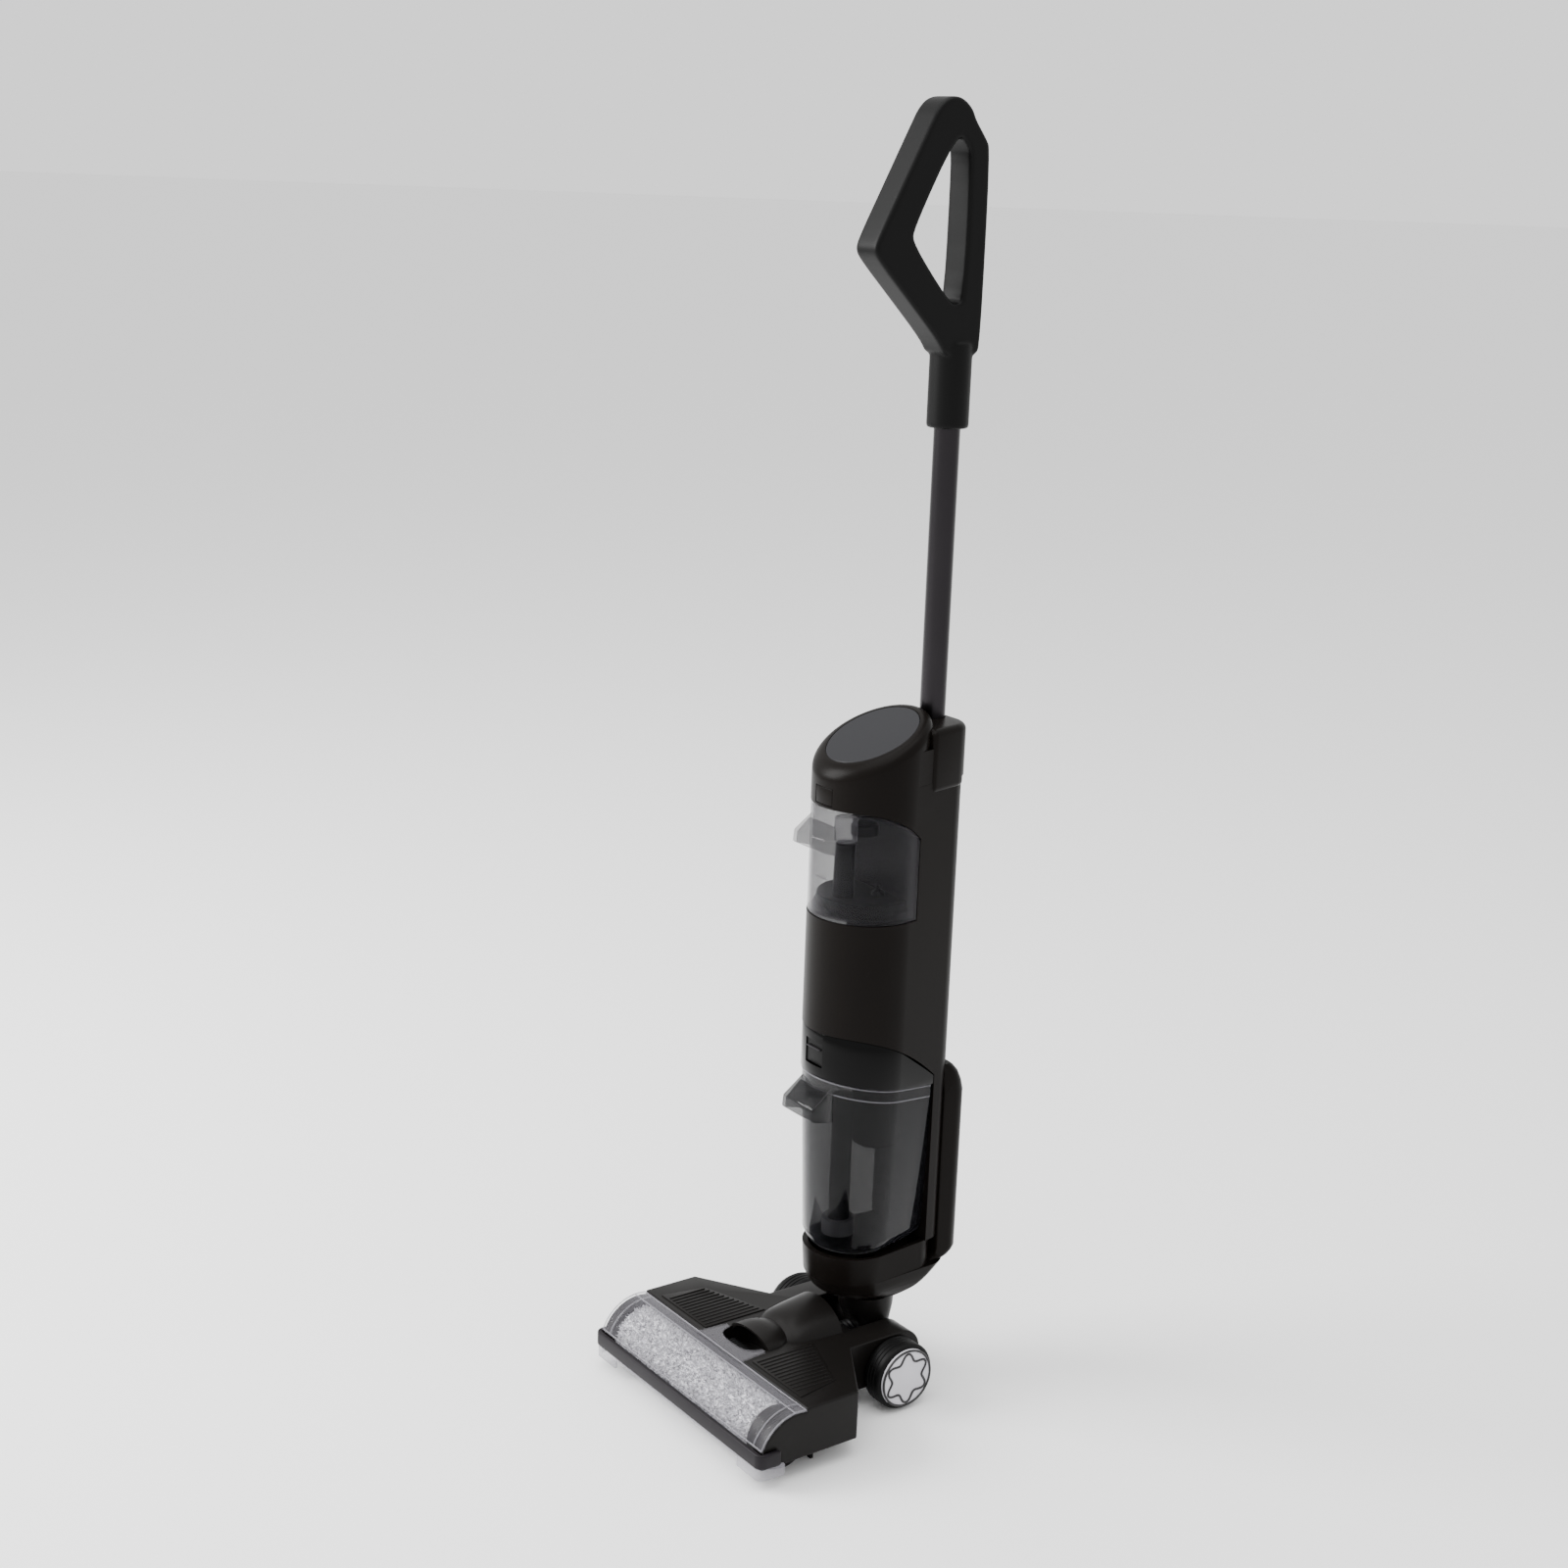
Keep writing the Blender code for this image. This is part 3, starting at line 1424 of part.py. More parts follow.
def head_base():
    """The head's bottom plate, set in from its sides, with the opening for the roller."""
    inset = 0.0130
    plan = [(x, y) for x, y in fork_plan(inset)]
    lowest = [(x, max(y, ROLLER_Y - 0.020)) for x, y in plan]
    lowest = [(x, min(y, PIVOT_Y - 0.012)) for x, y in lowest]
    part = plate("head_base", [lowest], BASE_BOTTOM_Z, SKIRT_Z - GAP, material=head_black())
    opening = box(
        "roller_opening",
        (-HEAD_HALF, -0.2, 0.0),
        (HEAD_HALF, SQUEEGEE_Y + SQUEEGEE_THICKNESS + GAP, 0.05),
        cutter=True,
    )
    cut(part, opening)
    return part


def squeegee():
    """The rubber lip behind the roller, whose flat foot rests on the floor."""
    half = CHAMBER_HALF - 0.006
    high = ROLLER_RADIUS - 0.0125
    return box(
        "squeegee",
        (-half, SQUEEGEE_Y, 0.0),
        (half, SQUEEGEE_Y + SQUEEGEE_THICKNESS, high),
        soft_black(),
    )


def rib_panel(side):
    """The raised panel beside the latch, which carries fine ribs."""
    outer = HEAD_HALF - 0.0175
    corners = [(0.036, -0.0850), (outer, -0.0850), (outer - 0.008, -0.0430), (0.036, -0.0200)]
    outline = [(side * x, y) for x, y in corners]
    if side < 0:
        outline.reverse()
    return plate(f"rib_panel_{side}", [outline], HEAD_TOP_Z - 0.001, HEAD_TOP_Z + 0.0015, cutter=True)


def brush_cover():
    """The clear cover over the roller, with a tab round the latch recess."""
    front_z = STRIP_TOP_Z + 0.0005
    outer = cover_arc(COVER_RADIUS, front_z, COVER_REAR_Y, 12)
    inner = cover_arc(COVER_RADIUS - COVER_WALL, front_z, COVER_REAR_Y, 12)
    loop = inner + list(reversed(outer))
    part = plate("brush_cover", [loop], -HEAD_HALF, HEAD_HALF, "YZ", clear_smoke())
    half = RECESS_HALF + 0.006
    back = RECESS_BACK_Y - 0.0125
    tab = box(
        "cover_tab",
        (-half, COVER_REAR_Y - 0.006, HEAD_TOP_Z + GAP),
        (half, back, HEAD_TOP_Z + 0.0020),
        cutter=True,
    )
    riser = box(
        "cover_riser",
        (-half, COVER_REAR_Y - 0.006, HEAD_TOP_Z - 0.0018),
        (half, COVER_REAR_Y - GAP / 2, HEAD_TOP_Z + 0.0010),
        cutter=True,
    )
    window = box(
        "tab_window",
        (-RECESS_HALF + 0.002, RECESS_FRONT_Y, HEAD_TOP_Z - 0.001),
        (RECESS_HALF - 0.002, back + 0.01, HEAD_TOP_Z + 0.01),
        cutter=True,
    )
    join(part, riser, tab)
    cut(part, window)
    return part


def cover_latch():
    """The sliding catch in the finger recess that frees the clear cover."""
    low = HEAD_TOP_Z - RECESS_DEPTH + GAP
    return box(
        "cover_latch",
        (-0.0170, RECESS_FRONT_Y + 0.0080, low),
        (0.0170, RECESS_FRONT_Y + 0.0150, low + 0.0105),
        inner_grey(),
    )


def bumper_strip():
    """The soft strip along the head's lower front edge, turned round its corners."""
    out, back, front = HEAD_HALF + 0.0052, -0.1200, ROLLER_Y - 0.0380
    inner_x, inner_y = HEAD_HALF + 0.0006, COVER_Y - CHEEK_RADIUS - 0.0006
    corner = 0.008
    left = arc((-out + corner, front + corner), corner, 180, 270, 4)
    right = arc((out - corner, front + corner), corner, 270, 360, 4)
    loop = [(-out, back)] + left + right + [(out, back)]
    loop += [(inner_x, back), (inner_x, inner_y), (-inner_x, inner_y), (-inner_x, back)]
    strip_grey = finish("strip_grey", (0.045, 0.038, 0.046), 0.50)
    return plate("bumper_strip", [loop], STRIP_LOW_Z, STRIP_TOP_Z, material=strip_grey)


def guard_outline(side, reach, depth, wall, corner):
    """Plan of one end of the front guard, round the head's corner."""
    out, front = HEAD_HALF + 0.0045, ROLLER_Y - 0.0372
    outer = arc((out - corner, front + corner), corner, 270, 360, 4)
    inner = arc((out - corner, front + corner), corner - wall, 360, 270, 4)
    loop = [(out - reach, front)] + outer + [(out, front + depth)]
    loop += [(out - wall, front + depth)] + inner + [(out - reach, front + wall)]
    return [(side * x, y) for x, y in loop]


def corner_guards():
    """The clear guard under the front strip: two deep corners on a thin rail."""
    low, high = GUARD_LOW_Z, STRIP_LOW_Z - GAP
    half, front = HEAD_HALF - 0.020, ROLLER_Y - 0.0372
    part = box(
        "corner_guards",
        (-half, front + 0.0004, high - 0.0022),
        (half, front + 0.0026, high - 0.0002),
        clear_smoke(),
    )
    for side in (-1, 1):
        loop = guard_outline(side, 0.034, 0.026, 0.0030, 0.008)
        join(part, plate(f"guard_{side}", [loop], low, high, cutter=True))
    return part


def roller_core():
    """The roller's plastic tube, closed by a hub with a stub shaft at the drive end."""
    left, right = -CHAMBER_HALF + 0.0015, CHAMBER_HALF - ROLLER_CAP_LENGTH - 0.0010
    out, inside = ROLLER_CORE_RADIUS, ROLLER_CORE_RADIUS - 0.0020
    tip = -PULLEY_OUTER_X + 0.0005
    profile = [
        (out, right),
        (out, left),
        (0.0040, left),
        (0.0040, tip),
        (0.0, tip),
        (0.0, left + 0.004),
        (inside, left + 0.004),
        (inside, right),
    ]
    return lathe("roller_core", profile, (0, ROLLER_Y, ROLLER_RADIUS), "X", inner_grey(), steps=ROUND_STEPS)


def roller_pile():
    """The soft pile sleeve on the roller."""
    left, right = -CHAMBER_HALF + 0.0025, CHAMBER_HALF - ROLLER_CAP_LENGTH - 0.0015
    core = ROLLER_CORE_RADIUS + GAP
    profile = [(ROLLER_RADIUS, right), (ROLLER_RADIUS, left), (core, left), (core, right)]
    return lathe("roller_pile", profile, (0, ROLLER_Y, ROLLER_RADIUS), "X", flock_grey(), steps=FINE_STEPS)


def roller_end_cap():
    """The dark cap on the roller's free end, with the stub that its bearing holds."""
    inner = CHAMBER_HALF - ROLLER_CAP_LENGTH
    outer = CHAMBER_HALF - 0.0015
    profile = [
        (0.0, CHAMBER_HALF + 0.0045),
        (0.0040, CHAMBER_HALF + 0.0045),
        (0.0040, outer),
        (ROLLER_RADIUS - 0.0040, outer),
        (ROLLER_RADIUS - 0.0020, outer - 0.0030),
        (ROLLER_RADIUS - 0.0020, inner),
        (0.0, inner),
    ]
    centre = (0, ROLLER_Y, ROLLER_RADIUS)
    return lathe("roller_end_cap", profile, centre, "X", head_black(), steps=ROUND_STEPS)


def roller_bearing():
    """The bearing ring of the roller in the right cheek."""
    start, length = CHAMBER_HALF + 0.0003, 0.0050
    profile = [(0.0090, start + length), (0.0090, start), (0.0043, start), (0.0043, start + length)]
    centre = (0, ROLLER_Y, ROLLER_RADIUS)
    return lathe("roller_bearing", profile, centre, "X", bright_steel(), steps=ROUND_STEPS)


def roller_pulley():
    """The pulley on the roller's stub shaft."""
    profile = [
        (ROLLER_PULLEY_RADIUS, -PULLEY_INNER_X),
        (ROLLER_PULLEY_RADIUS, -PULLEY_OUTER_X),
        (0.0040 + GAP, -PULLEY_OUTER_X),
        (0.0040 + GAP, -PULLEY_INNER_X),
    ]
    centre = (0, ROLLER_Y, ROLLER_RADIUS)
    return lathe("roller_pulley", profile, centre, "X", inner_grey(), steps=ROUND_STEPS)


def motor_pulley():
    """The brush motor's small pulley and its shaft."""
    profile = [
        (0.0, -HEAD_HALF + 0.0260),
        (0.0025, -HEAD_HALF + 0.0260),
        (0.0025, -PULLEY_INNER_X),
        (MOTOR_PULLEY_RADIUS, -PULLEY_INNER_X),
        (MOTOR_PULLEY_RADIUS, -PULLEY_OUTER_X),
        (0.0, -PULLEY_OUTER_X),
    ]
    return lathe("motor_pulley", profile, (0, MOTOR_Y, MOTOR_Z), "X", inner_grey(), steps=20)


def drive_belt():
    """The flat belt round both pulleys."""
    outer = hull_ring(belt_circles(BELT_THICKNESS + 0.0004), count=32)
    inner = hull_ring(belt_circles(0.0004), count=32)
    margin = 0.0008
    return plate(
        "drive_belt", [outer, inner], -PULLEY_OUTER_X + margin, -PULLEY_INNER_X - margin, "YZ", soft_black()
    )


def brush_motor():
    """The motor that drives the roller."""
    left = -HEAD_HALF + CHEEK + 0.0010
    length = 0.0600
    profile = [
        (0.0, left + length),
        (MOTOR_RADIUS, left + length),
        (MOTOR_RADIUS, left),
        (0.0031, left),
        (0.0031, left + 0.0150),
        (0.0, left + 0.0150),
    ]
    return lathe("brush_motor", profile, (0, MOTOR_Y, MOTOR_Z), "X", bright_steel(), steps=ROUND_STEPS)


def spray_bar():
    """The strip over the roller that spreads clean water on it."""
    low = ROLLER_RADIUS + ROLLER_RADIUS - 0.0005
    return box(
        "spray_bar",
        (-CHAMBER_HALF + 0.008, COVER_REAR_Y - 0.0070, low),
        (CHAMBER_HALF - 0.008, COVER_REAR_Y - 0.0015, low + 0.0020),
        inner_grey(),
    )


# Wheels


def tyre(side):
    """A rear wheel's rubber tread."""
    name = "tyre_left" if side < 0 else "tyre_right"
    wide = WHEEL_WIDTH
    profile = [
        (HUB_RADIUS + GAP, wide),
        (WHEEL_RADIUS - 0.0015, wide),
        (WHEEL_RADIUS, wide - 0.0030),
        (WHEEL_RADIUS, 0.0020),
        (WHEEL_RADIUS - 0.0015, 0.0),
        (HUB_RADIUS + GAP, 0.0),
    ]
    return side_lathe(name, profile, side, WHEEL_INNER_X, soft_black())


def side_lathe(name, profile, side, start, material):
    """Turn a profile about the wheels' axle, outwards on one side."""
    made = lathe(name, profile, (0, 0, 0), "Z", material, steps=FINE_STEPS)
    turn = turn_to("X") if side > 0 else turn_to("X") @ Matrix.Rotation(math.pi, 4, "Y")
    made.matrix_world = Matrix.Translation((side * start, WHEEL_Y, WHEEL_RADIUS)) @ turn
    return made


def hub(side):
    """A rear wheel's plastic hub."""
    name = "hub_left" if side < 0 else "hub_right"
    bore = PIN_RADIUS + GAP
    wide = WHEEL_WIDTH - 0.0020
    profile = [(bore, wide), (HUB_RADIUS, wide), (HUB_RADIUS, 0.0008), (bore, 0.0008)]
    return side_lathe(name, profile, side, WHEEL_INNER_X, head_black())


def hub_cap(side):
    """The pale cap on the outside of a rear wheel."""
    name = "hub_cap_left" if side < 0 else "hub_cap_right"
    profile = [
        (0.0, 0.0030),
        (CAP_RADIUS * 0.75, 0.0026),
        (CAP_RADIUS, 0.0016),
        (CAP_RADIUS, 0.0),
        (0.0, 0.0),
    ]
    return side_lathe(name, profile, side, WHEEL_OUTER_X + GAP, pale_grey())


def build():
    """Make every piece."""
    clear_scene()
    for make in (
        head_base,
        head_cover,
        brush_cover,
        cover_latch,
        bumper_strip,
        corner_guards,
        squeegee,
        spray_bar,
        roller_core,
        roller_pile,
        roller_end_cap,
        roller_bearing,
        roller_pulley,
        motor_pulley,
        drive_belt,
        brush_motor,
        suction_hose,
        neck_yoke,
        base_cup,
        main_housing,
        rear_cover,
        suction_motor,
        impeller,
        control_board,
        water_pump,
        display_lens,
        display_board,
        clean_latch,
        latch_spring,
        pole_button,
        battery_pack,
        battery_cells,
        clean_tank,
        clean_tank_cap,
        clean_tank_pipe,
        clean_tank_base,
        dirty_tank,
        dirty_tank_lid,
        dirty_latch,
        filter_basket,
        filter_core,
        standpipe,
        float_ring,
        pole,
        rear_grip,
    ):
        make()
    for side in (-1, 1):
        tyre(side)
        wheel_axle(side)
        tilt_pin(side)
        hub(side)
        hub_cap(side)
        handle_half(side)
    for name in BUTTONS:
        handle_button(name)


build()
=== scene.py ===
"""Finished look of an upright cordless wet dry floor scrubber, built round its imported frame.

Metres, +Z up, -Y is the front with the roller, X = 0 the plane of symmetry.
"""

import logging
import math
from dataclasses import dataclass
from enum import Enum
from typing import Callable, Sequence

import bmesh
import bpy
from mathutils import Matrix, Vector


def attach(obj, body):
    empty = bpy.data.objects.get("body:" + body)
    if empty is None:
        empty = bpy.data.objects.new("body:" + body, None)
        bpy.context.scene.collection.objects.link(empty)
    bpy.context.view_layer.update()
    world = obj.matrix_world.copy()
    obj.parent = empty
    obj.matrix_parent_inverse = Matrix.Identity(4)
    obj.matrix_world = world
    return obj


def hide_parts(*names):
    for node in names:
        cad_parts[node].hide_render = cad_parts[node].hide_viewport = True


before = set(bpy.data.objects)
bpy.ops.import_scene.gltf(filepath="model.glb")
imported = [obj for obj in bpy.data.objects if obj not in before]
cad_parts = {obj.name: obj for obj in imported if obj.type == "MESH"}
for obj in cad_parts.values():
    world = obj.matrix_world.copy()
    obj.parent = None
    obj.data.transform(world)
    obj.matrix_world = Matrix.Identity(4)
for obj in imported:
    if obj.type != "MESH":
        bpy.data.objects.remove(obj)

Point2 = tuple[float, float]
Point3 = tuple[float, float, float]
Circle = tuple[float, float, float]
Height = Callable[[float], float]

LOG = logging.getLogger("floor_scrubber")
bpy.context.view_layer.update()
GAP = 0.0003


class Join(Enum):
    """How two solids are combined."""

    ADD = "UNION"
    REMOVE = "DIFFERENCE"
    KEEP_COMMON = "INTERSECT"


class Plane(Enum):
    """The plane that an outline is drawn in."""

    PLAN = "XY"
    SIDE = "YZ"
    FRONT = "XZ"


class Axis(Enum):
    """The axis that a profile is turned about."""

    ACROSS = "X"
    ALONG = "Y"
    UP = "Z"


# ---------------------------------------------------------------- finishes


def linear(code: str) -> tuple[float, float, float, float]:
    """Turn a hex colour into linear values.

    Args:
        code: six hex digits.

    Returns:
        The colour with an alpha of 1.
    """
    parts = [int(code[i : i + 2], 16) / 255 for i in (0, 2, 4)]
    values = [p / 12.92 if p <= 0.04045 else ((p + 0.055) / 1.055) ** 2.4 for p in parts]
    return (*values, 1.0)


def socket(tree: bpy.types.NodeTree, name: str, kind: str, way: str = "INPUT") -> None:
    """Add a named socket to a node group."""
    tree.interface.new_socket(name=name, in_out=way, socket_type=kind)


def new_group(name: str, inputs: Sequence[Point2], outputs: Sequence[Point2]) -> bpy.types.NodeTree:
    """Make an empty shader group with its sockets.

    Args:
        name: the group's name.
        inputs: pairs of socket name and socket type.
        outputs: pairs of socket name and socket type.

    Returns:
        The group's node tree.
    """
    tree = bpy.data.node_groups.new(name, "ShaderNodeTree")
    for label, kind in inputs:
        socket(tree, label, kind)
    for label, kind in outputs:
        socket(tree, label, kind, "OUTPUT")
    return tree


def grain_group() -> bpy.types.NodeTree:
    """The fine texture of a moulded surface: colour drift, gloss drift and grain height.

    Returns:
        The group, built once.
    """
    found = bpy.data.node_groups.get("moulded_grain")
    if found is not None:
        return found
    tree = new_group(
        "moulded_grain",
        [
            ("Place", "NodeSocketVector"),
            ("Colour", "NodeSocketColor"),
            ("Shade", "NodeSocketColor"),
            ("Grain", "NodeSocketFloat"),
            ("Roughness", "NodeSocketFloat"),
            ("Spread", "NodeSocketFloat"),
        ],
        [
            ("Colour", "NodeSocketColor"),
            ("Roughness", "NodeSocketFloat"),
            ("Height", "NodeSocketFloat"),
        ],
    )
    nodes, links = tree.nodes, tree.links
    given = nodes.new("NodeGroupInput")
    out = nodes.new("NodeGroupOutput")
    drift = nodes.new("ShaderNodeTexNoise")
    drift.inputs["Scale"].default_value = 14.0
    drift.inputs["Detail"].default_value = 3.0
    fine = nodes.new("ShaderNodeTexNoise")
    fine.inputs["Detail"].default_value = 2.0
    mix = nodes.new("ShaderNodeMix")
    mix.data_type = "RGBA"
    span = nodes.new("ShaderNodeMath")
    span.operation = "MULTIPLY"
    centre = nodes.new("ShaderNodeMath")
    centre.operation = "SUBTRACT"
    centre.inputs[1].default_value = 0.5
    total = nodes.new("ShaderNodeMath")
    total.operation = "ADD"
    links.new(given.outputs["Place"], drift.inputs["Vector"])
    links.new(given.outputs["Place"], fine.inputs["Vector"])
    links.new(given.outputs["Grain"], fine.inputs["Scale"])
    links.new(drift.outputs["Fac"], mix.inputs["Factor"])
    links.new(given.outputs["Colour"], mix.inputs["A"])
    links.new(given.outputs["Shade"], mix.inputs["B"])
    links.new(drift.outputs["Fac"], centre.inputs[0])
    links.new(centre.outputs[0], span.inputs[0])
    links.new(given.outputs["Spread"], span.inputs[1])
    links.new(span.outputs[0], total.inputs[0])
    links.new(given.outputs["Roughness"], total.inputs[1])
    links.new(mix.outputs["Result"], out.inputs["Colour"])
    links.new(total.outputs[0], out.inputs["Roughness"])
    links.new(fine.outputs["Fac"], out.inputs["Height"])
    return tree


def dust_group() -> bpy.types.NodeTree:
    """A thin film of dust that gathers on surfaces that face up.

    Returns:
        The group, built once.
    """
    found = bpy.data.node_groups.get("dust_film")
    if found is not None:
        return found
    tree = new_group(
        "dust_film",
        [
            ("Place", "NodeSocketVector"),
            ("Colour", "NodeSocketColor"),
            ("Roughness", "NodeSocketFloat"),
            ("Amount", "NodeSocketFloat"),
        ],
        [("Colour", "NodeSocketColor"), ("Roughness", "NodeSocketFloat")],
    )
    nodes, links = tree.nodes, tree.links
    given = nodes.new("NodeGroupInput")
    out = nodes.new("NodeGroupOutput")
    facing = nodes.new("ShaderNodeNewGeometry")
    split = nodes.new("ShaderNodeSeparateXYZ")
    up = nodes.new("ShaderNodeMapRange")
    up.inputs["From Min"].default_value = 0.2
    up.inputs["From Max"].default_value = 1.0
    specks = nodes.new("ShaderNodeTexNoise")
    specks.inputs["Scale"].default_value = 60.0
    specks.inputs["Detail"].default_value = 8.0
    specks.inputs["Roughness"].default_value = 0.7
    both = nodes.new("ShaderNodeMath")
    both.operation = "MULTIPLY"
    share = nodes.new("ShaderNodeMath")
    share.operation = "MULTIPLY"
    share.use_clamp = True
    mix = nodes.new("ShaderNodeMix")
    mix.data_type = "RGBA"
    mix.inputs["B"].default_value = linear("6e6a66")
    rough = nodes.new("ShaderNodeMath")
    rough.operation = "MULTIPLY_ADD"
    rough.inputs[1].default_value = 0.35
    links.new(facing.outputs["Normal"], split.inputs[0])
    links.new(split.outputs["Z"], up.inputs["Value"])
    links.new(given.outputs["Place"], specks.inputs["Vector"])
    links.new(up.outputs["Result"], both.inputs[0])
    links.new(specks.outputs["Fac"], both.inputs[1])
    links.new(both.outputs[0], share.inputs[0])
    links.new(given.outputs["Amount"], share.inputs[1])
    links.new(share.outputs[0], mix.inputs["Factor"])
    links.new(given.outputs["Colour"], mix.inputs["A"])
    links.new(share.outputs[0], rough.inputs[0])
    links.new(given.outputs["Roughness"], rough.inputs[2])
    links.new(mix.outputs["Result"], out.inputs["Colour"])
    links.new(rough.outputs[0], out.inputs["Roughness"])
    return tree


def place_group(material: bpy.types.Material, tree: bpy.types.NodeTree) -> bpy.types.Node:
    """Put a group in a material.

    Args:
        material: the material.
        tree: the group.

    Returns:
        The new node.
    """
    node = material.node_tree.nodes.new("ShaderNodeGroup")
    node.node_tree = tree
    return node


@dataclass(frozen=True)
class Plastic:
    """A moulded plastic or rubber with grain and a little dust."""

    name: str
    colour: str
    shade: str
    roughness: float = 0.4
    spread: float = 0.08
    grain: float = 2200.0
    depth: float = 0.00004
    dust: float = 0.10
    coat: float = 0.0
    specular: float = 0.5
    metallic: float = 0.0

    def material(self) -> bpy.types.Material:
        """Build the material, or give the one already built.

        Returns:
            The material.
        """
        made = bpy.data.materials.get(self.name)
        if made is not None:
            return made
        made = bpy.data.materials.new(self.name)
        made.use_nodes = True
        nodes, links = made.node_tree.nodes, made.node_tree.links
        shader = nodes["Principled BSDF"]
        spot = nodes.new("ShaderNodeTexCoord")
        grain = place_group(made, grain_group())
        grain.inputs["Colour"].default_value = linear(self.colour)
        grain.inputs["Shade"].default_value = linear(self.shade)
        grain.inputs["Grain"].default_value = self.grain
        grain.inputs["Roughness"].default_value = self.roughness
        grain.inputs["Spread"].default_value = self.spread
        dust = place_group(made, dust_group())
        dust.inputs["Amount"].default_value = self.dust
        bump = nodes.new("ShaderNodeBump")
        bump.inputs["Strength"].default_value = 0.6
        bump.inputs["Distance"].default_value = self.depth
        links.new(spot.outputs["Object"], grain.inputs["Place"])
        links.new(spot.outputs["Object"], dust.inputs["Place"])
        links.new(grain.outputs["Colour"], dust.inputs["Colour"])
        links.new(grain.outputs["Roughness"], dust.inputs["Roughness"])
        links.new(grain.outputs["Height"], bump.inputs["Height"])
        links.new(dust.outputs["Colour"], shader.inputs["Base Color"])
        links.new(dust.outputs["Roughness"], shader.inputs["Roughness"])
        links.new(bump.outputs["Normal"], shader.inputs["Normal"])
        shader.inputs["Coat Weight"].default_value = self.coat
        shader.inputs["Coat Roughness"].default_value = 0.08
        shader.inputs["Specular IOR Level"].default_value = self.specular
        shader.inputs["Metallic"].default_value = self.metallic
        return made


@dataclass(frozen=True)
class ClearPlastic:
    """A see-through plastic whose walls look denser where they are seen edge on, and paler there from a
    painted rim highlight.
    """

    name: str
    colour: str
    # The paler colour towards grazing angles is a painted rim highlight.
    rim_highlight_colour: str
    face_alpha: float
    edge_alpha: float
    roughness: float = 0.05
    bend: float = 0.42

    def material(self) -> bpy.types.Material:
        """Build the material, or give the one already built.

        Returns:
            The material.
        """
        made = bpy.data.materials.get(self.name)
        if made is not None:
            return made
        made = bpy.data.materials.new(self.name)
        made.use_nodes = True
        nodes, links = made.node_tree.nodes, made.node_tree.links
        shader = nodes["Principled BSDF"]
        spot = nodes.new("ShaderNodeTexCoord")
        grain = place_group(made, grain_group())
        grain.inputs["Colour"].default_value = linear(self.colour)
        grain.inputs["Shade"].default_value = linear(self.colour)
        grain.inputs["Grain"].default_value = 300.0
        grain.inputs["Roughness"].default_value = self.roughness
        grain.inputs["Spread"].default_value = 0.04
        edge = nodes.new("ShaderNodeLayerWeight")
        edge.inputs["Blend"].default_value = self.bend
        sharp = nodes.new("ShaderNodeMath")
        sharp.operation = "POWER"
        sharp.inputs[1].default_value = 2.2
        span = nodes.new("ShaderNodeMapRange")
        span.inputs["To Min"].default_value = self.face_alpha
        span.inputs["To Max"].default_value = self.edge_alpha
        # Painted rim highlight: the colour is mixed towards the paler rim colour where the wall is seen edge
        # on.
        rim_highlight_mix = nodes.new("ShaderNodeMix")
        rim_highlight_mix.data_type = "RGBA"
        rim_highlight_mix.inputs["B"].default_value = linear(self.rim_highlight_colour)
        links.new(spot.outputs["Object"], grain.inputs["Place"])
        links.new(edge.outputs["Facing"], sharp.inputs[0])
        links.new(sharp.outputs[0], rim_highlight_mix.inputs["Factor"])
        links.new(grain.outputs["Colour"], rim_highlight_mix.inputs["A"])
        links.new(rim_highlight_mix.outputs["Result"], shader.inputs["Base Color"])
        links.new(grain.outputs["Roughness"], shader.inputs["Roughness"])
        links.new(sharp.outputs[0], span.inputs["Value"])
        links.new(span.outputs["Result"], shader.inputs["Alpha"])
        shader.inputs["Specular IOR Level"].default_value = 0.18
        made.surface_render_method = "BLENDED"
        return made


@dataclass(frozen=True)
class Flock:
    """The short, speckled pile of the roller."""

    name: str
    light: str
    dark: str

    def material(self) -> bpy.types.Material:
        """Build the material, or give the one already built.

        Returns:
            The material.
        """
        made = bpy.data.materials.get(self.name)
        if made is not None:
            return made
        made = bpy.data.materials.new(self.name)
        made.use_nodes = True
        nodes, links = made.node_tree.nodes, made.node_tree.links
        shader = nodes["Principled BSDF"]
        spot = nodes.new("ShaderNodeTexCoord")
        specks = nodes.new("ShaderNodeTexNoise")
        specks.inputs["Scale"].default_value = 330.0
        specks.inputs["Detail"].default_value = 4.0
        specks.inputs["Roughness"].default_value = 0.75
        ramp = nodes.new("ShaderNodeValToRGB")
        ramp.color_ramp.elements[0].position = 0.36
        ramp.color_ramp.elements[0].color = linear(self.dark)
        ramp.color_ramp.elements[1].position = 0.60
        ramp.color_ramp.elements[1].color = linear(self.light)
        links.new(spot.outputs["Object"], specks.inputs["Vector"])
        links.new(specks.outputs["Fac"], ramp.inputs["Fac"])
        links.new(ramp.outputs["Color"], shader.inputs["Base Color"])
        shader.inputs["Roughness"].default_value = 0.95
        shader.inputs["Sheen Weight"].default_value = 0.4
        shader.inputs["Specular IOR Level"].default_value = 0.2
        return made


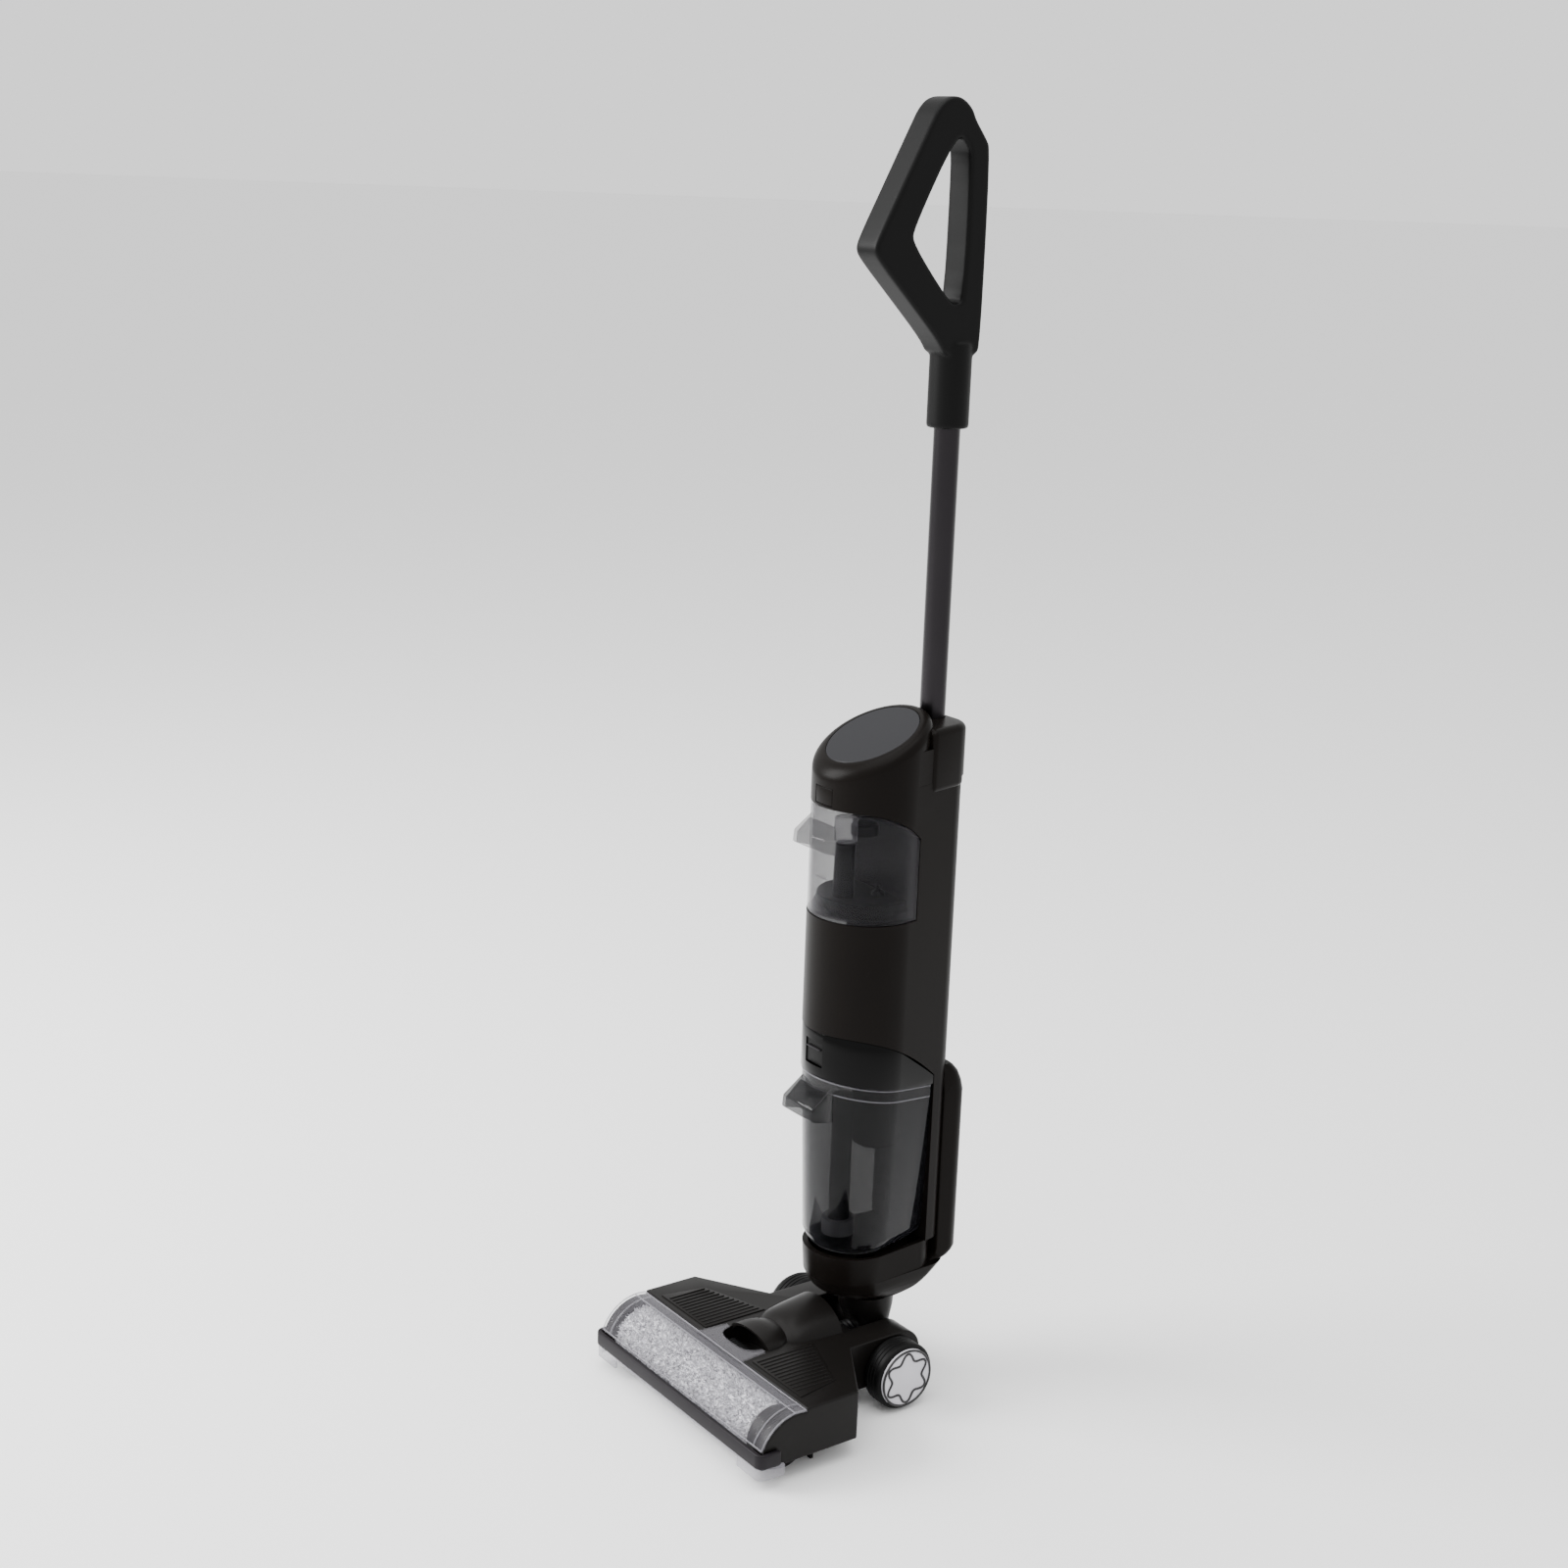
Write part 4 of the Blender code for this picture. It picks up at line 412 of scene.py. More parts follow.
@dataclass(frozen=True)
class CircuitBoard:
    """A green board with copper tracks under its lacquer."""

    name: str

    def material(self) -> bpy.types.Material:
        """Build the material, or give the one already built.

        Returns:
            The material.
        """
        made = bpy.data.materials.get(self.name)
        if made is not None:
            return made
        made = bpy.data.materials.new(self.name)
        made.use_nodes = True
        nodes, links = made.node_tree.nodes, made.node_tree.links
        shader = nodes["Principled BSDF"]
        spot = nodes.new("ShaderNodeTexCoord")
        tracks = nodes.new("ShaderNodeTexBrick")
        tracks.inputs["Scale"].default_value = 180.0
        tracks.inputs["Color1"].default_value = linear("1d5a34")
        tracks.inputs["Color2"].default_value = linear("17482a")
        tracks.inputs["Mortar"].default_value = linear("3f8a55")
        links.new(spot.outputs["Object"], tracks.inputs["Vector"])
        links.new(tracks.outputs["Color"], shader.inputs["Base Color"])
        shader.inputs["Roughness"].default_value = 0.35
        return made


BODY_BLACK = Plastic("body_satin_black", "100d0b", "0b0908", 0.32, specular=0.05, dust=0.002)
HEAD_BLACK = Plastic("head_satin_black", "110f0e", "0c0b0a", 0.36, specular=0.11, dust=0.005)
LID_GLOSS = Plastic(
    "lid_gloss_black", "050505", "040404", 0.12, 0.04, depth=0.000004, dust=0.0, specular=0.08
)
SOFT_GRIP = Plastic("soft_touch_black", "060606", "050505", 0.44, grain=1500.0, dust=0.001, specular=0.10)
DARK_PLASTIC = Plastic("inner_dark_plastic", "0b0b0c", "080809", 0.40, dust=0.0, specular=0.12)
PALE_PLASTIC = Plastic("pale_grey_plastic", "c6c4ca", "bab8be", 0.40, dust=0.0)
STRIP_GREY = Plastic("bumper_purple_grey", "171418", "131013", 0.45, dust=0.004, specular=0.14)
LENS_GREY = Plastic(
    "display_window_grey", "18181b", "161619", 0.34, 0.03, depth=0.000005, dust=0.0, specular=0.16
)
RUBBER = Plastic(
    "tyre_rubber", "080808", "050505", 0.55, grain=900.0, depth=0.00006, dust=0.003, specular=0.12
)
BELT_RUBBER = Plastic("belt_rubber", "101010", "0c0c0c", 0.70, grain=700.0, depth=0.0002)
LINE_BLACK = Plastic("cap_line_dark", "161517", "121113", 0.5, dust=0.0)
GUNMETAL = Plastic(
    "pole_gunmetal", "2f2d2f", "292729", 0.30, 0.05, 3500.0, 0.000005, 0.0, metallic=1.0
)
STEEL = Plastic("turned_steel", "a9a9ac", "98989b", 0.24, 0.06, 1800.0, 0.00002, 0.02, metallic=1.0)
CELL_SLEEVE = Plastic("cell_sleeve_blue", "2c5d8a", "254f78", 0.30, dust=0.0)
CLEAR = ClearPlastic("clear_smoky_plastic", "131215", "5f5d63", 0.32, 0.72)
COVER_CLEAR = ClearPlastic("clear_cover_plastic", "77757b", "c3c1c8", 0.05, 0.60)
# Pale clear plastic whose light colour is a painted highlight: the cover's edge lines, the guards and the
# column's fitting.
HIGHLIGHT_CLEAR = ClearPlastic("clear_painted_highlight", "8f8d94", "c4c3c9", 0.35, 0.90)
SMOKE = ClearPlastic("dark_smoke_plastic", "060607", "34343a", 0.62, 0.90, 0.05, 0.36)
# Pale smoke whose light colour is a painted highlight, for the lines on the dirty tank's rim.
HIGHLIGHT_SMOKE = ClearPlastic("smoke_painted_highlight", "77767c", "a4a3a9", 0.55, 0.95)
PILE = Flock("roller_flock", "e8e7ec", "68666c")
BOARD = CircuitBoard("circuit_board_green")
Finish = Plastic | ClearPlastic | Flock | CircuitBoard


# ---------------------------------------------------------------- shapes


def show(name: str, shape: bmesh.types.BMesh, angle: float = 35.0) -> bpy.types.Object:
    """Turn a closed bmesh into a smooth piece with its faces out.

    Args:
        name: the piece's name.
        shape: the mesh, which is freed.
        angle: edges sharper than this many degrees stay sharp.

    Returns:
        The piece.
    """
    bmesh.ops.recalc_face_normals(shape, faces=shape.faces)
    mesh = bpy.data.meshes.new(name)
    shape.to_mesh(mesh)
    shape.free()
    made = bpy.data.objects.new(name, mesh)
    bpy.context.scene.collection.objects.link(made)
    soften(made, angle)
    return made


def soften(piece: bpy.types.Object, angle: float = 35.0) -> None:
    """Shade a piece smooth, with edges sharper than an angle kept sharp."""
    piece.data.shade_smooth()
    piece.data.set_sharp_from_angle(angle=math.radians(angle))


def settle(piece: bpy.types.Object) -> None:
    """Bake a piece's modifiers into its mesh.

    Args:
        piece: the piece.
    """
    bpy.context.view_layer.update()
    view = bpy.context.evaluated_depsgraph_get()
    mesh = bpy.data.meshes.new_from_object(piece.evaluated_get(view), depsgraph=view)
    old = piece.data
    piece.modifiers.clear()
    piece.data = mesh
    if old.users == 0:
        bpy.data.meshes.remove(old)


def combine(piece: bpy.types.Object, how: Join, *others: bpy.types.Object) -> None:
    """Join, cut or clip a piece with others, which are used up."""
    for other in others:
        step = piece.modifiers.new(how.name, "BOOLEAN")
        step.operation = how.value
        step.solver = "EXACT"
        step.object = other
        settle(piece)
        bpy.data.objects.remove(other, do_unlink=True)
    soften(piece)


def round_edges(
    piece: bpy.types.Object, width: float, segments: int = 3, angle: float = 40.0
) -> None:
    """Round every edge that is sharper than an angle.

    Args:
        piece: the piece to round.
        width: how far the rounding reaches, in metres.
        segments: faces across the rounding.
        angle: the least angle in degrees.
    """
    step = piece.modifiers.new("rounding", "BEVEL")
    step.width = width
    step.segments = segments
    step.limit_method = "ANGLE"
    step.angle_limit = math.radians(angle)
    step.use_clamp_overlap = True
    step.harden_normals = False
    settle(piece)
    soften(piece, 50.0)


def loft(name: str, rings: Sequence[Sequence[Point3]], angle: float = 35.0) -> bpy.types.Object:
    """A closed skin through rings of equal, even count that mirror about their middle.

    Args:
        name: the piece's name.
        rings: the rings, first to last.
        angle: edges sharper than this many degrees stay sharp.

    Returns:
        The piece.
    """
    shape = bmesh.new()
    rows = [[shape.verts.new(point) for point in ring] for ring in rings]
    count = len(rows[0])
    for low, high in zip(rows, rows[1:]):
        for i in range(count):
            j = (i + 1) % count
            shape.faces.new((low[i], low[j], high[j], high[i]))
    for row in (rows[0], rows[-1]):
        for i in range(count // 2 - 1):
            shape.faces.new((row[i], row[i + 1], row[count - 2 - i], row[count - 1 - i]))
    return show(name, shape, angle)


def turned(
    name: str,
    profile: Sequence[Point2],
    centre: Point3,
    axis: Axis = Axis.UP,
    steps: int = 96,
    angle: float = 35.0,
) -> bpy.types.Object:
    """Turn a profile of radius and height about an axis.

    Args:
        name: the piece's name.
        profile: the points, closed on themselves unless both ends are on the axis.
        centre: a point on the axis, where the height is 0.
        axis: the axis.
        steps: faces round it.
        angle: edges sharper than this many degrees stay sharp.

    Returns:
        The piece.
    """
    shape = bmesh.new()
    turn = {
        Axis.ACROSS: Matrix.Rotation(math.pi / 2, 3, "Y"),
        Axis.ALONG: Matrix.Rotation(-math.pi / 2, 3, "X"),
        Axis.UP: Matrix.Identity(3),
    }[axis]
    rows = []
    for radius, height in profile:
        count = 1 if radius < 1e-7 else steps
        row = []
        for k in range(count):
            theta = 2 * math.pi * k / steps
            local = Vector((radius * math.cos(theta), radius * math.sin(theta), height))
            row.append(shape.verts.new(turn @ local + Vector(centre)))
        rows.append(row)
    open_ended = len(rows[0]) == 1 and len(rows[-1]) == 1
    pairs = list(zip(rows, rows[1:]))
    if not open_ended:
        pairs.append((rows[-1], rows[0]))
    for first, second in pairs:
        if len(first) == 1 and len(second) == 1:
            continue
        for k in range(steps):
            j = (k + 1) % steps
            corners = [first[k % len(first)], first[j % len(first)]]
            corners += [second[j % len(second)], second[k % len(second)]]
            shape.faces.new(list(dict.fromkeys(corners)))
    return show(name, shape, angle)


def slab(
    name: str, outline: Sequence[Point2], low: float, high: float, plane: Plane = Plane.PLAN
) -> bpy.types.Object:
    """A flat outline pushed between two levels.

    Args:
        name: the piece's name.
        outline: its corners in the plane.
        low: the first level across the plane.
        high: the second level.
        plane: the plane it is drawn in.

    Returns:
        The piece.
    """
    places: dict[Plane, Callable[[float, float, float], Point3]] = {
        Plane.PLAN: lambda a, b, level: (a, b, level),
        Plane.SIDE: lambda a, b, level: (level, a, b),
        Plane.FRONT: lambda a, b, level: (a, level, b),
    }
    place = places[plane]
    shape = bmesh.new()
    near = [shape.verts.new(place(a, b, low)) for a, b in outline]
    far = [shape.verts.new(place(a, b, high)) for a, b in outline]
    shape.faces.new(near)
    shape.faces.new(list(reversed(far)))
    for i in range(len(near)):
        j = (i + 1) % len(near)
        shape.faces.new((near[i], far[i], far[j], near[j]))
    return show(name, shape)


def block(name: str, low: Point3, high: Point3) -> bpy.types.Object:
    """A box between two corners."""
    outline = [(low[0], low[1]), (high[0], low[1]), (high[0], high[1]), (low[0], high[1])]
    return slab(name, outline, low[2], high[2])


def bead(
    name: str, path: Sequence[Point3], radius: float, closed: bool = False
) -> bpy.types.Object:
    """A round bead along a path.

    Args:
        name: the piece's name.
        path: its points.
        radius: the bead's radius.
        closed: whether the path joins up.

    Returns:
        The piece.
    """
    curve = bpy.data.curves.new(name, "CURVE")
    curve.dimensions = "3D"
    curve.bevel_depth = radius
    curve.bevel_resolution = 2
    curve.use_fill_caps = True
    spline = curve.splines.new("POLY")
    spline.points.add(len(path) - 1)
    spline.use_cyclic_u = closed
    for point, place in zip(spline.points, path):
        point.co = (*place, 1.0)
    drawn = bpy.data.objects.new(name, curve)
    bpy.context.scene.collection.objects.link(drawn)
    bpy.context.view_layer.update()
    view = bpy.context.evaluated_depsgraph_get()
    mesh = bpy.data.meshes.new_from_object(drawn.evaluated_get(view), depsgraph=view)
    bpy.data.objects.remove(drawn, do_unlink=True)
    bpy.data.curves.remove(curve)
    made = bpy.data.objects.new(name, mesh)
    bpy.context.scene.collection.objects.link(made)
    soften(made, 60.0)
    return made


def arc(centre: Point2, radius: float, first: float, last: float, steps: int) -> list[Point2]:
    """Points on an arc, with its angles in degrees.

    Args:
        centre: its centre.
        radius: its radius.
        first: the angle it starts at.
        last: the angle it ends at.
        steps: how many straight pieces it has.

    Returns:
        The points.
    """
    points = []
    for k in range(steps + 1):
        theta = math.radians(first + (last - first) * k / steps)
        points.append((centre[0] + radius * math.cos(theta), centre[1] + radius * math.sin(theta)))
    return points


def cut_corners(loop: Sequence[Point2], times: int = 2, share: float = 0.25) -> list[Point2]:
    """Smooth a closed outline by cutting its corners.

    Args:
        loop: the outline's corners.
        times: how often every corner is cut.
        share: how far along each side a cut starts.

    Returns:
        The smoother outline.
    """
    points = list(loop)
    for _ in range(times):
        cut = []
        for (ax, ay), (bx, by) in zip(points, points[1:] + points[:1]):
            cut.append((ax + (bx - ax) * share, ay + (by - ay) * share))
            cut.append((bx + (ax - bx) * share, by + (ay - by) * share))
        points = cut
    return points


def hull(circles: Sequence[Circle], inset: float = 0.0, count: int = 144) -> list[Point2]:
    """Points round the hull of some circles, moved in by an inset.

    Args:
        circles: their centres and radii.
        inset: how far the outline moves in.
        count: how many points it has.

    Returns:
        The closed outline.
    """
    ring = []
    for k in range(count):
        theta = 2 * math.pi * (k + 0.5) / count
        nx, ny = math.sin(theta), -math.cos(theta)
        x, y, radius = max(circles, key=lambda c: c[0] * nx + c[1] * ny + c[2])
        reach = max(radius - inset, 0.0004)
        ring.append((x + reach * nx, y + reach * ny))
    return ring


def clip(loop: Sequence[Point2], level: float, keep: int) -> list[Point2]:
    """The part of an outline on one side of a level along its second axis.

    Args:
        loop: the closed outline.
        level: where it is cut.
        keep: 1 keeps what is past the level, -1 what is before it.

    Returns:
        The part that is kept.
    """
    kept = []
    points = list(loop)
    for (ax, ay), (bx, by) in zip(points, points[1:] + points[:1]):
        a_in, b_in = (ay - level) * keep >= 0, (by - level) * keep >= 0
        if a_in:
            kept.append((ax, ay))
        if a_in != b_in:
            share = (level - ay) / (by - ay)
            kept.append((ax + (bx - ax) * share, level))
    return kept


def lift(loop: Sequence[Point2], level: float | Height) -> list[Point3]:
    """Put an outline in space at a height, or at a height that follows Y."""
    height = level if callable(level) else (lambda _y: level)
    return [(x, y, height(y)) for x, y in loop]


def dress(
    piece: bpy.types.Object,
    finish: Finish,
    body: str,
    slot: str,
    *nodes: str,
) -> bpy.types.Object:
    """Give a piece its finish and its body, and hide the nodes it stands for.

    Args:
        piece: the piece.
        finish: its finish.
        body: the body it moves with.
        slot: the record's material slot; not used.
        nodes: the nodes it replaces.

    Returns:
        The piece.
    """
    piece.data.materials.clear()
    piece.data.materials.append(finish.material())
    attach(piece, body)
    if nodes:
        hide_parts(*nodes)
    LOG.info("%s rides on %s", piece.name, body)
    return piece


def repeat(
    name: str,
    tree: bpy.types.NodeTree,
    base: bpy.types.Mesh | None,
    values: dict[str, float | int | Point3],
    finish: Finish,
) -> bpy.types.Object:
    """Run a geometry tree once and keep its result as a plain mesh.

    Args:
        name: the piece's name.
        tree: the geometry tree.
        base: the mesh that the tree starts from, or None for an empty one.
        values: the tree's named inputs.
        finish: the finish that the tree sets.

    Returns:
        The piece.
    """
    mesh = base if base is not None else bpy.data.meshes.new(name)
    made = bpy.data.objects.new(name, mesh)
    bpy.context.scene.collection.objects.link(made)
    step = made.modifiers.new("repeat", "NODES")
    step.node_group = tree
    for item in tree.interface.items_tree:
        if item.item_type == "SOCKET" and item.in_out == "INPUT":
            if item.name in values:
                step[item.identifier] = values[item.name]
            if item.name == "Material":
                step[item.identifier] = finish.material()
    settle(made)
    soften(made, 40.0)
    return made


def geometry_tree(name: str, inputs: Sequence[Point2]) -> bpy.types.NodeTree:
    """Make an empty geometry tree with a geometry input, its own inputs and an output.

    Args:
        name: the tree's name.
        inputs: each input's name and socket type.

    Returns:
        The tree.
    """
    tree = bpy.data.node_groups.new(name, "GeometryNodeTree")
    socket(tree, "Geometry", "NodeSocketGeometry")
    for label, kind in inputs:
        socket(tree, label, kind)
    socket(tree, "Material", "NodeSocketMaterial")
    socket(tree, "Geometry", "NodeSocketGeometry", "OUTPUT")
    return tree


def finish_tree(
    tree: bpy.types.NodeTree, given: bpy.types.Node, shape: bpy.types.NodeSocket
) -> None:
    """End a geometry tree in Realize Instances and Set Material.

    Args:
        tree: the tree.
        given: its group input node.
        shape: the geometry that is put out.
    """
    whole = tree.nodes.new("GeometryNodeRealizeInstances")
    painted = tree.nodes.new("GeometryNodeSetMaterial")
    out = tree.nodes.new("NodeGroupOutput")
    tree.links.new(shape, whole.inputs["Geometry"])
    tree.links.new(whole.outputs["Geometry"], painted.inputs["Geometry"])
    tree.links.new(given.outputs["Material"], painted.inputs["Material"])
    tree.links.new(painted.outputs["Geometry"], out.inputs["Geometry"])


def maths(
    tree: bpy.types.NodeTree,
    operation: str,
    first: bpy.types.NodeSocket | float,
    second: bpy.types.NodeSocket | float,
) -> bpy.types.NodeSocket:
    """Add a math node.

    Args:
        tree: the tree it goes in.
        operation: its operation.
        first: a socket or a number.
        second: a socket or a number.

    Returns:
        Its result.
    """
    node = tree.nodes.new("ShaderNodeMath")
    node.operation = operation
    for place, value in enumerate((first, second)):
        if isinstance(value, (int, float)):
            node.inputs[place].default_value = value
        else:
            tree.links.new(value, node.inputs[place])
    return node.outputs[0]


def bar_row_tree() -> bpy.types.NodeTree:
    """A row of round-topped bars along Y, set out along X, each a little shorter than the last.

    Returns:
        The tree, built once.
    """
    found = bpy.data.node_groups.get("bar_row")
    if found is not None:
        return found
    tree = geometry_tree(
        "bar_row",
        [
            ("Count", "NodeSocketInt"),
            ("Start", "NodeSocketVector"),
            ("Step", "NodeSocketVector"),
            ("Length", "NodeSocketFloat"),
            ("Shorten", "NodeSocketFloat"),
            ("Width", "NodeSocketFloat"),
            ("Rise", "NodeSocketFloat"),
        ],
    )
    nodes, links = tree.nodes, tree.links
    given = nodes.new("NodeGroupInput")
    line = nodes.new("GeometryNodeMeshLine")
    index = nodes.new("GeometryNodeInputIndex")
    less = maths(tree, "MULTIPLY", index.outputs[0], given.outputs["Shorten"])
    length = maths(tree, "SUBTRACT", given.outputs["Length"], less)
    half = maths(tree, "MULTIPLY", length, 0.5)
    shift = nodes.new("ShaderNodeCombineXYZ")
    moved = nodes.new("GeometryNodeSetPosition")
    bar = nodes.new("GeometryNodeMeshCylinder")
    bar.inputs["Vertices"].default_value = 12
    bar.inputs["Radius"].default_value = 0.5
    bar.inputs["Depth"].default_value = 1.0
    laid = nodes.new("GeometryNodeTransform")
    laid.inputs["Rotation"].default_value = (math.pi / 2, 0, 0)
    size = nodes.new("ShaderNodeCombineXYZ")
    placed = nodes.new("GeometryNodeInstanceOnPoints")
    links.new(given.outputs["Count"], line.inputs["Count"])
    links.new(given.outputs["Start"], line.inputs["Start Location"])
    links.new(given.outputs["Step"], line.inputs["Offset"])
    links.new(half, shift.inputs["Y"])
    links.new(line.outputs["Mesh"], moved.inputs["Geometry"])
    links.new(shift.outputs[0], moved.inputs["Offset"])
    links.new(bar.outputs["Mesh"], laid.inputs["Geometry"])
    links.new(given.outputs["Width"], size.inputs["X"])
    links.new(length, size.inputs["Y"])
    links.new(given.outputs["Rise"], size.inputs["Z"])
    links.new(moved.outputs["Geometry"], placed.inputs["Points"])
    links.new(laid.outputs["Geometry"], placed.inputs["Instance"])
    links.new(size.outputs[0], placed.inputs["Scale"])
    finish_tree(tree, given, placed.outputs["Instances"])
    return tree


def tuft_tree() -> bpy.types.NodeTree:
    """Short tufts that stand on a surface, each turned and sized a little at random.

    Returns:
        The tree, built once.
    """
    found = bpy.data.node_groups.get("pile_tufts")
    if found is not None:
        return found
    tree = geometry_tree(
        "pile_tufts",
        [
            ("Density", "NodeSocketFloat"),
            ("Length", "NodeSocketFloat"),
            ("Thickness", "NodeSocketFloat"),
            ("Lean", "NodeSocketFloat"),
            ("Seed", "NodeSocketInt"),
        ],
    )
    nodes, links = tree.nodes, tree.links
    given = nodes.new("NodeGroupInput")
    spread = nodes.new("GeometryNodeDistributePointsOnFaces")
    tuft = nodes.new("GeometryNodeMeshCone")
    tuft.inputs["Vertices"].default_value = 4
    tuft.inputs["Radius Top"].default_value = 0.25
    tuft.inputs["Radius Bottom"].default_value = 1.0
    tuft.inputs["Depth"].default_value = 1.0
    size = nodes.new("ShaderNodeCombineXYZ")
    shrink = nodes.new("FunctionNodeRandomValue")
    shrink.data_type = "FLOAT"
    shrink.inputs[2].default_value = 0.6
    shrink.inputs[3].default_value = 1.0
    lean = nodes.new("FunctionNodeRandomValue")
    lean.data_type = "FLOAT_VECTOR"
    low = nodes.new("ShaderNodeCombineXYZ")
    high = nodes.new("ShaderNodeCombineXYZ")
    back = maths(tree, "MULTIPLY", given.outputs["Lean"], -1.0)
    placed = nodes.new("GeometryNodeInstanceOnPoints")
    scaled = nodes.new("GeometryNodeScaleInstances")
    tilted = nodes.new("GeometryNodeRotateInstances")
    links.new(given.outputs["Geometry"], spread.inputs["Mesh"])
    links.new(given.outputs["Density"], spread.inputs["Density"])
    links.new(given.outputs["Seed"], spread.inputs["Seed"])
    links.new(given.outputs["Thickness"], size.inputs["X"])
    links.new(given.outputs["Thickness"], size.inputs["Y"])
    links.new(given.outputs["Length"], size.inputs["Z"])
    links.new(spread.outputs["Points"], placed.inputs["Points"])
    links.new(spread.outputs["Rotation"], placed.inputs["Rotation"])
    links.new(tuft.outputs["Mesh"], placed.inputs["Instance"])
    links.new(size.outputs[0], placed.inputs["Scale"])
    for name in ("X", "Y"):
        links.new(back, low.inputs[name])
        links.new(given.outputs["Lean"], high.inputs[name])
    links.new(low.outputs[0], lean.inputs[0])
    links.new(high.outputs[0], lean.inputs[1])
    links.new(given.outputs["Seed"], lean.inputs["Seed"])
    links.new(given.outputs["Seed"], shrink.inputs["Seed"])
    links.new(placed.outputs["Instances"], tilted.inputs["Instances"])
    links.new(lean.outputs[0], tilted.inputs["Rotation"])
    links.new(tilted.outputs["Instances"], scaled.inputs["Instances"])
    links.new(shrink.outputs[1], scaled.inputs["Scale"])
    finish_tree(tree, given, scaled.outputs["Instances"])
    return tree


# ---------------------------------------------------------------- upright body


@dataclass
class BodyPlan:
    """Plan of the upright body: the hull of one front circle and two rear corners."""

    radius: float = 0.0506
    front_centre_y: float = 0.0448
    rear_half: float = 0.038
    rear_y: float = 0.1253
    corner: float = 0.022
    split_y: float = 0.1165

    @property
    def front_y(self) -> float:
        """The foremost point of the body."""
        return self.front_centre_y - self.radius

    def circles(self) -> list[Circle]:
        """The circles that the plan is drawn round.

        Returns:
            The front circle and the two rear corners.
        """
        across = self.rear_half - self.corner
        back = self.rear_y - self.corner
        front = (0.0, self.front_centre_y, self.radius)
        return [front, (across, back, self.corner), (-across, back, self.corner)]

    def outline(self, inset: float = 0.0) -> list[Point2]:
        """The plan, moved in by an inset."""
        return hull(self.circles(), inset)

    def cut_ring(self, level: float | Height, back_y: float, inset: float = 0.0) -> list[Point3]:
        """The plan at a height, cut off flat at the back."""
        return lift(clip(self.outline(inset), back_y, -1), level)

    def dome_ring(self, level: float | Height, inset: float = 0.0) -> list[Point3]:
        """The front circle at a height."""
        return lift(hull([(0.0, self.front_centre_y, self.radius)], inset), level)


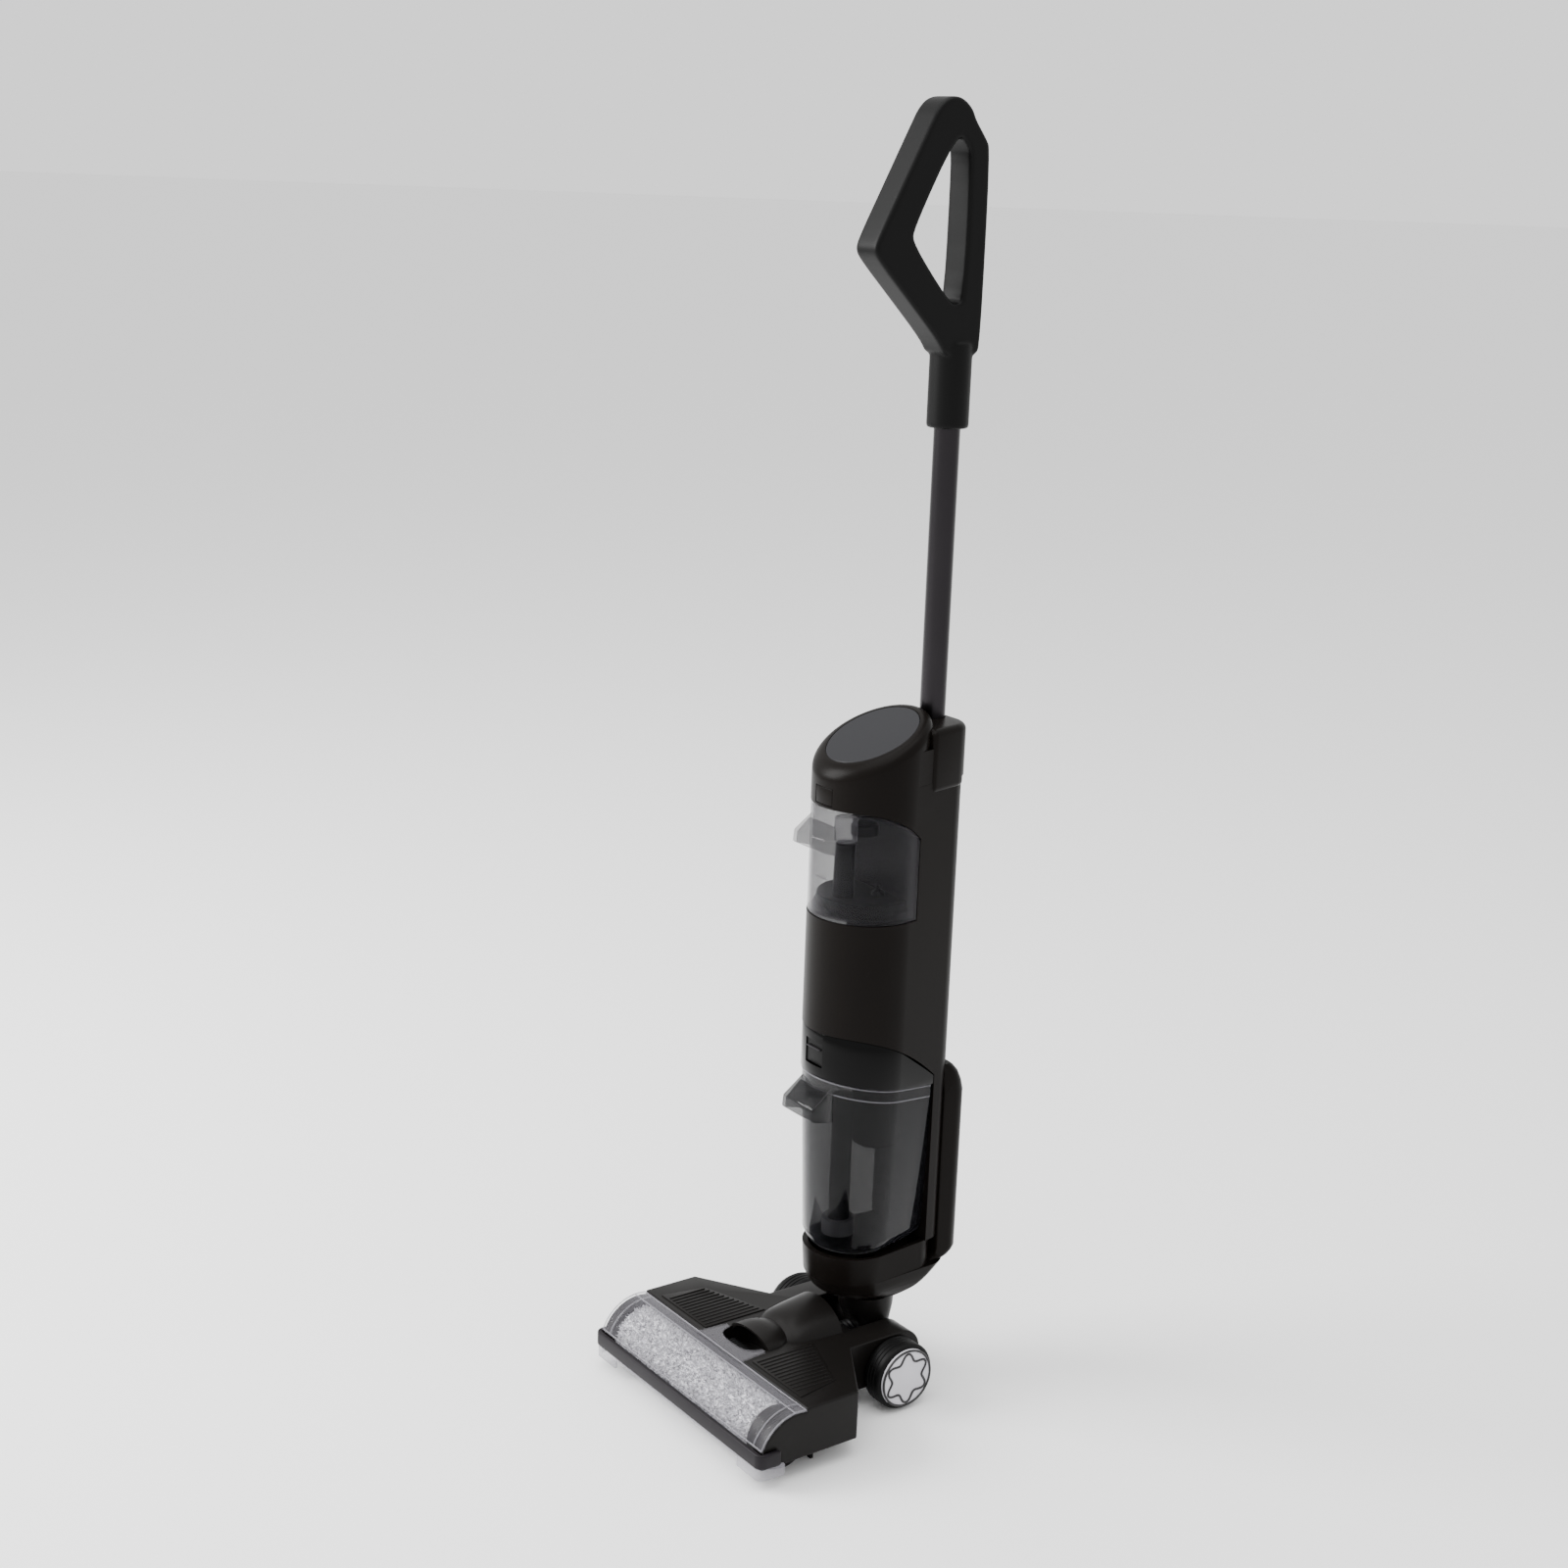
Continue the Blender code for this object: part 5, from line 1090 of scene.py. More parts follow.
@dataclass
class Housing:
    """The upright body: chassis, base cup, rear cover, display and buttons."""

    plan: BodyPlan
    cup_top: float = 0.1297
    collar: float = 0.5600
    socket_top: float = 0.6060
    shoulder: float = 0.5900
    clean_bottom: float = 0.4415
    clean_top: float = 0.5395
    clean_back: float = 0.0640
    dirty_back: float = 0.1000
    dirty_top: float = 0.3390
    display: float = 0.5970
    tilt: float = math.radians(25.0)
    dome_round: float = 0.011
    lens_depth: float = 0.0020
    pole_y: float = 0.1090
    pole_bottom: float = 0.5625
    battery_top: float = 0.2940

    def display_level(self, y: float) -> float:
        """Height of the sloping display face."""
        return self.display + (y - self.plan.front_centre_y) * math.tan(self.tilt)

    def clean_level(self, y: float) -> float:
        """Height of the clean tank's top, with its rounded back corner."""
        return self.clean_top - 0.0255 * (max(0.0, y + 0.006) / 0.070) ** 2.5

    def dirty_level(self, y: float) -> float:
        """Height of the dirty tank lid's top."""
        return self.dirty_top - 0.0425 * (max(0.0, y) / 0.0925) ** 1.8

    def bay(self, name: str, back_y: float, bottom: float, top: Height) -> bpy.types.Object:
        """The space that a tank slides into.

        Args:
            name: the piece's name.
            back_y: where the tank ends at the back.
            bottom: the height of its floor.
            top: the height of its roof along Y.

        Returns:
            The solid to take away.
        """
        half = self.plan.radius + 0.02
        front = self.plan.front_y - 0.02
        places = [front + (back_y + GAP - front) * k / 48 for k in range(49)]
        rings = []
        for height in ((lambda _y: bottom), top):
            right = [(half, y, height(y)) for y in places]
            rings.append(right + [(-x, y, z) for x, y, z in reversed(right)])
        return loft(name, rings)

    def chassis(self) -> None:
        """Build the chassis with its sloping head, bays and collar."""
        plan = self.plan
        part = slab("body_chassis", plan.outline(), self.cup_top + GAP, self.collar)
        rings = [plan.dome_ring(self.clean_top - 0.006)]
        for step in range(13):
            theta = math.pi / 2 * step / 12
            sink = self.dome_round * (1 - math.sin(theta))
            shrink = self.dome_round * (1 - math.cos(theta))
            rings.append(plan.dome_ring(lambda y, s=sink: self.display_level(y) - s, shrink))
        combine(part, Join.ADD, loft("dome", rings))
        shoulder = clip(plan.outline(0.0002), plan.front_centre_y + 0.006, 1)
        combine(part, Join.ADD, slab("shoulder", shoulder, self.collar - 0.01, self.shoulder))
        proud = clip(plan.outline(-0.0017), plan.front_centre_y + 0.030, 1)
        collar = slab("collar", proud, self.collar - 0.010, self.socket_top)
        round_edges(collar, 0.0060, 5, 60.0)
        combine(part, Join.ADD, collar)
        bore = [(0.0, 0.1), (0.0116, 0.1), (0.0116, 0.0), (0.0, 0.0)]
        place = (0.0, self.pole_y, self.pole_bottom - GAP)
        seat = [
            plan.dome_ring(lambda y: self.display_level(y) - self.lens_depth - GAP, self.dome_round),
            plan.dome_ring(lambda y: self.display_level(y) + 0.004, self.dome_round),
        ]
        front_y = plan.front_y
        combine(
            part,
            Join.REMOVE,
            turned("pole_bore", bore, place, steps=64),
            loft("lens_seat", seat),
            self.bay(
                "clean_bay", self.clean_back, self.clean_bottom - GAP, lambda y: self.clean_level(y) + GAP
            ),
            self.bay(
                "dirty_bay", self.dirty_back, self.cup_top - 0.01, lambda y: self.dirty_level(y) + GAP
            ),
            block(
                "battery_bay",
                (-0.1, plan.split_y - GAP, self.cup_top - 0.1),
                (0.1, 0.2, self.battery_top + GAP),
            ),
            block("rear_split", (-0.1, plan.split_y - GAP, 0.2), (0.1, 0.2, self.collar + GAP)),
            block("latch_hole", (-0.0118, front_y - 0.02, 0.5417), (0.0118, front_y + 0.012, 0.5573)),
            turned(
                "button_hole",
                [(0.0, 0.03), (0.0063, 0.03), (0.0063, 0.0), (0.0, 0.0)],
                (0.0, plan.rear_y - 0.008, 0.58),
                Axis.ALONG,
                48,
            ),
        )
        soften(part, 30.0)
        dress(part, BODY_BLACK, "upright", "body", "main_housing")

    def rear_cover(self) -> None:
        """Build the back cover with its row of air slots."""
        plan = self.plan
        outline = clip(plan.outline(), plan.split_y, 1)
        part = slab("rear_panel", outline, self.battery_top + GAP, self.collar)
        round_edges(part, 0.0006, 2, 50.0)
        dress(part, BODY_BLACK, "upright", "body", "rear_cover")
        vents = repeat(
            "rear_vent_bars",
            bar_row_tree(),
            None,
            {
                "Count": 9,
                "Start": (-0.0200, plan.rear_y - 0.0010, 0.40),
                "Step": (0.0050, 0.0, 0.0),
                "Length": 0.0024,
                "Shorten": 0.0,
                "Width": 0.0016,
                "Rise": 0.040,
            },
            DARK_PLASTIC,
        )
        dress(vents, DARK_PLASTIC, "upright", "body")

    def cup(self) -> None:
        """Build the base cup, with its curved underside."""
        keys = (
            (0.0765, 0.0336, 0.026, 0.0960),
            (0.0790, 0.0271, 0.029, 0.1010),
            (0.0840, 0.0196, 0.033, 0.1120),
            (0.0920, 0.0134, 0.036, 0.1215),
            (0.1035, 0.0096, 0.038, 0.1330),
        )
        rings = [self.cup_ring(*values) for values in blend_rows(keys, 5)]
        back = self.plan.split_y - GAP
        rings.append(self.cup_ring(0.1038, 0.0095, 0.038, back))
        rings.append(self.cup_ring(self.cup_top, 0.0078, 0.038, back))
        part = loft("base_cup_shell", rings)
        hollow = loft(
            "cup_hollow",
            [
                self.cup_ring(0.1035, 0.0078 + 0.006, 0.032, back - 0.006),
                self.cup_ring(self.cup_top + 0.01, 0.0078 + 0.003, 0.035, back - 0.003),
            ],
        )
        duct = [(0.0, 0.05), (0.012, 0.05), (0.012, 0.0), (0.0, 0.0)]
        combine(part, Join.REMOVE, hollow, turned("cup_duct", duct, (0.0, 0.066, 0.0665)))
        dress(part, BODY_BLACK, "upright", "body", "base_cup")

    def cup_ring(self, level: float, inset: float, half: float, back: float) -> list[Point3]:
        """Plan of the cup at one height.

        Args:
            level: the height.
            inset: how far the front moves in.
            half: half the width at the back.
            back: where the plan ends at the back.

        Returns:
            The closed ring.
        """
        corner = min(self.plan.corner, half - 0.004)
        across, rear = half - corner, back - corner
        middle = self.plan.front_centre_y + 0.75 * max(0.0, inset - 0.0095)
        front = (0.0, middle, self.plan.radius - inset)
        return lift(hull([front, (across, rear, corner), (-across, rear, corner)]), level)

    def display_window(self) -> None:
        """Build the grey window in the sloping face."""
        inset = self.dome_round + GAP
        rings = [
            self.plan.dome_ring(lambda y: self.display_level(y) - self.lens_depth, inset),
            self.plan.dome_ring(lambda y: self.display_level(y) - 0.0004, inset),
            self.plan.dome_ring(self.display_level, inset + 0.0005),
        ]
        dress(loft("display_window", rings, 20.0), LENS_GREY, "upright", "lens", "display_lens")

    def buttons(self) -> None:
        """Build the tank catch and the pole's release."""
        front = self.plan.front_y
        outline = clip(self.plan.outline(0.0002), front + 0.0080, -1)
        part = slab("clean_catch", outline, 0.5420, 0.5570)
        sides = block("catch_sides", (-0.0115, front - 0.01, 0.54), (0.0115, front + 0.02, 0.56))
        combine(part, Join.KEEP_COMMON, sides)
        round_edges(part, 0.0007, 3, 50.0)
        dress(part, BODY_BLACK, "clean_latch", "body", "clean_latch")
        rise = 0.0047
        profile = [(0.0, rise - 0.0008), (0.0030, rise - 0.0004), (0.0050, rise), (0.0060, rise - 0.0008)]
        profile += [(0.0060, 0.0), (0.0, 0.0)]
        place = (0.0, self.plan.rear_y - 0.0015, 0.58)
        button = turned("pole_release", profile, place, Axis.ALONG, 48)
        dress(button, SOFT_GRIP, "pole_button", "soft", "pole_button")

    def build(self) -> None:
        """Build every visible piece of the body."""
        self.chassis()
        self.rear_cover()
        self.cup()
        self.display_window()
        self.buttons()


def blend_rows(rows: Sequence[Sequence[float]], steps: int) -> list[list[float]]:
    """Fill in rows of numbers with a smooth curve through them.

    Args:
        rows: the rows.
        steps: how many rows are made for each gap.

    Returns:
        The fuller list of rows.
    """
    made = []
    last = len(rows) - 1
    for i in range(last):
        before, here = rows[max(i - 1, 0)], rows[i]
        after, beyond = rows[i + 1], rows[min(i + 2, last)]
        for k in range(steps):
            t = k / steps
            row = []
            for p0, p1, p2, p3 in zip(before, here, after, beyond):
                a = 2 * p1
                b = p2 - p0
                c = 2 * p0 - 5 * p1 + 4 * p2 - p3
                d = -p0 + 3 * p1 - 3 * p2 + p3
                row.append(0.5 * (a + b * t + c * t * t + d * t**3))
            made.append(row)
    made.append(list(rows[-1]))
    return made


@dataclass
class Battery:
    """The removable pack at the lower back."""

    half: float = 0.038
    front_y: float = 0.1165
    back_y: float = 0.1420
    low: float = 0.1040
    high: float = 0.2940

    def ring(self, level: float, inset: float) -> list[Point3]:
        """Plan of the pack at one height.

        Args:
            level: the height.
            inset: how far the plan moves in.

        Returns:
            The closed ring.
        """
        corner = (self.back_y - self.front_y) / 2 - GAP
        across, back = self.half - corner, self.back_y - corner
        nose = 0.002
        side = self.half - 0.0036
        circles = [(across, back - inset, corner - inset / 2), (-across, back - inset, corner - inset / 2)]
        circles += [(side - inset, self.front_y + nose, nose), (inset - side, self.front_y + nose, nose)]
        return lift(hull(circles), level)

    def build(self) -> None:
        """Build the pack's case and its finger ridges."""
        steps = [(0.0, 0.0105), (0.0015, 0.0075), (0.004, 0.0042), (0.008, 0.0015), (0.012, 0.0)]
        rings = [self.ring(self.low + up, inset) for up, inset in steps]
        rings += [self.ring(self.high - 2.2 * up, inset) for up, inset in reversed(steps)]
        case = loft("battery_case", rings, 45.0)
        dress(case, BODY_BLACK, "battery", "body", "battery_pack")
        ridges = repeat(
            "battery_ridges",
            bar_row_tree(),
            None,
            {
                "Count": 5,
                "Start": (-0.014, self.back_y - 0.0021, 0.240),
                "Step": (0.007, 0.0, 0.0),
                "Length": 0.0020,
                "Shorten": 0.0,
                "Width": 0.0022,
                "Rise": 0.022,
            },
            SOFT_GRIP,
        )
        dress(ridges, SOFT_GRIP, "battery", "soft")


# ---------------------------------------------------------------- tanks


def tank_hood(
    name: str, wall_y: float, top: float, half: float, drop: float, reach: float
) -> tuple[bpy.types.Object, bpy.types.Object]:
    """The pull handle on a tank's front: a sloping hood, open underneath.

    Args:
        name: the hood's name.
        wall_y: the front of the tank's wall.
        top: the height where the hood meets the wall.
        half: half its width.
        drop: how far its tip hangs below that height.
        reach: how far it stands out from the wall.

    Returns:
        The hood and the gap under it.
    """
    tip_y, root_y = wall_y - reach, wall_y + 0.0070
    outer = [
        (root_y, top - drop - 0.006),
        (tip_y, top - drop),
        (tip_y + 0.0010, top - drop + 0.0112),
        (root_y, top + 0.0010),
    ]
    inner = [
        (wall_y + 0.0015, top - drop - 0.030),
        (tip_y + 0.0022, top - drop - 0.004),
        (tip_y + 0.0030, top - drop + 0.0092),
        (wall_y + 0.0015, top - 0.0040),
    ]
    hood = slab(name, outer, -half, half, Plane.SIDE)
    round_edges(hood, 0.0022, 4, 30.0)
    gap = slab(name + "_gap", inner, -half + 0.0024, half - 0.0024, Plane.SIDE)
    round_edges(gap, 0.0012, 2, 30.0)
    return hood, gap


@dataclass
class CleanTank:
    """The clear clean-water tank with its pull handle, column and base."""

    housing: Housing
    wall: float = 0.0022
    shrink: float = 0.0004
    pipe_y: float = 0.0205
    pipe_radius: float = 0.0095

    def shell(self) -> None:
        """Build the clear shell."""
        plan, low, back = self.housing.plan, self.housing.clean_bottom, self.housing.clean_back - GAP
        level = self.housing.clean_level
        rings = []
        for up, inset in ((0.0, 0.0012), (0.0004, 0.0004), (0.0012, 0.0)):
            rings.append(plan.cut_ring(low + up, back, self.shrink + inset))
        for down, inset in ((0.0012, 0.0), (0.0004, 0.0004), (0.0, 0.0012)):
            rings.append(plan.cut_ring(lambda y, d=down: level(y) - d, back, self.shrink + inset))
        part = loft("clean_tank_shell", rings)
        hood, gap = tank_hood("clean_hood", plan.front_y + self.shrink, 0.5305, 0.0225, 0.0245, 0.0145)
        combine(part, Join.ADD, hood)
        water = loft(
            "clean_water",
            [
                plan.cut_ring(low + self.wall, back - self.wall, self.wall),
                plan.cut_ring(lambda y: level(y) - self.wall, back - self.wall, self.wall),
            ],
        )
        combine(part, Join.REMOVE, gap, water)
        dress(part, CLEAR, "clean_tank", "clear", "clean_tank")

    def column(self) -> None:
        """Build the dark column, the clear fitting on it and the base plate."""
        low, plan = self.housing.clean_bottom + self.wall + GAP, self.housing.plan
        back = self.housing.clean_back - 0.006
        rings = []
        for up, inset in ((0.0, 0.0065), (0.001, 0.006), (0.0055, 0.006), (0.0065, 0.0075)):
            rings.append(plan.cut_ring(low + up, back, inset))
        for up, inset in ((0.0125, 0.008), (0.0135, 0.009)):
            rings.append(plan.cut_ring(low + up, back, inset))
        base = loft("clean_tank_floor", rings)
        valve = [(0.0, 0.014), (0.0022, 0.014), (0.0022, 0.010), (0.0045, 0.009), (0.006, 0.006)]
        valve += [(0.006, -0.002), (0.0, -0.002)]
        combine(base, Join.ADD, turned("valve", valve, (0.012, 0.0488, low + 0.008), steps=48))
        dress(base, DARK_PLASTIC, "clean_tank", "inner", "clean_tank_base")
        foot = low + 0.0137
        top = self.housing.clean_top - 0.034
        profile = [(0.0, top), (0.0066, top), (0.0086, top - 0.0015), (self.pipe_radius, foot)]
        profile += [(0.0, foot)]
        pipe = turned("clean_tank_column", profile, (0.0, self.pipe_y, 0.0), steps=64)
        dress(pipe, DARK_PLASTIC, "clean_tank", "inner", "clean_tank_pipe")
        fitting = slab(
            "column_fitting",
            cut_corners(
                [
                    (-0.0095, self.pipe_y - 0.0095),
                    (0.0095, self.pipe_y - 0.0095),
                    (0.0095, self.pipe_y + 0.0095),
                    (-0.0095, self.pipe_y + 0.0095),
                ],
                3,
            ),
            top + 0.0004,
            top + 0.0220,
        )
        round_edges(fitting, 0.0010, 2, 50.0)
        # The fitting's pale clear finish is a painted highlight.
        dress(fitting, HIGHLIGHT_CLEAR, "clean_tank", "clear")
        cap_y = self.housing.plan.front_centre_y - 0.004
        cap_top = self.housing.clean_level(0.0568) - GAP - 0.0005
        profile = [(0.0, cap_top), (0.0105, cap_top), (0.0120, cap_top - 0.0015)]
        profile += [(0.0120, cap_top - 0.0095), (0.0, cap_top - 0.0095)]
        cap = turned("filling_plug", profile, (0.0, cap_y, 0.0), steps=48)
        dress(cap, DARK_PLASTIC, "clean_tank", "inner", "clean_tank_cap")

    def build(self) -> None:
        """Build the tank."""
        self.shell()
        self.column()


@dataclass
class DirtyTank:
    """The smoky dirty-water tank, its lid and what hangs in it."""

    housing: Housing
    bottom: float = 0.1300
    seam: float = 0.2985
    slope: float = -0.165
    taper: float = 0.0062
    wall: float = 0.0022

    def seam_level(self, y: float) -> float:
        """Height of the seam under the lid."""
        return self.seam + self.slope * (y - self.housing.plan.front_y)

    def inset_at(self, z: float) -> float:
        """How far the tank's side lies inside the body's."""
        share = (self.seam - z) / (self.seam - self.bottom)
        return 0.0015 + self.taper * min(max(share, 0.0), 1.0)

    def rings(self, wall: float, bottom: float, drop: float) -> list[list[Point3]]:
        """Rings of the tank from its rounded base to its rim.

        Args:
            wall: how far the rings lie inside the outer face.
            bottom: the height of the lowest ring.
            drop: how far the rim lies under the seam.

        Returns:
            The rings, lowest first.
        """
        back = self.housing.dirty_back - GAP - wall
        keys = ((0.0, 0.0150), (0.0022, 0.0080), (0.0065, 0.0034), (0.0150, 0.0))
        made = []
        for up, shrink in blend_rows(keys, 4):
            level = bottom + up
            inset = self.inset_at(level) + shrink + wall
            made.append(self.housing.plan.cut_ring(level, back - shrink * 0.2, inset))
        rim = self.inset_at(self.seam) + wall
        made.append(self.housing.plan.cut_ring(lambda y: self.seam_level(y) - drop, back, rim))
        return made

    def shell(self) -> None:
        """Build the smoky cup with its pull handle, and pale beads on its rim as painted highlight lines."""
        part = loft("dirty_tank_shell", self.rings(0.0, self.bottom, 0.0))
        wall_y = self.housing.plan.front_y + 0.0015
        hood, gap = tank_hood("dirty_hood", wall_y, 0.2915, 0.0225, 0.0270, 0.0168)
        combine(part, Join.ADD, hood)
        water = loft("dirty_water", self.rings(self.wall, self.bottom + self.wall, -0.02))
        combine(part, Join.REMOVE, gap, water)
        dress(part, SMOKE, "dirty_tank", "smoke", "dirty_tank")
        # Two pale beads along the rim under the lid: painted highlight lines.
        for number, down in enumerate((0.0012, 0.0115)):
            plan, inset = self.housing.plan, self.inset_at(self.seam - down) - 0.0001
            back = self.housing.dirty_back - 0.003
            path = plan.cut_ring(lambda y, d=down: self.seam_level(y) - d, back, inset)
            middle = next(i for i in range(len(path) - 1) if path[i][0] > 0 > path[i + 1][0])
            line = path[middle + 1 :] + path[: middle + 1]
            rim = bead(f"tank_rim_highlight_bead_{number}", line, 0.0005)
            dress(rim, HIGHLIGHT_SMOKE, "dirty_tank", "smoke")

    def lid(self) -> None:
        """Build the gloss lid and its catch."""
        plan, back = self.housing.plan, self.housing.dirty_back - GAP
        rings = []
        for up, inset in ((GAP, 0.0008), (0.0010, 0.0004)):
            rings.append(plan.cut_ring(lambda y, u=up: self.seam_level(y) + u, back, inset))
        for down, inset in ((0.0012, 0.0004), (GAP, 0.0008)):
            level = self.housing.dirty_level
            rings.append(plan.cut_ring(lambda y, d=down: level(y) - d, back, inset))
        part = loft("dirty_tank_lid_shell", rings)
        front = plan.front_y
        window = block("lid_window", (-0.0118, front - 0.01, 0.3077), (0.0118, front + 0.0100, 0.3303))
        combine(part, Join.REMOVE, window)
        dress(part, LID_GLOSS, "dirty_tank", "lid", "dirty_tank_lid")
        catch = block("tank_catch", (-0.0115, front + 0.0026, 0.3080), (0.0115, front + 0.0075, 0.3300))
        round_edges(catch, 0.0010, 3)
        dress(catch, SOFT_GRIP, "dirty_latch", "soft", "dirty_latch")
        # The lip's light grey on the dark catch is a painted highlight.
        lip = block("catch_lip_highlight", (-0.0095, front + 0.0005, 0.3225), (0.0095, front + 0.0030, 0.3240))
        round_edges(lip, 0.0005, 2)
        dress(lip, STRIP_GREY, "dirty_latch", "soft")

    def filter_cup(self) -> None:
        """Build the filter's basket; the pleated core is a carried-over node."""
        y, radius, low = 0.0680, 0.0220, 0.2200
        top = self.seam_level(y + radius) - 0.001
        profile = [(0.0, low + 0.0018), (radius - 0.0068, low + 0.0018)]
        profile += arc((radius - 0.0068, low + 0.0068), 0.0050, 270, 360, 6)
        profile += [(radius - 0.0018, top), (radius, top)]
        profile += arc((radius - 0.0060, low + 0.0060), 0.0060, 0, -90, 6)
        profile += [(0.0, low)]
        basket = turned("filter_cup", profile, (0.0, y, 0.0), steps=72)
        dress(basket, STRIP_GREY, "dirty_tank", "inner", "filter_basket")

    def build(self) -> None:
        """Build the tank."""
        self.shell()
        self.lid()
        self.filter_cup()


# ---------------------------------------------------------------- mast


@dataclass
class Mast:
    """The pole and the loop handle on it."""

    pole_y: float = 0.1090
    pole_radius: float = 0.0112
    low: float = 0.5625
    sleeve_low: float = 0.8538
    top: float = 1.120
    half: float = 0.0145

    def pole(self) -> None:
        """Build the metal pole."""
        radius, high = self.pole_radius, self.sleeve_low + 0.07
        profile = [(radius, high), (radius, self.low), (radius - 0.0012, self.low), (radius - 0.0012, high)]
        dress(
            turned("metal_pole", profile, (0.0, self.pole_y, 0.0), steps=96),
            GUNMETAL,
            "mast",
            "pole",
            "pole",
        )

    def outlines(self) -> tuple[list[Point2], list[Point2]]:
        """Outer and inner edges of the loop.

        Returns:
            The two closed outlines, seen from the side.
        """
        y, top = self.pole_y, self.top
        outer = [
            (-0.0163, 0.2075),
            (0.0163, 0.2075),
            (0.0205, 0.1960),
            (0.0202, 0.0405),
            (0.0150, 0.0320),
            (0.0030, 0.0175),
            (0.0002, 0.0105),
            (-0.0085, 0.0028),
            (-0.0180, 0.0),
            (-0.0290, 0.0026),
            (-0.0372, 0.0105),
            (-0.0430, 0.0210),
            (-0.0700, 0.0715),
            (-0.0925, 0.1135),
            (-0.0945, 0.1215),
            (-0.0915, 0.1285),
            (-0.0560, 0.1630),
            (-0.0240, 0.1945),
        ]
        inner = [
            (-0.0150, 0.0285),
            (-0.0555, 0.1050),
            (-0.0555, 0.1155),
            (-0.0160, 0.1610),
            (-0.0070, 0.1645),
            (-0.0008, 0.1590),
            (-0.0003, 0.0480),
            (-0.0036, 0.0385),
        ]
        return [(y + a, top - d) for a, d in outer], [(y + a, top - d) for a, d in inner]

    def handle(self) -> None:
        """Build the soft loop handle as one smooth form that stands for both its shells."""
        outer, inner = self.outlines()
        form = slab("handle_form", cut_corners(outer, 2), -self.half, self.half, Plane.SIDE)
        hole = slab("handle_hole", cut_corners(inner, 2), -0.1, 0.1, Plane.SIDE)
        combine(form, Join.REMOVE, hole)
        round_edges(form, 0.0098, 6, 60.0)
        sleeve = [(0.0, 0.0), (0.0168, 0.0), (0.0178, 0.0012), (0.0178, 0.070), (0.0, 0.078)]
        place = (0.0, self.pole_y, self.sleeve_low)
        combine(form, Join.ADD, turned("sleeve", sleeve, place, steps=96))
        mesh_step = form.modifiers.new("even", "REMESH")
        mesh_step.mode = "VOXEL"
        mesh_step.voxel_size = 0.0012
        relax = form.modifiers.new("relax", "SMOOTH")
        relax.factor = 0.5
        relax.iterations = 9
        settle(form)
        bore = [(0.0, 0.1), (0.0115, 0.1), (0.0115, 0.0), (0.0, 0.0)]
        combine(form, Join.REMOVE, turned("sleeve_bore", bore, (0.0, self.pole_y, self.sleeve_low - 0.03)))
        soften(form, 60.0)
        form.name = "handle_shells"
        dress(form, SOFT_GRIP, "mast", "soft", "handle_left", "handle_right")

    def grip(self) -> None:
        """Build the inset strip at the back and the two buttons."""
        back, low, high = self.pole_y + 0.0210, self.top - 0.1700, self.top - 0.0450
        strip = block("grip_strip", (-0.0090, back - 0.0026, low), (0.0090, back, high))
        round_edges(strip, 0.0010, 3)
        dress(strip, STRIP_GREY, "mast", "soft", "rear_grip")
        normal = Vector((0.0, math.sin(0.8794), math.cos(0.8794)))
        turn = Vector((0, 0, 1)).rotation_difference(normal).to_matrix().to_4x4()
        for name, node, body, along, drop, radius in (
            ("power_key", "power_button", "power_button", 0.0062, 0.0214, 0.0055),
            ("mode_key", "mode_button", "mode_button", 0.0128, 0.0293, 0.0035),
        ):
            profile = [(0.0, 0.0050), (radius - 0.0012, 0.0054), (radius - 0.0003, 0.0051), (radius, 0.0044)]
            profile += [(radius, 0.0), (0.0, 0.0)]
            key = turned(name, profile, (0.0, 0.0, 0.0), steps=40)
            place = Vector((0.0, self.pole_y + along, self.top - drop)) - normal * 0.0040
            key.data.transform(Matrix.Translation(place) @ turn)
            dress(key, DARK_PLASTIC, body, "inner", node)

    def build(self) -> None:
        """Build the mast."""
        self.pole()
        self.handle()
        self.grip()


# ---------------------------------------------------------------- floor head


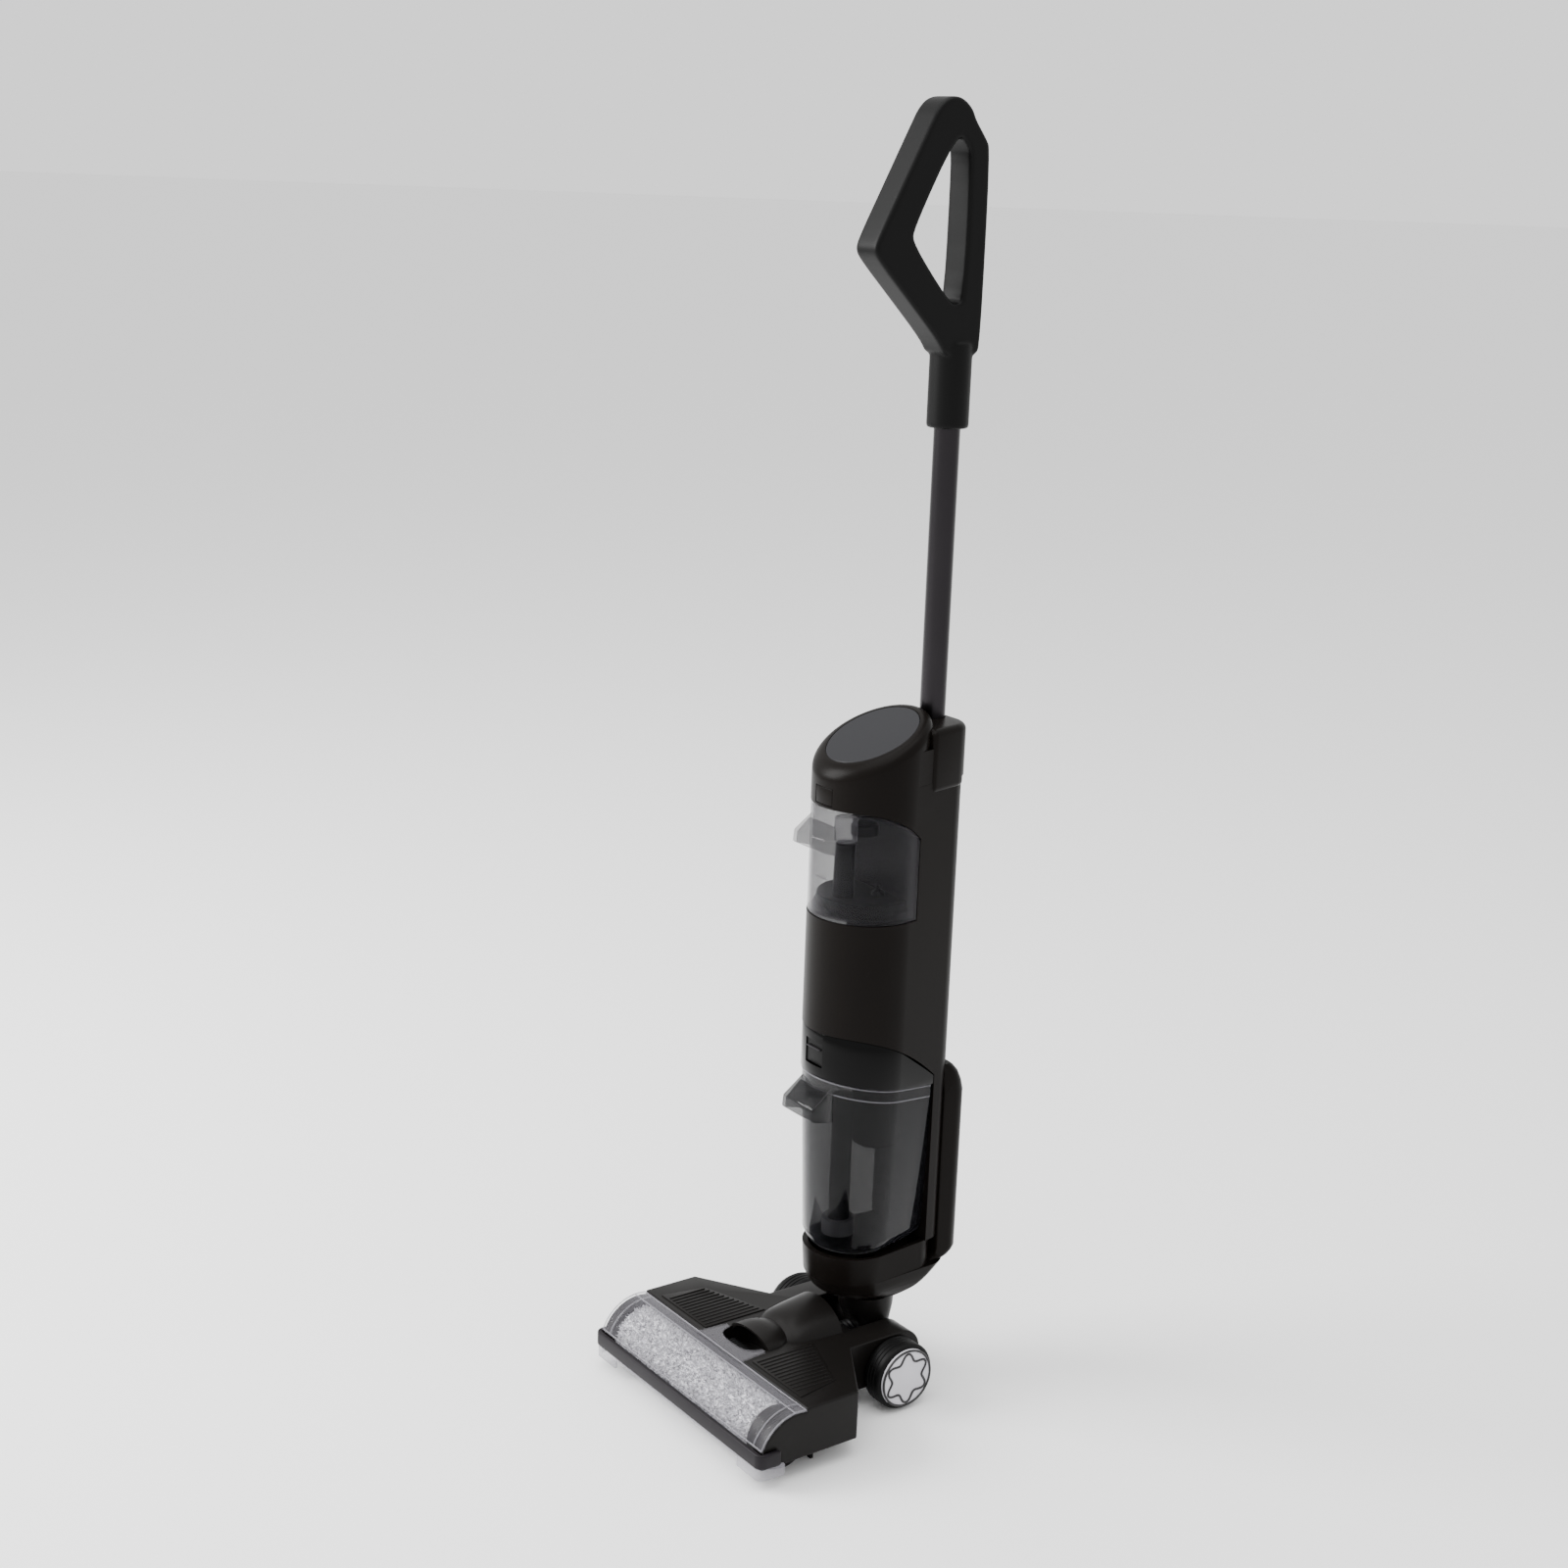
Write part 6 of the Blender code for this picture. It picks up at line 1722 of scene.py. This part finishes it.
@dataclass
class Head:
    """The floor head: upper shell, clear cover, strip, guards and neck."""

    half: float = 0.1255
    roller_y: float = -0.1040
    roller_radius: float = 0.0280
    skirt: float = 0.0170
    strip_low: float = 0.0210
    strip_top: float = 0.0340
    guard_low: float = 0.0100
    cheek: float = 0.0120
    wall: float = 0.0022
    cover_rear: float = -0.0910
    recess_half: float = 0.0270
    recess_front: float = -0.0820
    recess_back: float = -0.0500

    def __post_init__(self) -> None:
        """Work out the cover's arc and the head's top."""
        self.cover_y = self.roller_y + 0.0045
        self.cover_z = self.roller_radius - 0.0060
        self.cover_radius = self.roller_radius + 0.0117
        self.top = self.cover_z + self.cover_radius
        self.cheek_radius = self.cover_radius - self.wall - GAP

    def cover_arc(self, radius: float, front_z: float, back_y: float, steps: int) -> list[Point2]:
        """Side view of an arc over the roller.

        Args:
            radius: its radius.
            front_z: the height it starts at, in front.
            back_y: the place it ends at, behind.
            steps: how many straight pieces it has.

        Returns:
            The points, front first.
        """
        first = 180 - math.degrees(math.asin((front_z - self.cover_z) / radius))
        last = math.degrees(math.acos((back_y - self.cover_y) / radius))
        return arc((self.cover_y, self.cover_z), radius, first, last, steps)

    def arch(
        self, name: str, sections: Sequence[Sequence[float]], low: float, steps: int = 6
    ) -> bpy.types.Object:
        """A rounded arch that changes along Y: place, half width and top height.

        Args:
            name: the piece's name.
            sections: place, half width and top height of each section.
            low: the height of its foot.
            steps: how many rings are made for each gap.

        Returns:
            The arch.
        """
        rings = []
        for y, half, top in blend_rows(sections, steps):
            ring = [(half, y, low - 0.002)]
            for k in range(34):
                theta = math.pi * k / 33
                ring.append((half * math.cos(theta), y, low + (top - low) * math.sin(theta)))
            rings.append(ring + [(-half, y, low - 0.002)])
        return loft(name, rings)

    def shell(self) -> None:
        """Build the upper shell with its arms, shroud, hood and recess."""
        rear = arc((0.0600, 0.0400), 0.0215, 90, -60, 24)
        side = self.cover_arc(self.cheek_radius, self.skirt, self.cover_rear, 40)
        side += [(self.cover_rear + GAP, self.top)] + rear + [(0.0580, self.skirt)]
        part = slab("head_upper_shell", side, -self.half, self.half, Plane.SIDE)
        right = [(self.half, -0.17), (self.half, -0.0370), (0.0615, 0.0030), (0.0615, 0.11)]
        right += [(0.0330, 0.11), (0.0330, 0.0240)]
        plan = right + [(-x, y) for x, y in reversed(right)]
        combine(part, Join.KEEP_COMMON, slab("head_plan", plan, 0.0, 0.2))
        round_edges(part, 0.0024, 4, 42.0)
        recess = cut_corners(
            [
                (-self.recess_half, self.recess_front),
                (self.recess_half, self.recess_front),
                (self.recess_half, self.recess_back + 0.004),
                (-self.recess_half, self.recess_back + 0.004),
            ],
            3,
            0.28,
        )
        combine(part, Join.REMOVE, slab("finger_recess", recess, self.top - 0.016, self.top + 0.02))
        shroud = self.arch(
            "neck_shroud",
            (
                (-0.047, 0.020, self.top + 0.0008),
                (-0.036, 0.029, self.top + 0.0080),
                (-0.022, 0.034, self.top + 0.0150),
                (0.0135, 0.037, self.top + 0.0205),
            ),
            self.top - 0.008,
        )
        hood = self.arch(
            "latch_hood",
            (
                (self.recess_back - 0.012, 0.0290, self.top + 0.0085),
                (self.recess_back + 0.004, 0.0270, self.top + 0.0100),
                (self.recess_back + 0.020, 0.0180, self.top + 0.0070),
            ),
            self.top - 0.0015,
        )
        under = self.arch(
            "hood_gap",
            (
                (self.recess_back - 0.020, 0.0268, self.top + 0.0065),
                (self.recess_back + 0.002, 0.0240, self.top + 0.0075),
            ),
            self.top - 0.004,
        )
        combine(hood, Join.REMOVE, under)
        combine(part, Join.ADD, shroud, hood)
        for side_sign in (-1, 1):
            corners = [(0.036, -0.0850), (0.108, -0.0850), (0.100, -0.0430), (0.036, -0.0200)]
            outline = [(side_sign * x, y) for x, y in corners]
            panel = slab(f"panel_{side_sign}", outline, self.top - 0.001, self.top + 0.0009)
            round_edges(panel, 0.0007, 2, 30.0)
            combine(part, Join.ADD, panel)
        chamber = [(0.0, 0.0), (0.031, 0.0), (0.031, 0.227), (0.0, 0.227)]
        combine(
            part,
            Join.REMOVE,
            turned("chamber", chamber, (-0.1135, self.roller_y, self.roller_radius), Axis.ACROSS),
            block("mouth", (-0.1135, -0.2, -0.01), (0.1135, self.cover_rear - GAP, 0.1)),
            turned(
                "duct",
                [(0.0, 0.0), (0.0095, 0.0), (0.0095, 0.05), (0.0, 0.05)],
                (0.0, -0.01, 0.036),
                Axis.ALONG,
            ),
        )
        for side_sign in (-1, 1):
            start = 0.020 if side_sign > 0 else -0.075
            for y, z in ((0.068, 0.040), (0.048, 0.0305)):
                hole = [(0.0, 0.0), (0.0043, 0.0), (0.0043, 0.055), (0.0, 0.055)]
                combine(part, Join.REMOVE, turned("hole", hole, (start, y, z), Axis.ACROSS, 32))
        dress(part, HEAD_BLACK, "head", "head", "head_cover")

    def ribs(self) -> None:
        """Lay the fine ribs on the two raised panels."""
        for name, sign in (("left_panel_ribs", -1.0), ("right_panel_ribs", 1.0)):
            count, first, pitch = 12, 0.0405, 0.0052
            made = repeat(
                name,
                bar_row_tree(),
                None,
                {
                    "Count": count,
                    "Start": (sign * first, -0.0825, self.top + 0.0009),
                    "Step": (sign * pitch, 0.0, 0.0),
                    "Length": 0.0580,
                    "Shorten": 0.00185,
                    "Width": 0.0017,
                    "Rise": 0.0014,
                },
                HEAD_BLACK,
            )
            dress(made, HEAD_BLACK, "head", "head")

    def cover(self) -> None:
        """Build the clear cover over the roller, with painted highlight lines along its edges, and its tab.
        """
        front = self.strip_top + 0.0005
        outer = self.cover_arc(self.cover_radius, front, self.cover_rear, 48)
        inner = self.cover_arc(self.cover_radius - self.wall, front, self.cover_rear, 48)
        part = slab("clear_cover", inner + list(reversed(outer)), -self.half, self.half, Plane.SIDE)
        round_edges(part, 0.0006, 2, 60.0)
        half, low = self.recess_half + 0.006, self.top + GAP
        tab = slab(
            "tab",
            [(-half, -0.097), (half, -0.097), (half - 0.003, -0.0665), (-half + 0.003, -0.0665)],
            low,
            self.top + 0.0020,
        )
        riser = block("riser", (-half, -0.097, self.top - 0.0018), (half, -0.0912, self.top + 0.0010))
        window = cut_corners(
            [(-0.0255, self.recess_front), (0.0255, self.recess_front), (0.0255, -0.03), (-0.0255, -0.03)],
            3,
            0.2,
        )
        combine(part, Join.ADD, riser, tab)
        combine(part, Join.REMOVE, slab("tab_window", window, self.top - 0.001, self.top + 0.01))
        dress(part, COVER_CLEAR, "brush_cover", "clear", "brush_cover")
        # Pale beads along the cover's side edges, its two bands, its step, its rear edge and its front:
        # painted highlight lines.
        run = self.cover_arc(self.cover_radius - 0.0006, front + 0.001, self.cover_rear - 0.0008, 40)
        for name, x in (
            ("cover_edge_highlight_left", -self.half + 0.0008),
            ("cover_edge_highlight_right", self.half - 0.0008),
            ("cover_band_highlight_left", -self.half + 0.0125),
            ("cover_band_highlight_right", self.half - 0.0125),
        ):
            edge = bead(name, [(x, y, z) for y, z in run], 0.0006)
            dress(edge, HIGHLIGHT_CLEAR, "brush_cover", "clear")
        for name, (y, z) in (("cover_rear_edge_highlight", run[-1]), ("cover_step_highlight", run[-9]), ("cover_front_highlight", run[0])):
            path = [(-self.half + 0.001, y, z), (self.half - 0.001, y, z)]
            dress(bead(name, path, 0.0006), HIGHLIGHT_CLEAR, "brush_cover", "clear")

    def latch(self) -> None:
        """Build the sliding catch in the recess."""
        low = self.top - 0.0157
        part = block("cover_catch", (-0.0170, -0.0740, low), (0.0170, -0.0670, low + 0.0105))
        round_edges(part, 0.0016, 3)
        dress(part, DARK_PLASTIC, "cover_latch", "inner", "cover_latch")
        ribs = repeat(
            "catch_ribs",
            bar_row_tree(),
            None,
            {
                "Count": 9,
                "Start": (-0.0136, -0.0737, low + 0.0105),
                "Step": (0.0034, 0.0, 0.0),
                "Length": 0.0060,
                "Shorten": 0.0,
                "Width": 0.0012,
                "Rise": 0.0012,
            },
            DARK_PLASTIC,
        )
        dress(ribs, DARK_PLASTIC, "cover_latch", "inner")

    def strip(self) -> None:
        """Build the soft strip along the front."""
        out, back, front = self.half + 0.0052, -0.1200, self.roller_y - 0.0380
        inner_x, inner_y = self.half + 0.0006, self.cover_y - self.cheek_radius - 0.0006
        corner = 0.008
        loop = [(-out, back)] + arc((-out + corner, front + corner), corner, 180, 270, 12)
        loop += arc((out - corner, front + corner), corner, 270, 360, 12) + [(out, back)]
        loop += [(inner_x, back), (inner_x, inner_y), (-inner_x, inner_y), (-inner_x, back)]
        part = slab("front_strip", loop, self.strip_low, self.strip_top)
        round_edges(part, 0.0014, 3, 50.0)
        dress(part, STRIP_GREY, "head", "strip", "bumper_strip")

    def guards(self) -> None:
        """Build the clear guards under the strip."""
        out, front = self.half + 0.0045, self.roller_y - 0.0372
        low, high, wall, corner = self.guard_low, self.strip_low - GAP, 0.0030, 0.008
        rail_half = self.half - 0.020
        part = block(
            "front_guard",
            (-rail_half, front + 0.0004, high - 0.0022),
            (rail_half, front + 0.0026, high - 0.0002),
        )
        for sign in (-1, 1):
            loop = [(out - 0.034, front)] + arc((out - corner, front + corner), corner, 270, 360, 10)
            loop += [(out, front + 0.026), (out - wall, front + 0.026)]
            loop += arc((out - corner, front + corner), corner - wall, 360, 270, 10)
            loop += [(out - 0.034, front + wall)]
            end = slab(f"guard_{sign}", [(sign * x, y) for x, y in loop], low, high)
            round_edges(end, 0.0007, 2, 50.0)
            combine(part, Join.ADD, end)
        # The guards' pale clear finish is a painted highlight.
        dress(part, HIGHLIGHT_CLEAR, "head", "clear", "corner_guards")

    def neck(self) -> None:
        """Build the neck: a cross barrel and a flared post."""
        barrel = [(0.0, 0.0), (0.0138, 0.0), (0.0145, 0.0007)]
        barrel += [(0.0145, 0.0623), (0.0138, 0.063), (0.0, 0.063)]
        part = turned("neck_joint", barrel, (-0.0315, 0.068, 0.040), Axis.ACROSS, 72)
        rows = (
            (0.0400, 0.0110, 0.0140, 0.0680),
            (0.0500, 0.0080, 0.0165, 0.0668),
            (0.0600, 0.0030, 0.0222, 0.0660),
            (0.0670, 0.0002, 0.0250, 0.0660),
            (0.0762, 0.0002, 0.0250, 0.0660),
        )
        rings = []
        for level, spread, radius, y in blend_rows(rows, 5):
            rings.append(lift(hull([(spread, y, radius), (-spread, y, radius)], count=96), level))
        combine(part, Join.ADD, loft("neck_post", rings))
        duct = [(0.0, 0.0), (0.011, 0.0), (0.011, 0.1), (0.0, 0.1)]
        pin = [(0.0, 0.0), (0.0043, 0.0), (0.0043, 0.2), (0.0, 0.2)]
        combine(
            part,
            Join.REMOVE,
            turned("neck_duct", duct, (0.0, 0.066, 0.010)),
            turned("neck_pin", pin, (-0.1, 0.068, 0.040), Axis.ACROSS, 32),
        )
        dress(part, HEAD_BLACK, "neck", "head", "neck_yoke")

    def hose(self) -> None:
        """Build the ribbed hose in front of the neck."""
        start, pitch, ribs = 0.0243, 0.0044, 6
        outside: list[Point2] = []
        for k in range(ribs * 8 + 1):
            share = k / 8
            outside.append((0.0115 - 0.0010 * math.cos(2 * math.pi * share), start + pitch * share))
        profile = list(reversed(outside)) + [(0.0090, start), (0.0090, start + pitch * ribs)]
        hose = turned("suction_bellows", profile, (0.0, 0.0, 0.036), Axis.ALONG, 48, 60.0)
        dress(hose, SOFT_GRIP, "head", "soft", "suction_hose")

    def build(self) -> None:
        """Build the head."""
        self.shell()
        self.ribs()
        self.cover()
        self.latch()
        self.strip()
        self.guards()
        self.neck()
        self.hose()


@dataclass
class Roller:
    """The roller: pile, tufts and end cap."""

    y: float = -0.1040
    z: float = 0.0280
    radius: float = 0.0280
    left: float = -0.1110
    right: float = 0.0930

    def build(self) -> None:
        """Build the pile sleeve, its tufts and the dark end cap."""
        skin = self.radius - 0.0020
        core = 0.0203
        profile = [(skin - 0.0010, self.right), (skin, self.right - 0.001), (skin, self.left + 0.001)]
        profile += [(skin - 0.0010, self.left), (core, self.left), (core, self.right)]
        sleeve = turned("pile_sleeve", profile, (0.0, self.y, self.z), Axis.ACROSS, 96)
        dress(sleeve, PILE, "roller", "pile", "roller_pile")
        base = turned(
            "tuft_ground",
            [(skin, self.left + 0.001), (skin, self.right - 0.001), (skin - 0.0001, self.right - 0.001)],
            (0.0, self.y, self.z),
            Axis.ACROSS,
            96,
        )
        tufts = repeat(
            "pile_tufts_on_roller",
            tuft_tree(),
            base.data,
            {"Density": 420000.0, "Length": 0.0034, "Thickness": 0.0007, "Lean": 0.45, "Seed": 7},
            PILE,
        )
        bpy.data.objects.remove(base, do_unlink=True)
        dress(tufts, PILE, "roller", "pile")
        inner, outer, rim = 0.0945, 0.1120, 0.0260
        profile = [(0.0, 0.1180), (0.0040, 0.1180), (0.0040, outer), (0.0100, outer)]
        profile += [(0.0110, outer - 0.0015), (0.0190, outer - 0.0015), (0.0200, outer)]
        profile += [(rim - 0.002, outer), (rim, outer - 0.003), (rim, inner), (0.0, inner)]
        cap = turned("roller_cap", profile, (0.0, self.y, self.z), Axis.ACROSS, 72)
        dress(cap, HEAD_BLACK, "roller", "head", "roller_end_cap")


@dataclass
class Wheel:
    """One rear wheel with its grooved tyre and its pale cap."""

    name: str
    sign: float
    y: float = 0.0480
    radius: float = 0.0305
    inner_x: float = 0.0630
    width: float = 0.0205

    def turned_out(self, name: str, profile: Sequence[Point2], steps: int) -> bpy.types.Object:
        """Turn a profile whose heights run outwards from the wheel's inner face."""
        points = [(r, self.sign * (self.inner_x + h)) for r, h in profile]
        return turned(name, points, (0.0, self.y, self.radius), Axis.ACROSS, steps, 40.0)

    def build(self) -> None:
        """Build the tyre, the cap and the cap's six-point line."""
        wide, radius = self.width, self.radius
        profile = [(0.0243, wide), (radius - 0.0022, wide)]
        profile += [(radius - 0.0008, wide - 0.0009), (radius, wide - 0.0028)]
        for groove in range(3):
            start = wide - 0.0065 - 0.0040 * groove
            profile += [(radius, start + 0.0006), (radius - 0.0008, start), (radius, start - 0.0006)]
        profile += [(radius, 0.0024), (radius - 0.0015, 0.0), (0.0243, 0.0)]
        tyre = self.turned_out(f"{self.name}_tread", profile, 96)
        dress(tyre, RUBBER, f"wheel_{self.name}", "tyre", f"tyre_{self.name}")
        face = wide + GAP
        profile = [(0.0, face + 0.0022), (0.0075, face + 0.0024), (0.0090, face + 0.0020)]
        profile += [(0.0210, face + 0.0024), (0.0245, face + 0.0024), (0.0262, face + 0.0016)]
        profile += [(0.0268, face), (0.0, face)]
        cap = self.turned_out(f"{self.name}_cap", profile, 96)
        dress(cap, PALE_PLASTIC, f"wheel_{self.name}", "pale", f"hub_cap_{self.name}")
        for label, path in (("star", self.star()), ("ring", self.circle(0.0258))):
            line = bead(f"{self.name}_cap_{label}", path, 0.0011, True)
            dress(line, LINE_BLACK, f"wheel_{self.name}", "soft")

    def place(self, radius: float, theta: float) -> Point3:
        """A point on the cap's face."""
        x = self.sign * (self.inner_x + self.width + GAP + 0.0024)
        return (x, self.y + radius * math.cos(theta), self.radius + radius * math.sin(theta))

    def circle(self, radius: float) -> list[Point3]:
        """A circle on the cap's face."""
        return [self.place(radius, 2 * math.pi * k / 96) for k in range(96)]

    def star(self) -> list[Point3]:
        """A closed line with six points joined by hollow curves.

        Returns:
            The points of the line.
        """
        points = []
        for k in range(144):
            theta = 2 * math.pi * k / 144
            wave = abs(math.cos(3 * theta))
            points.append(self.place(0.0165 + 0.0068 * wave**2.2, theta + math.pi / 2))
        return points


# ---------------------------------------------------------------- carried-over nodes

CARRIED: dict[str, Finish] = {
    "latch_spring": STEEL,
    "display_board": BOARD,
    "suction_motor": STEEL,
    "impeller": DARK_PLASTIC,
    "control_board": BOARD,
    "water_pump": DARK_PLASTIC,
    "battery_cells": CELL_SLEEVE,
    "filter_core": PALE_PLASTIC,
    "standpipe": SMOKE,
    "float_ring": PALE_PLASTIC,
    "tilt_pin_left": STEEL,
    "tilt_pin_right": STEEL,
    "wheel_axle_left": STEEL,
    "wheel_axle_right": STEEL,
    "head_base": HEAD_BLACK,
    "squeegee": RUBBER,
    "spray_bar": DARK_PLASTIC,
    "brush_motor": STEEL,
    "motor_pulley": DARK_PLASTIC,
    "roller_pulley": DARK_PLASTIC,
    "drive_belt": BELT_RUBBER,
    "roller_core": DARK_PLASTIC,
    "roller_bearing": STEEL,
    "hub_left": HEAD_BLACK,
    "hub_right": HEAD_BLACK,
}


def dress_carried() -> None:
    """Give the nodes that stay as they are their finishes."""
    for name, finish in CARRIED.items():
        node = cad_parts[name]
        material = finish.material()
        if not node.material_slots:
            node.data.materials.append(material)
        for place in node.material_slots:
            place.material = material
        LOG.info("%s carried over", name)


# ---------------------------------------------------------------- studio


@dataclass
class Studio:
    """The pale floor, the soft lights and the camera."""

    camera_at: Point3 = (1.532486, -1.167429, 1.068400)
    azimuth: float = 53.819
    pitch: float = 14.855
    roll: float = -2.067
    lens: float = 54.343

    def camera(self) -> None:
        """Stand the camera where it looks down on the machine's front and right side."""
        a, e, r = (math.radians(v) for v in (self.azimuth, self.pitch, self.roll))
        back = Vector((math.sin(a) * math.cos(e), -math.cos(a) * math.cos(e), math.sin(e)))
        right = Vector((math.cos(a), math.sin(a), 0.0))
        up = back.cross(right)
        across = right * math.cos(r) - up * math.sin(r)
        above = right * math.sin(r) + up * math.cos(r)
        data = bpy.data.cameras.new("camera")
        data.lens = self.lens
        data.sensor_width = 36.0
        data.clip_end = 60.0
        made = bpy.data.objects.new("camera", data)
        bpy.context.scene.collection.objects.link(made)
        turn = Matrix((across, above, back)).transposed().to_4x4()
        made.matrix_world = Matrix.Translation(self.camera_at) @ turn
        bpy.context.scene.camera = made

    def light(self, name: str, at: Point3, towards: Point3, size: float, power: float) -> None:
        """Hang one square soft light.

        Args:
            name: the light's name.
            at: where it hangs.
            towards: the point that it faces.
            size: the length of its side.
            power: its power in watts.
        """
        data = bpy.data.lights.new(name, "AREA")
        data.shape = "SQUARE"
        data.size = size
        data.energy = power
        made = bpy.data.objects.new(name, data)
        bpy.context.scene.collection.objects.link(made)
        look = (Vector(towards) - Vector(at)).to_track_quat("-Z", "Y")
        made.matrix_world = Matrix.Translation(at) @ look.to_matrix().to_4x4()

    def build(self) -> None:
        """Build the studio."""
        self.camera()
        self.light("key", (-1.5, -2.0, 1.8), (0.0, 0.0, 0.45), 1.6, 135.0)
        self.light("top", (0.2, -0.4, 3.4), (0.0, 0.0, 0.0), 3.0, 90.0)
        world = bpy.data.worlds.new("studio")
        world.use_nodes = True
        shade = world.node_tree.nodes["Background"]
        shade.inputs["Color"].default_value = (1.0, 1.0, 1.0, 1.0)
        shade.inputs["Strength"].default_value = 1.30
        bpy.context.scene.world = world
        bpy.ops.mesh.primitive_plane_add(size=400.0, location=(0.0, 0.0, -0.0004))
        floor = bpy.context.object
        floor.name = "floor"
        paper = bpy.data.materials.new("pale_floor")
        paper.use_nodes = True
        shader = paper.node_tree.nodes["Principled BSDF"]
        shader.inputs["Base Color"].default_value = (0.93, 0.93, 0.93, 1.0)
        shader.inputs["Roughness"].default_value = 0.85
        shader.inputs["Specular IOR Level"].default_value = 0.1
        floor.data.materials.append(paper)


def main() -> None:
    """Build every sub-assembly in order."""
    logging.basicConfig(level=logging.INFO, format="%(name)s: %(message)s")
    housing = Housing(BodyPlan())
    housing.build()
    Battery().build()
    CleanTank(housing).build()
    DirtyTank(housing).build()
    Mast().build()
    Head().build()
    Roller().build()
    Wheel("left", -1.0).build()
    Wheel("right", 1.0).build()
    dress_carried()
    Studio().build()


if __name__ == "__main__":
    main()
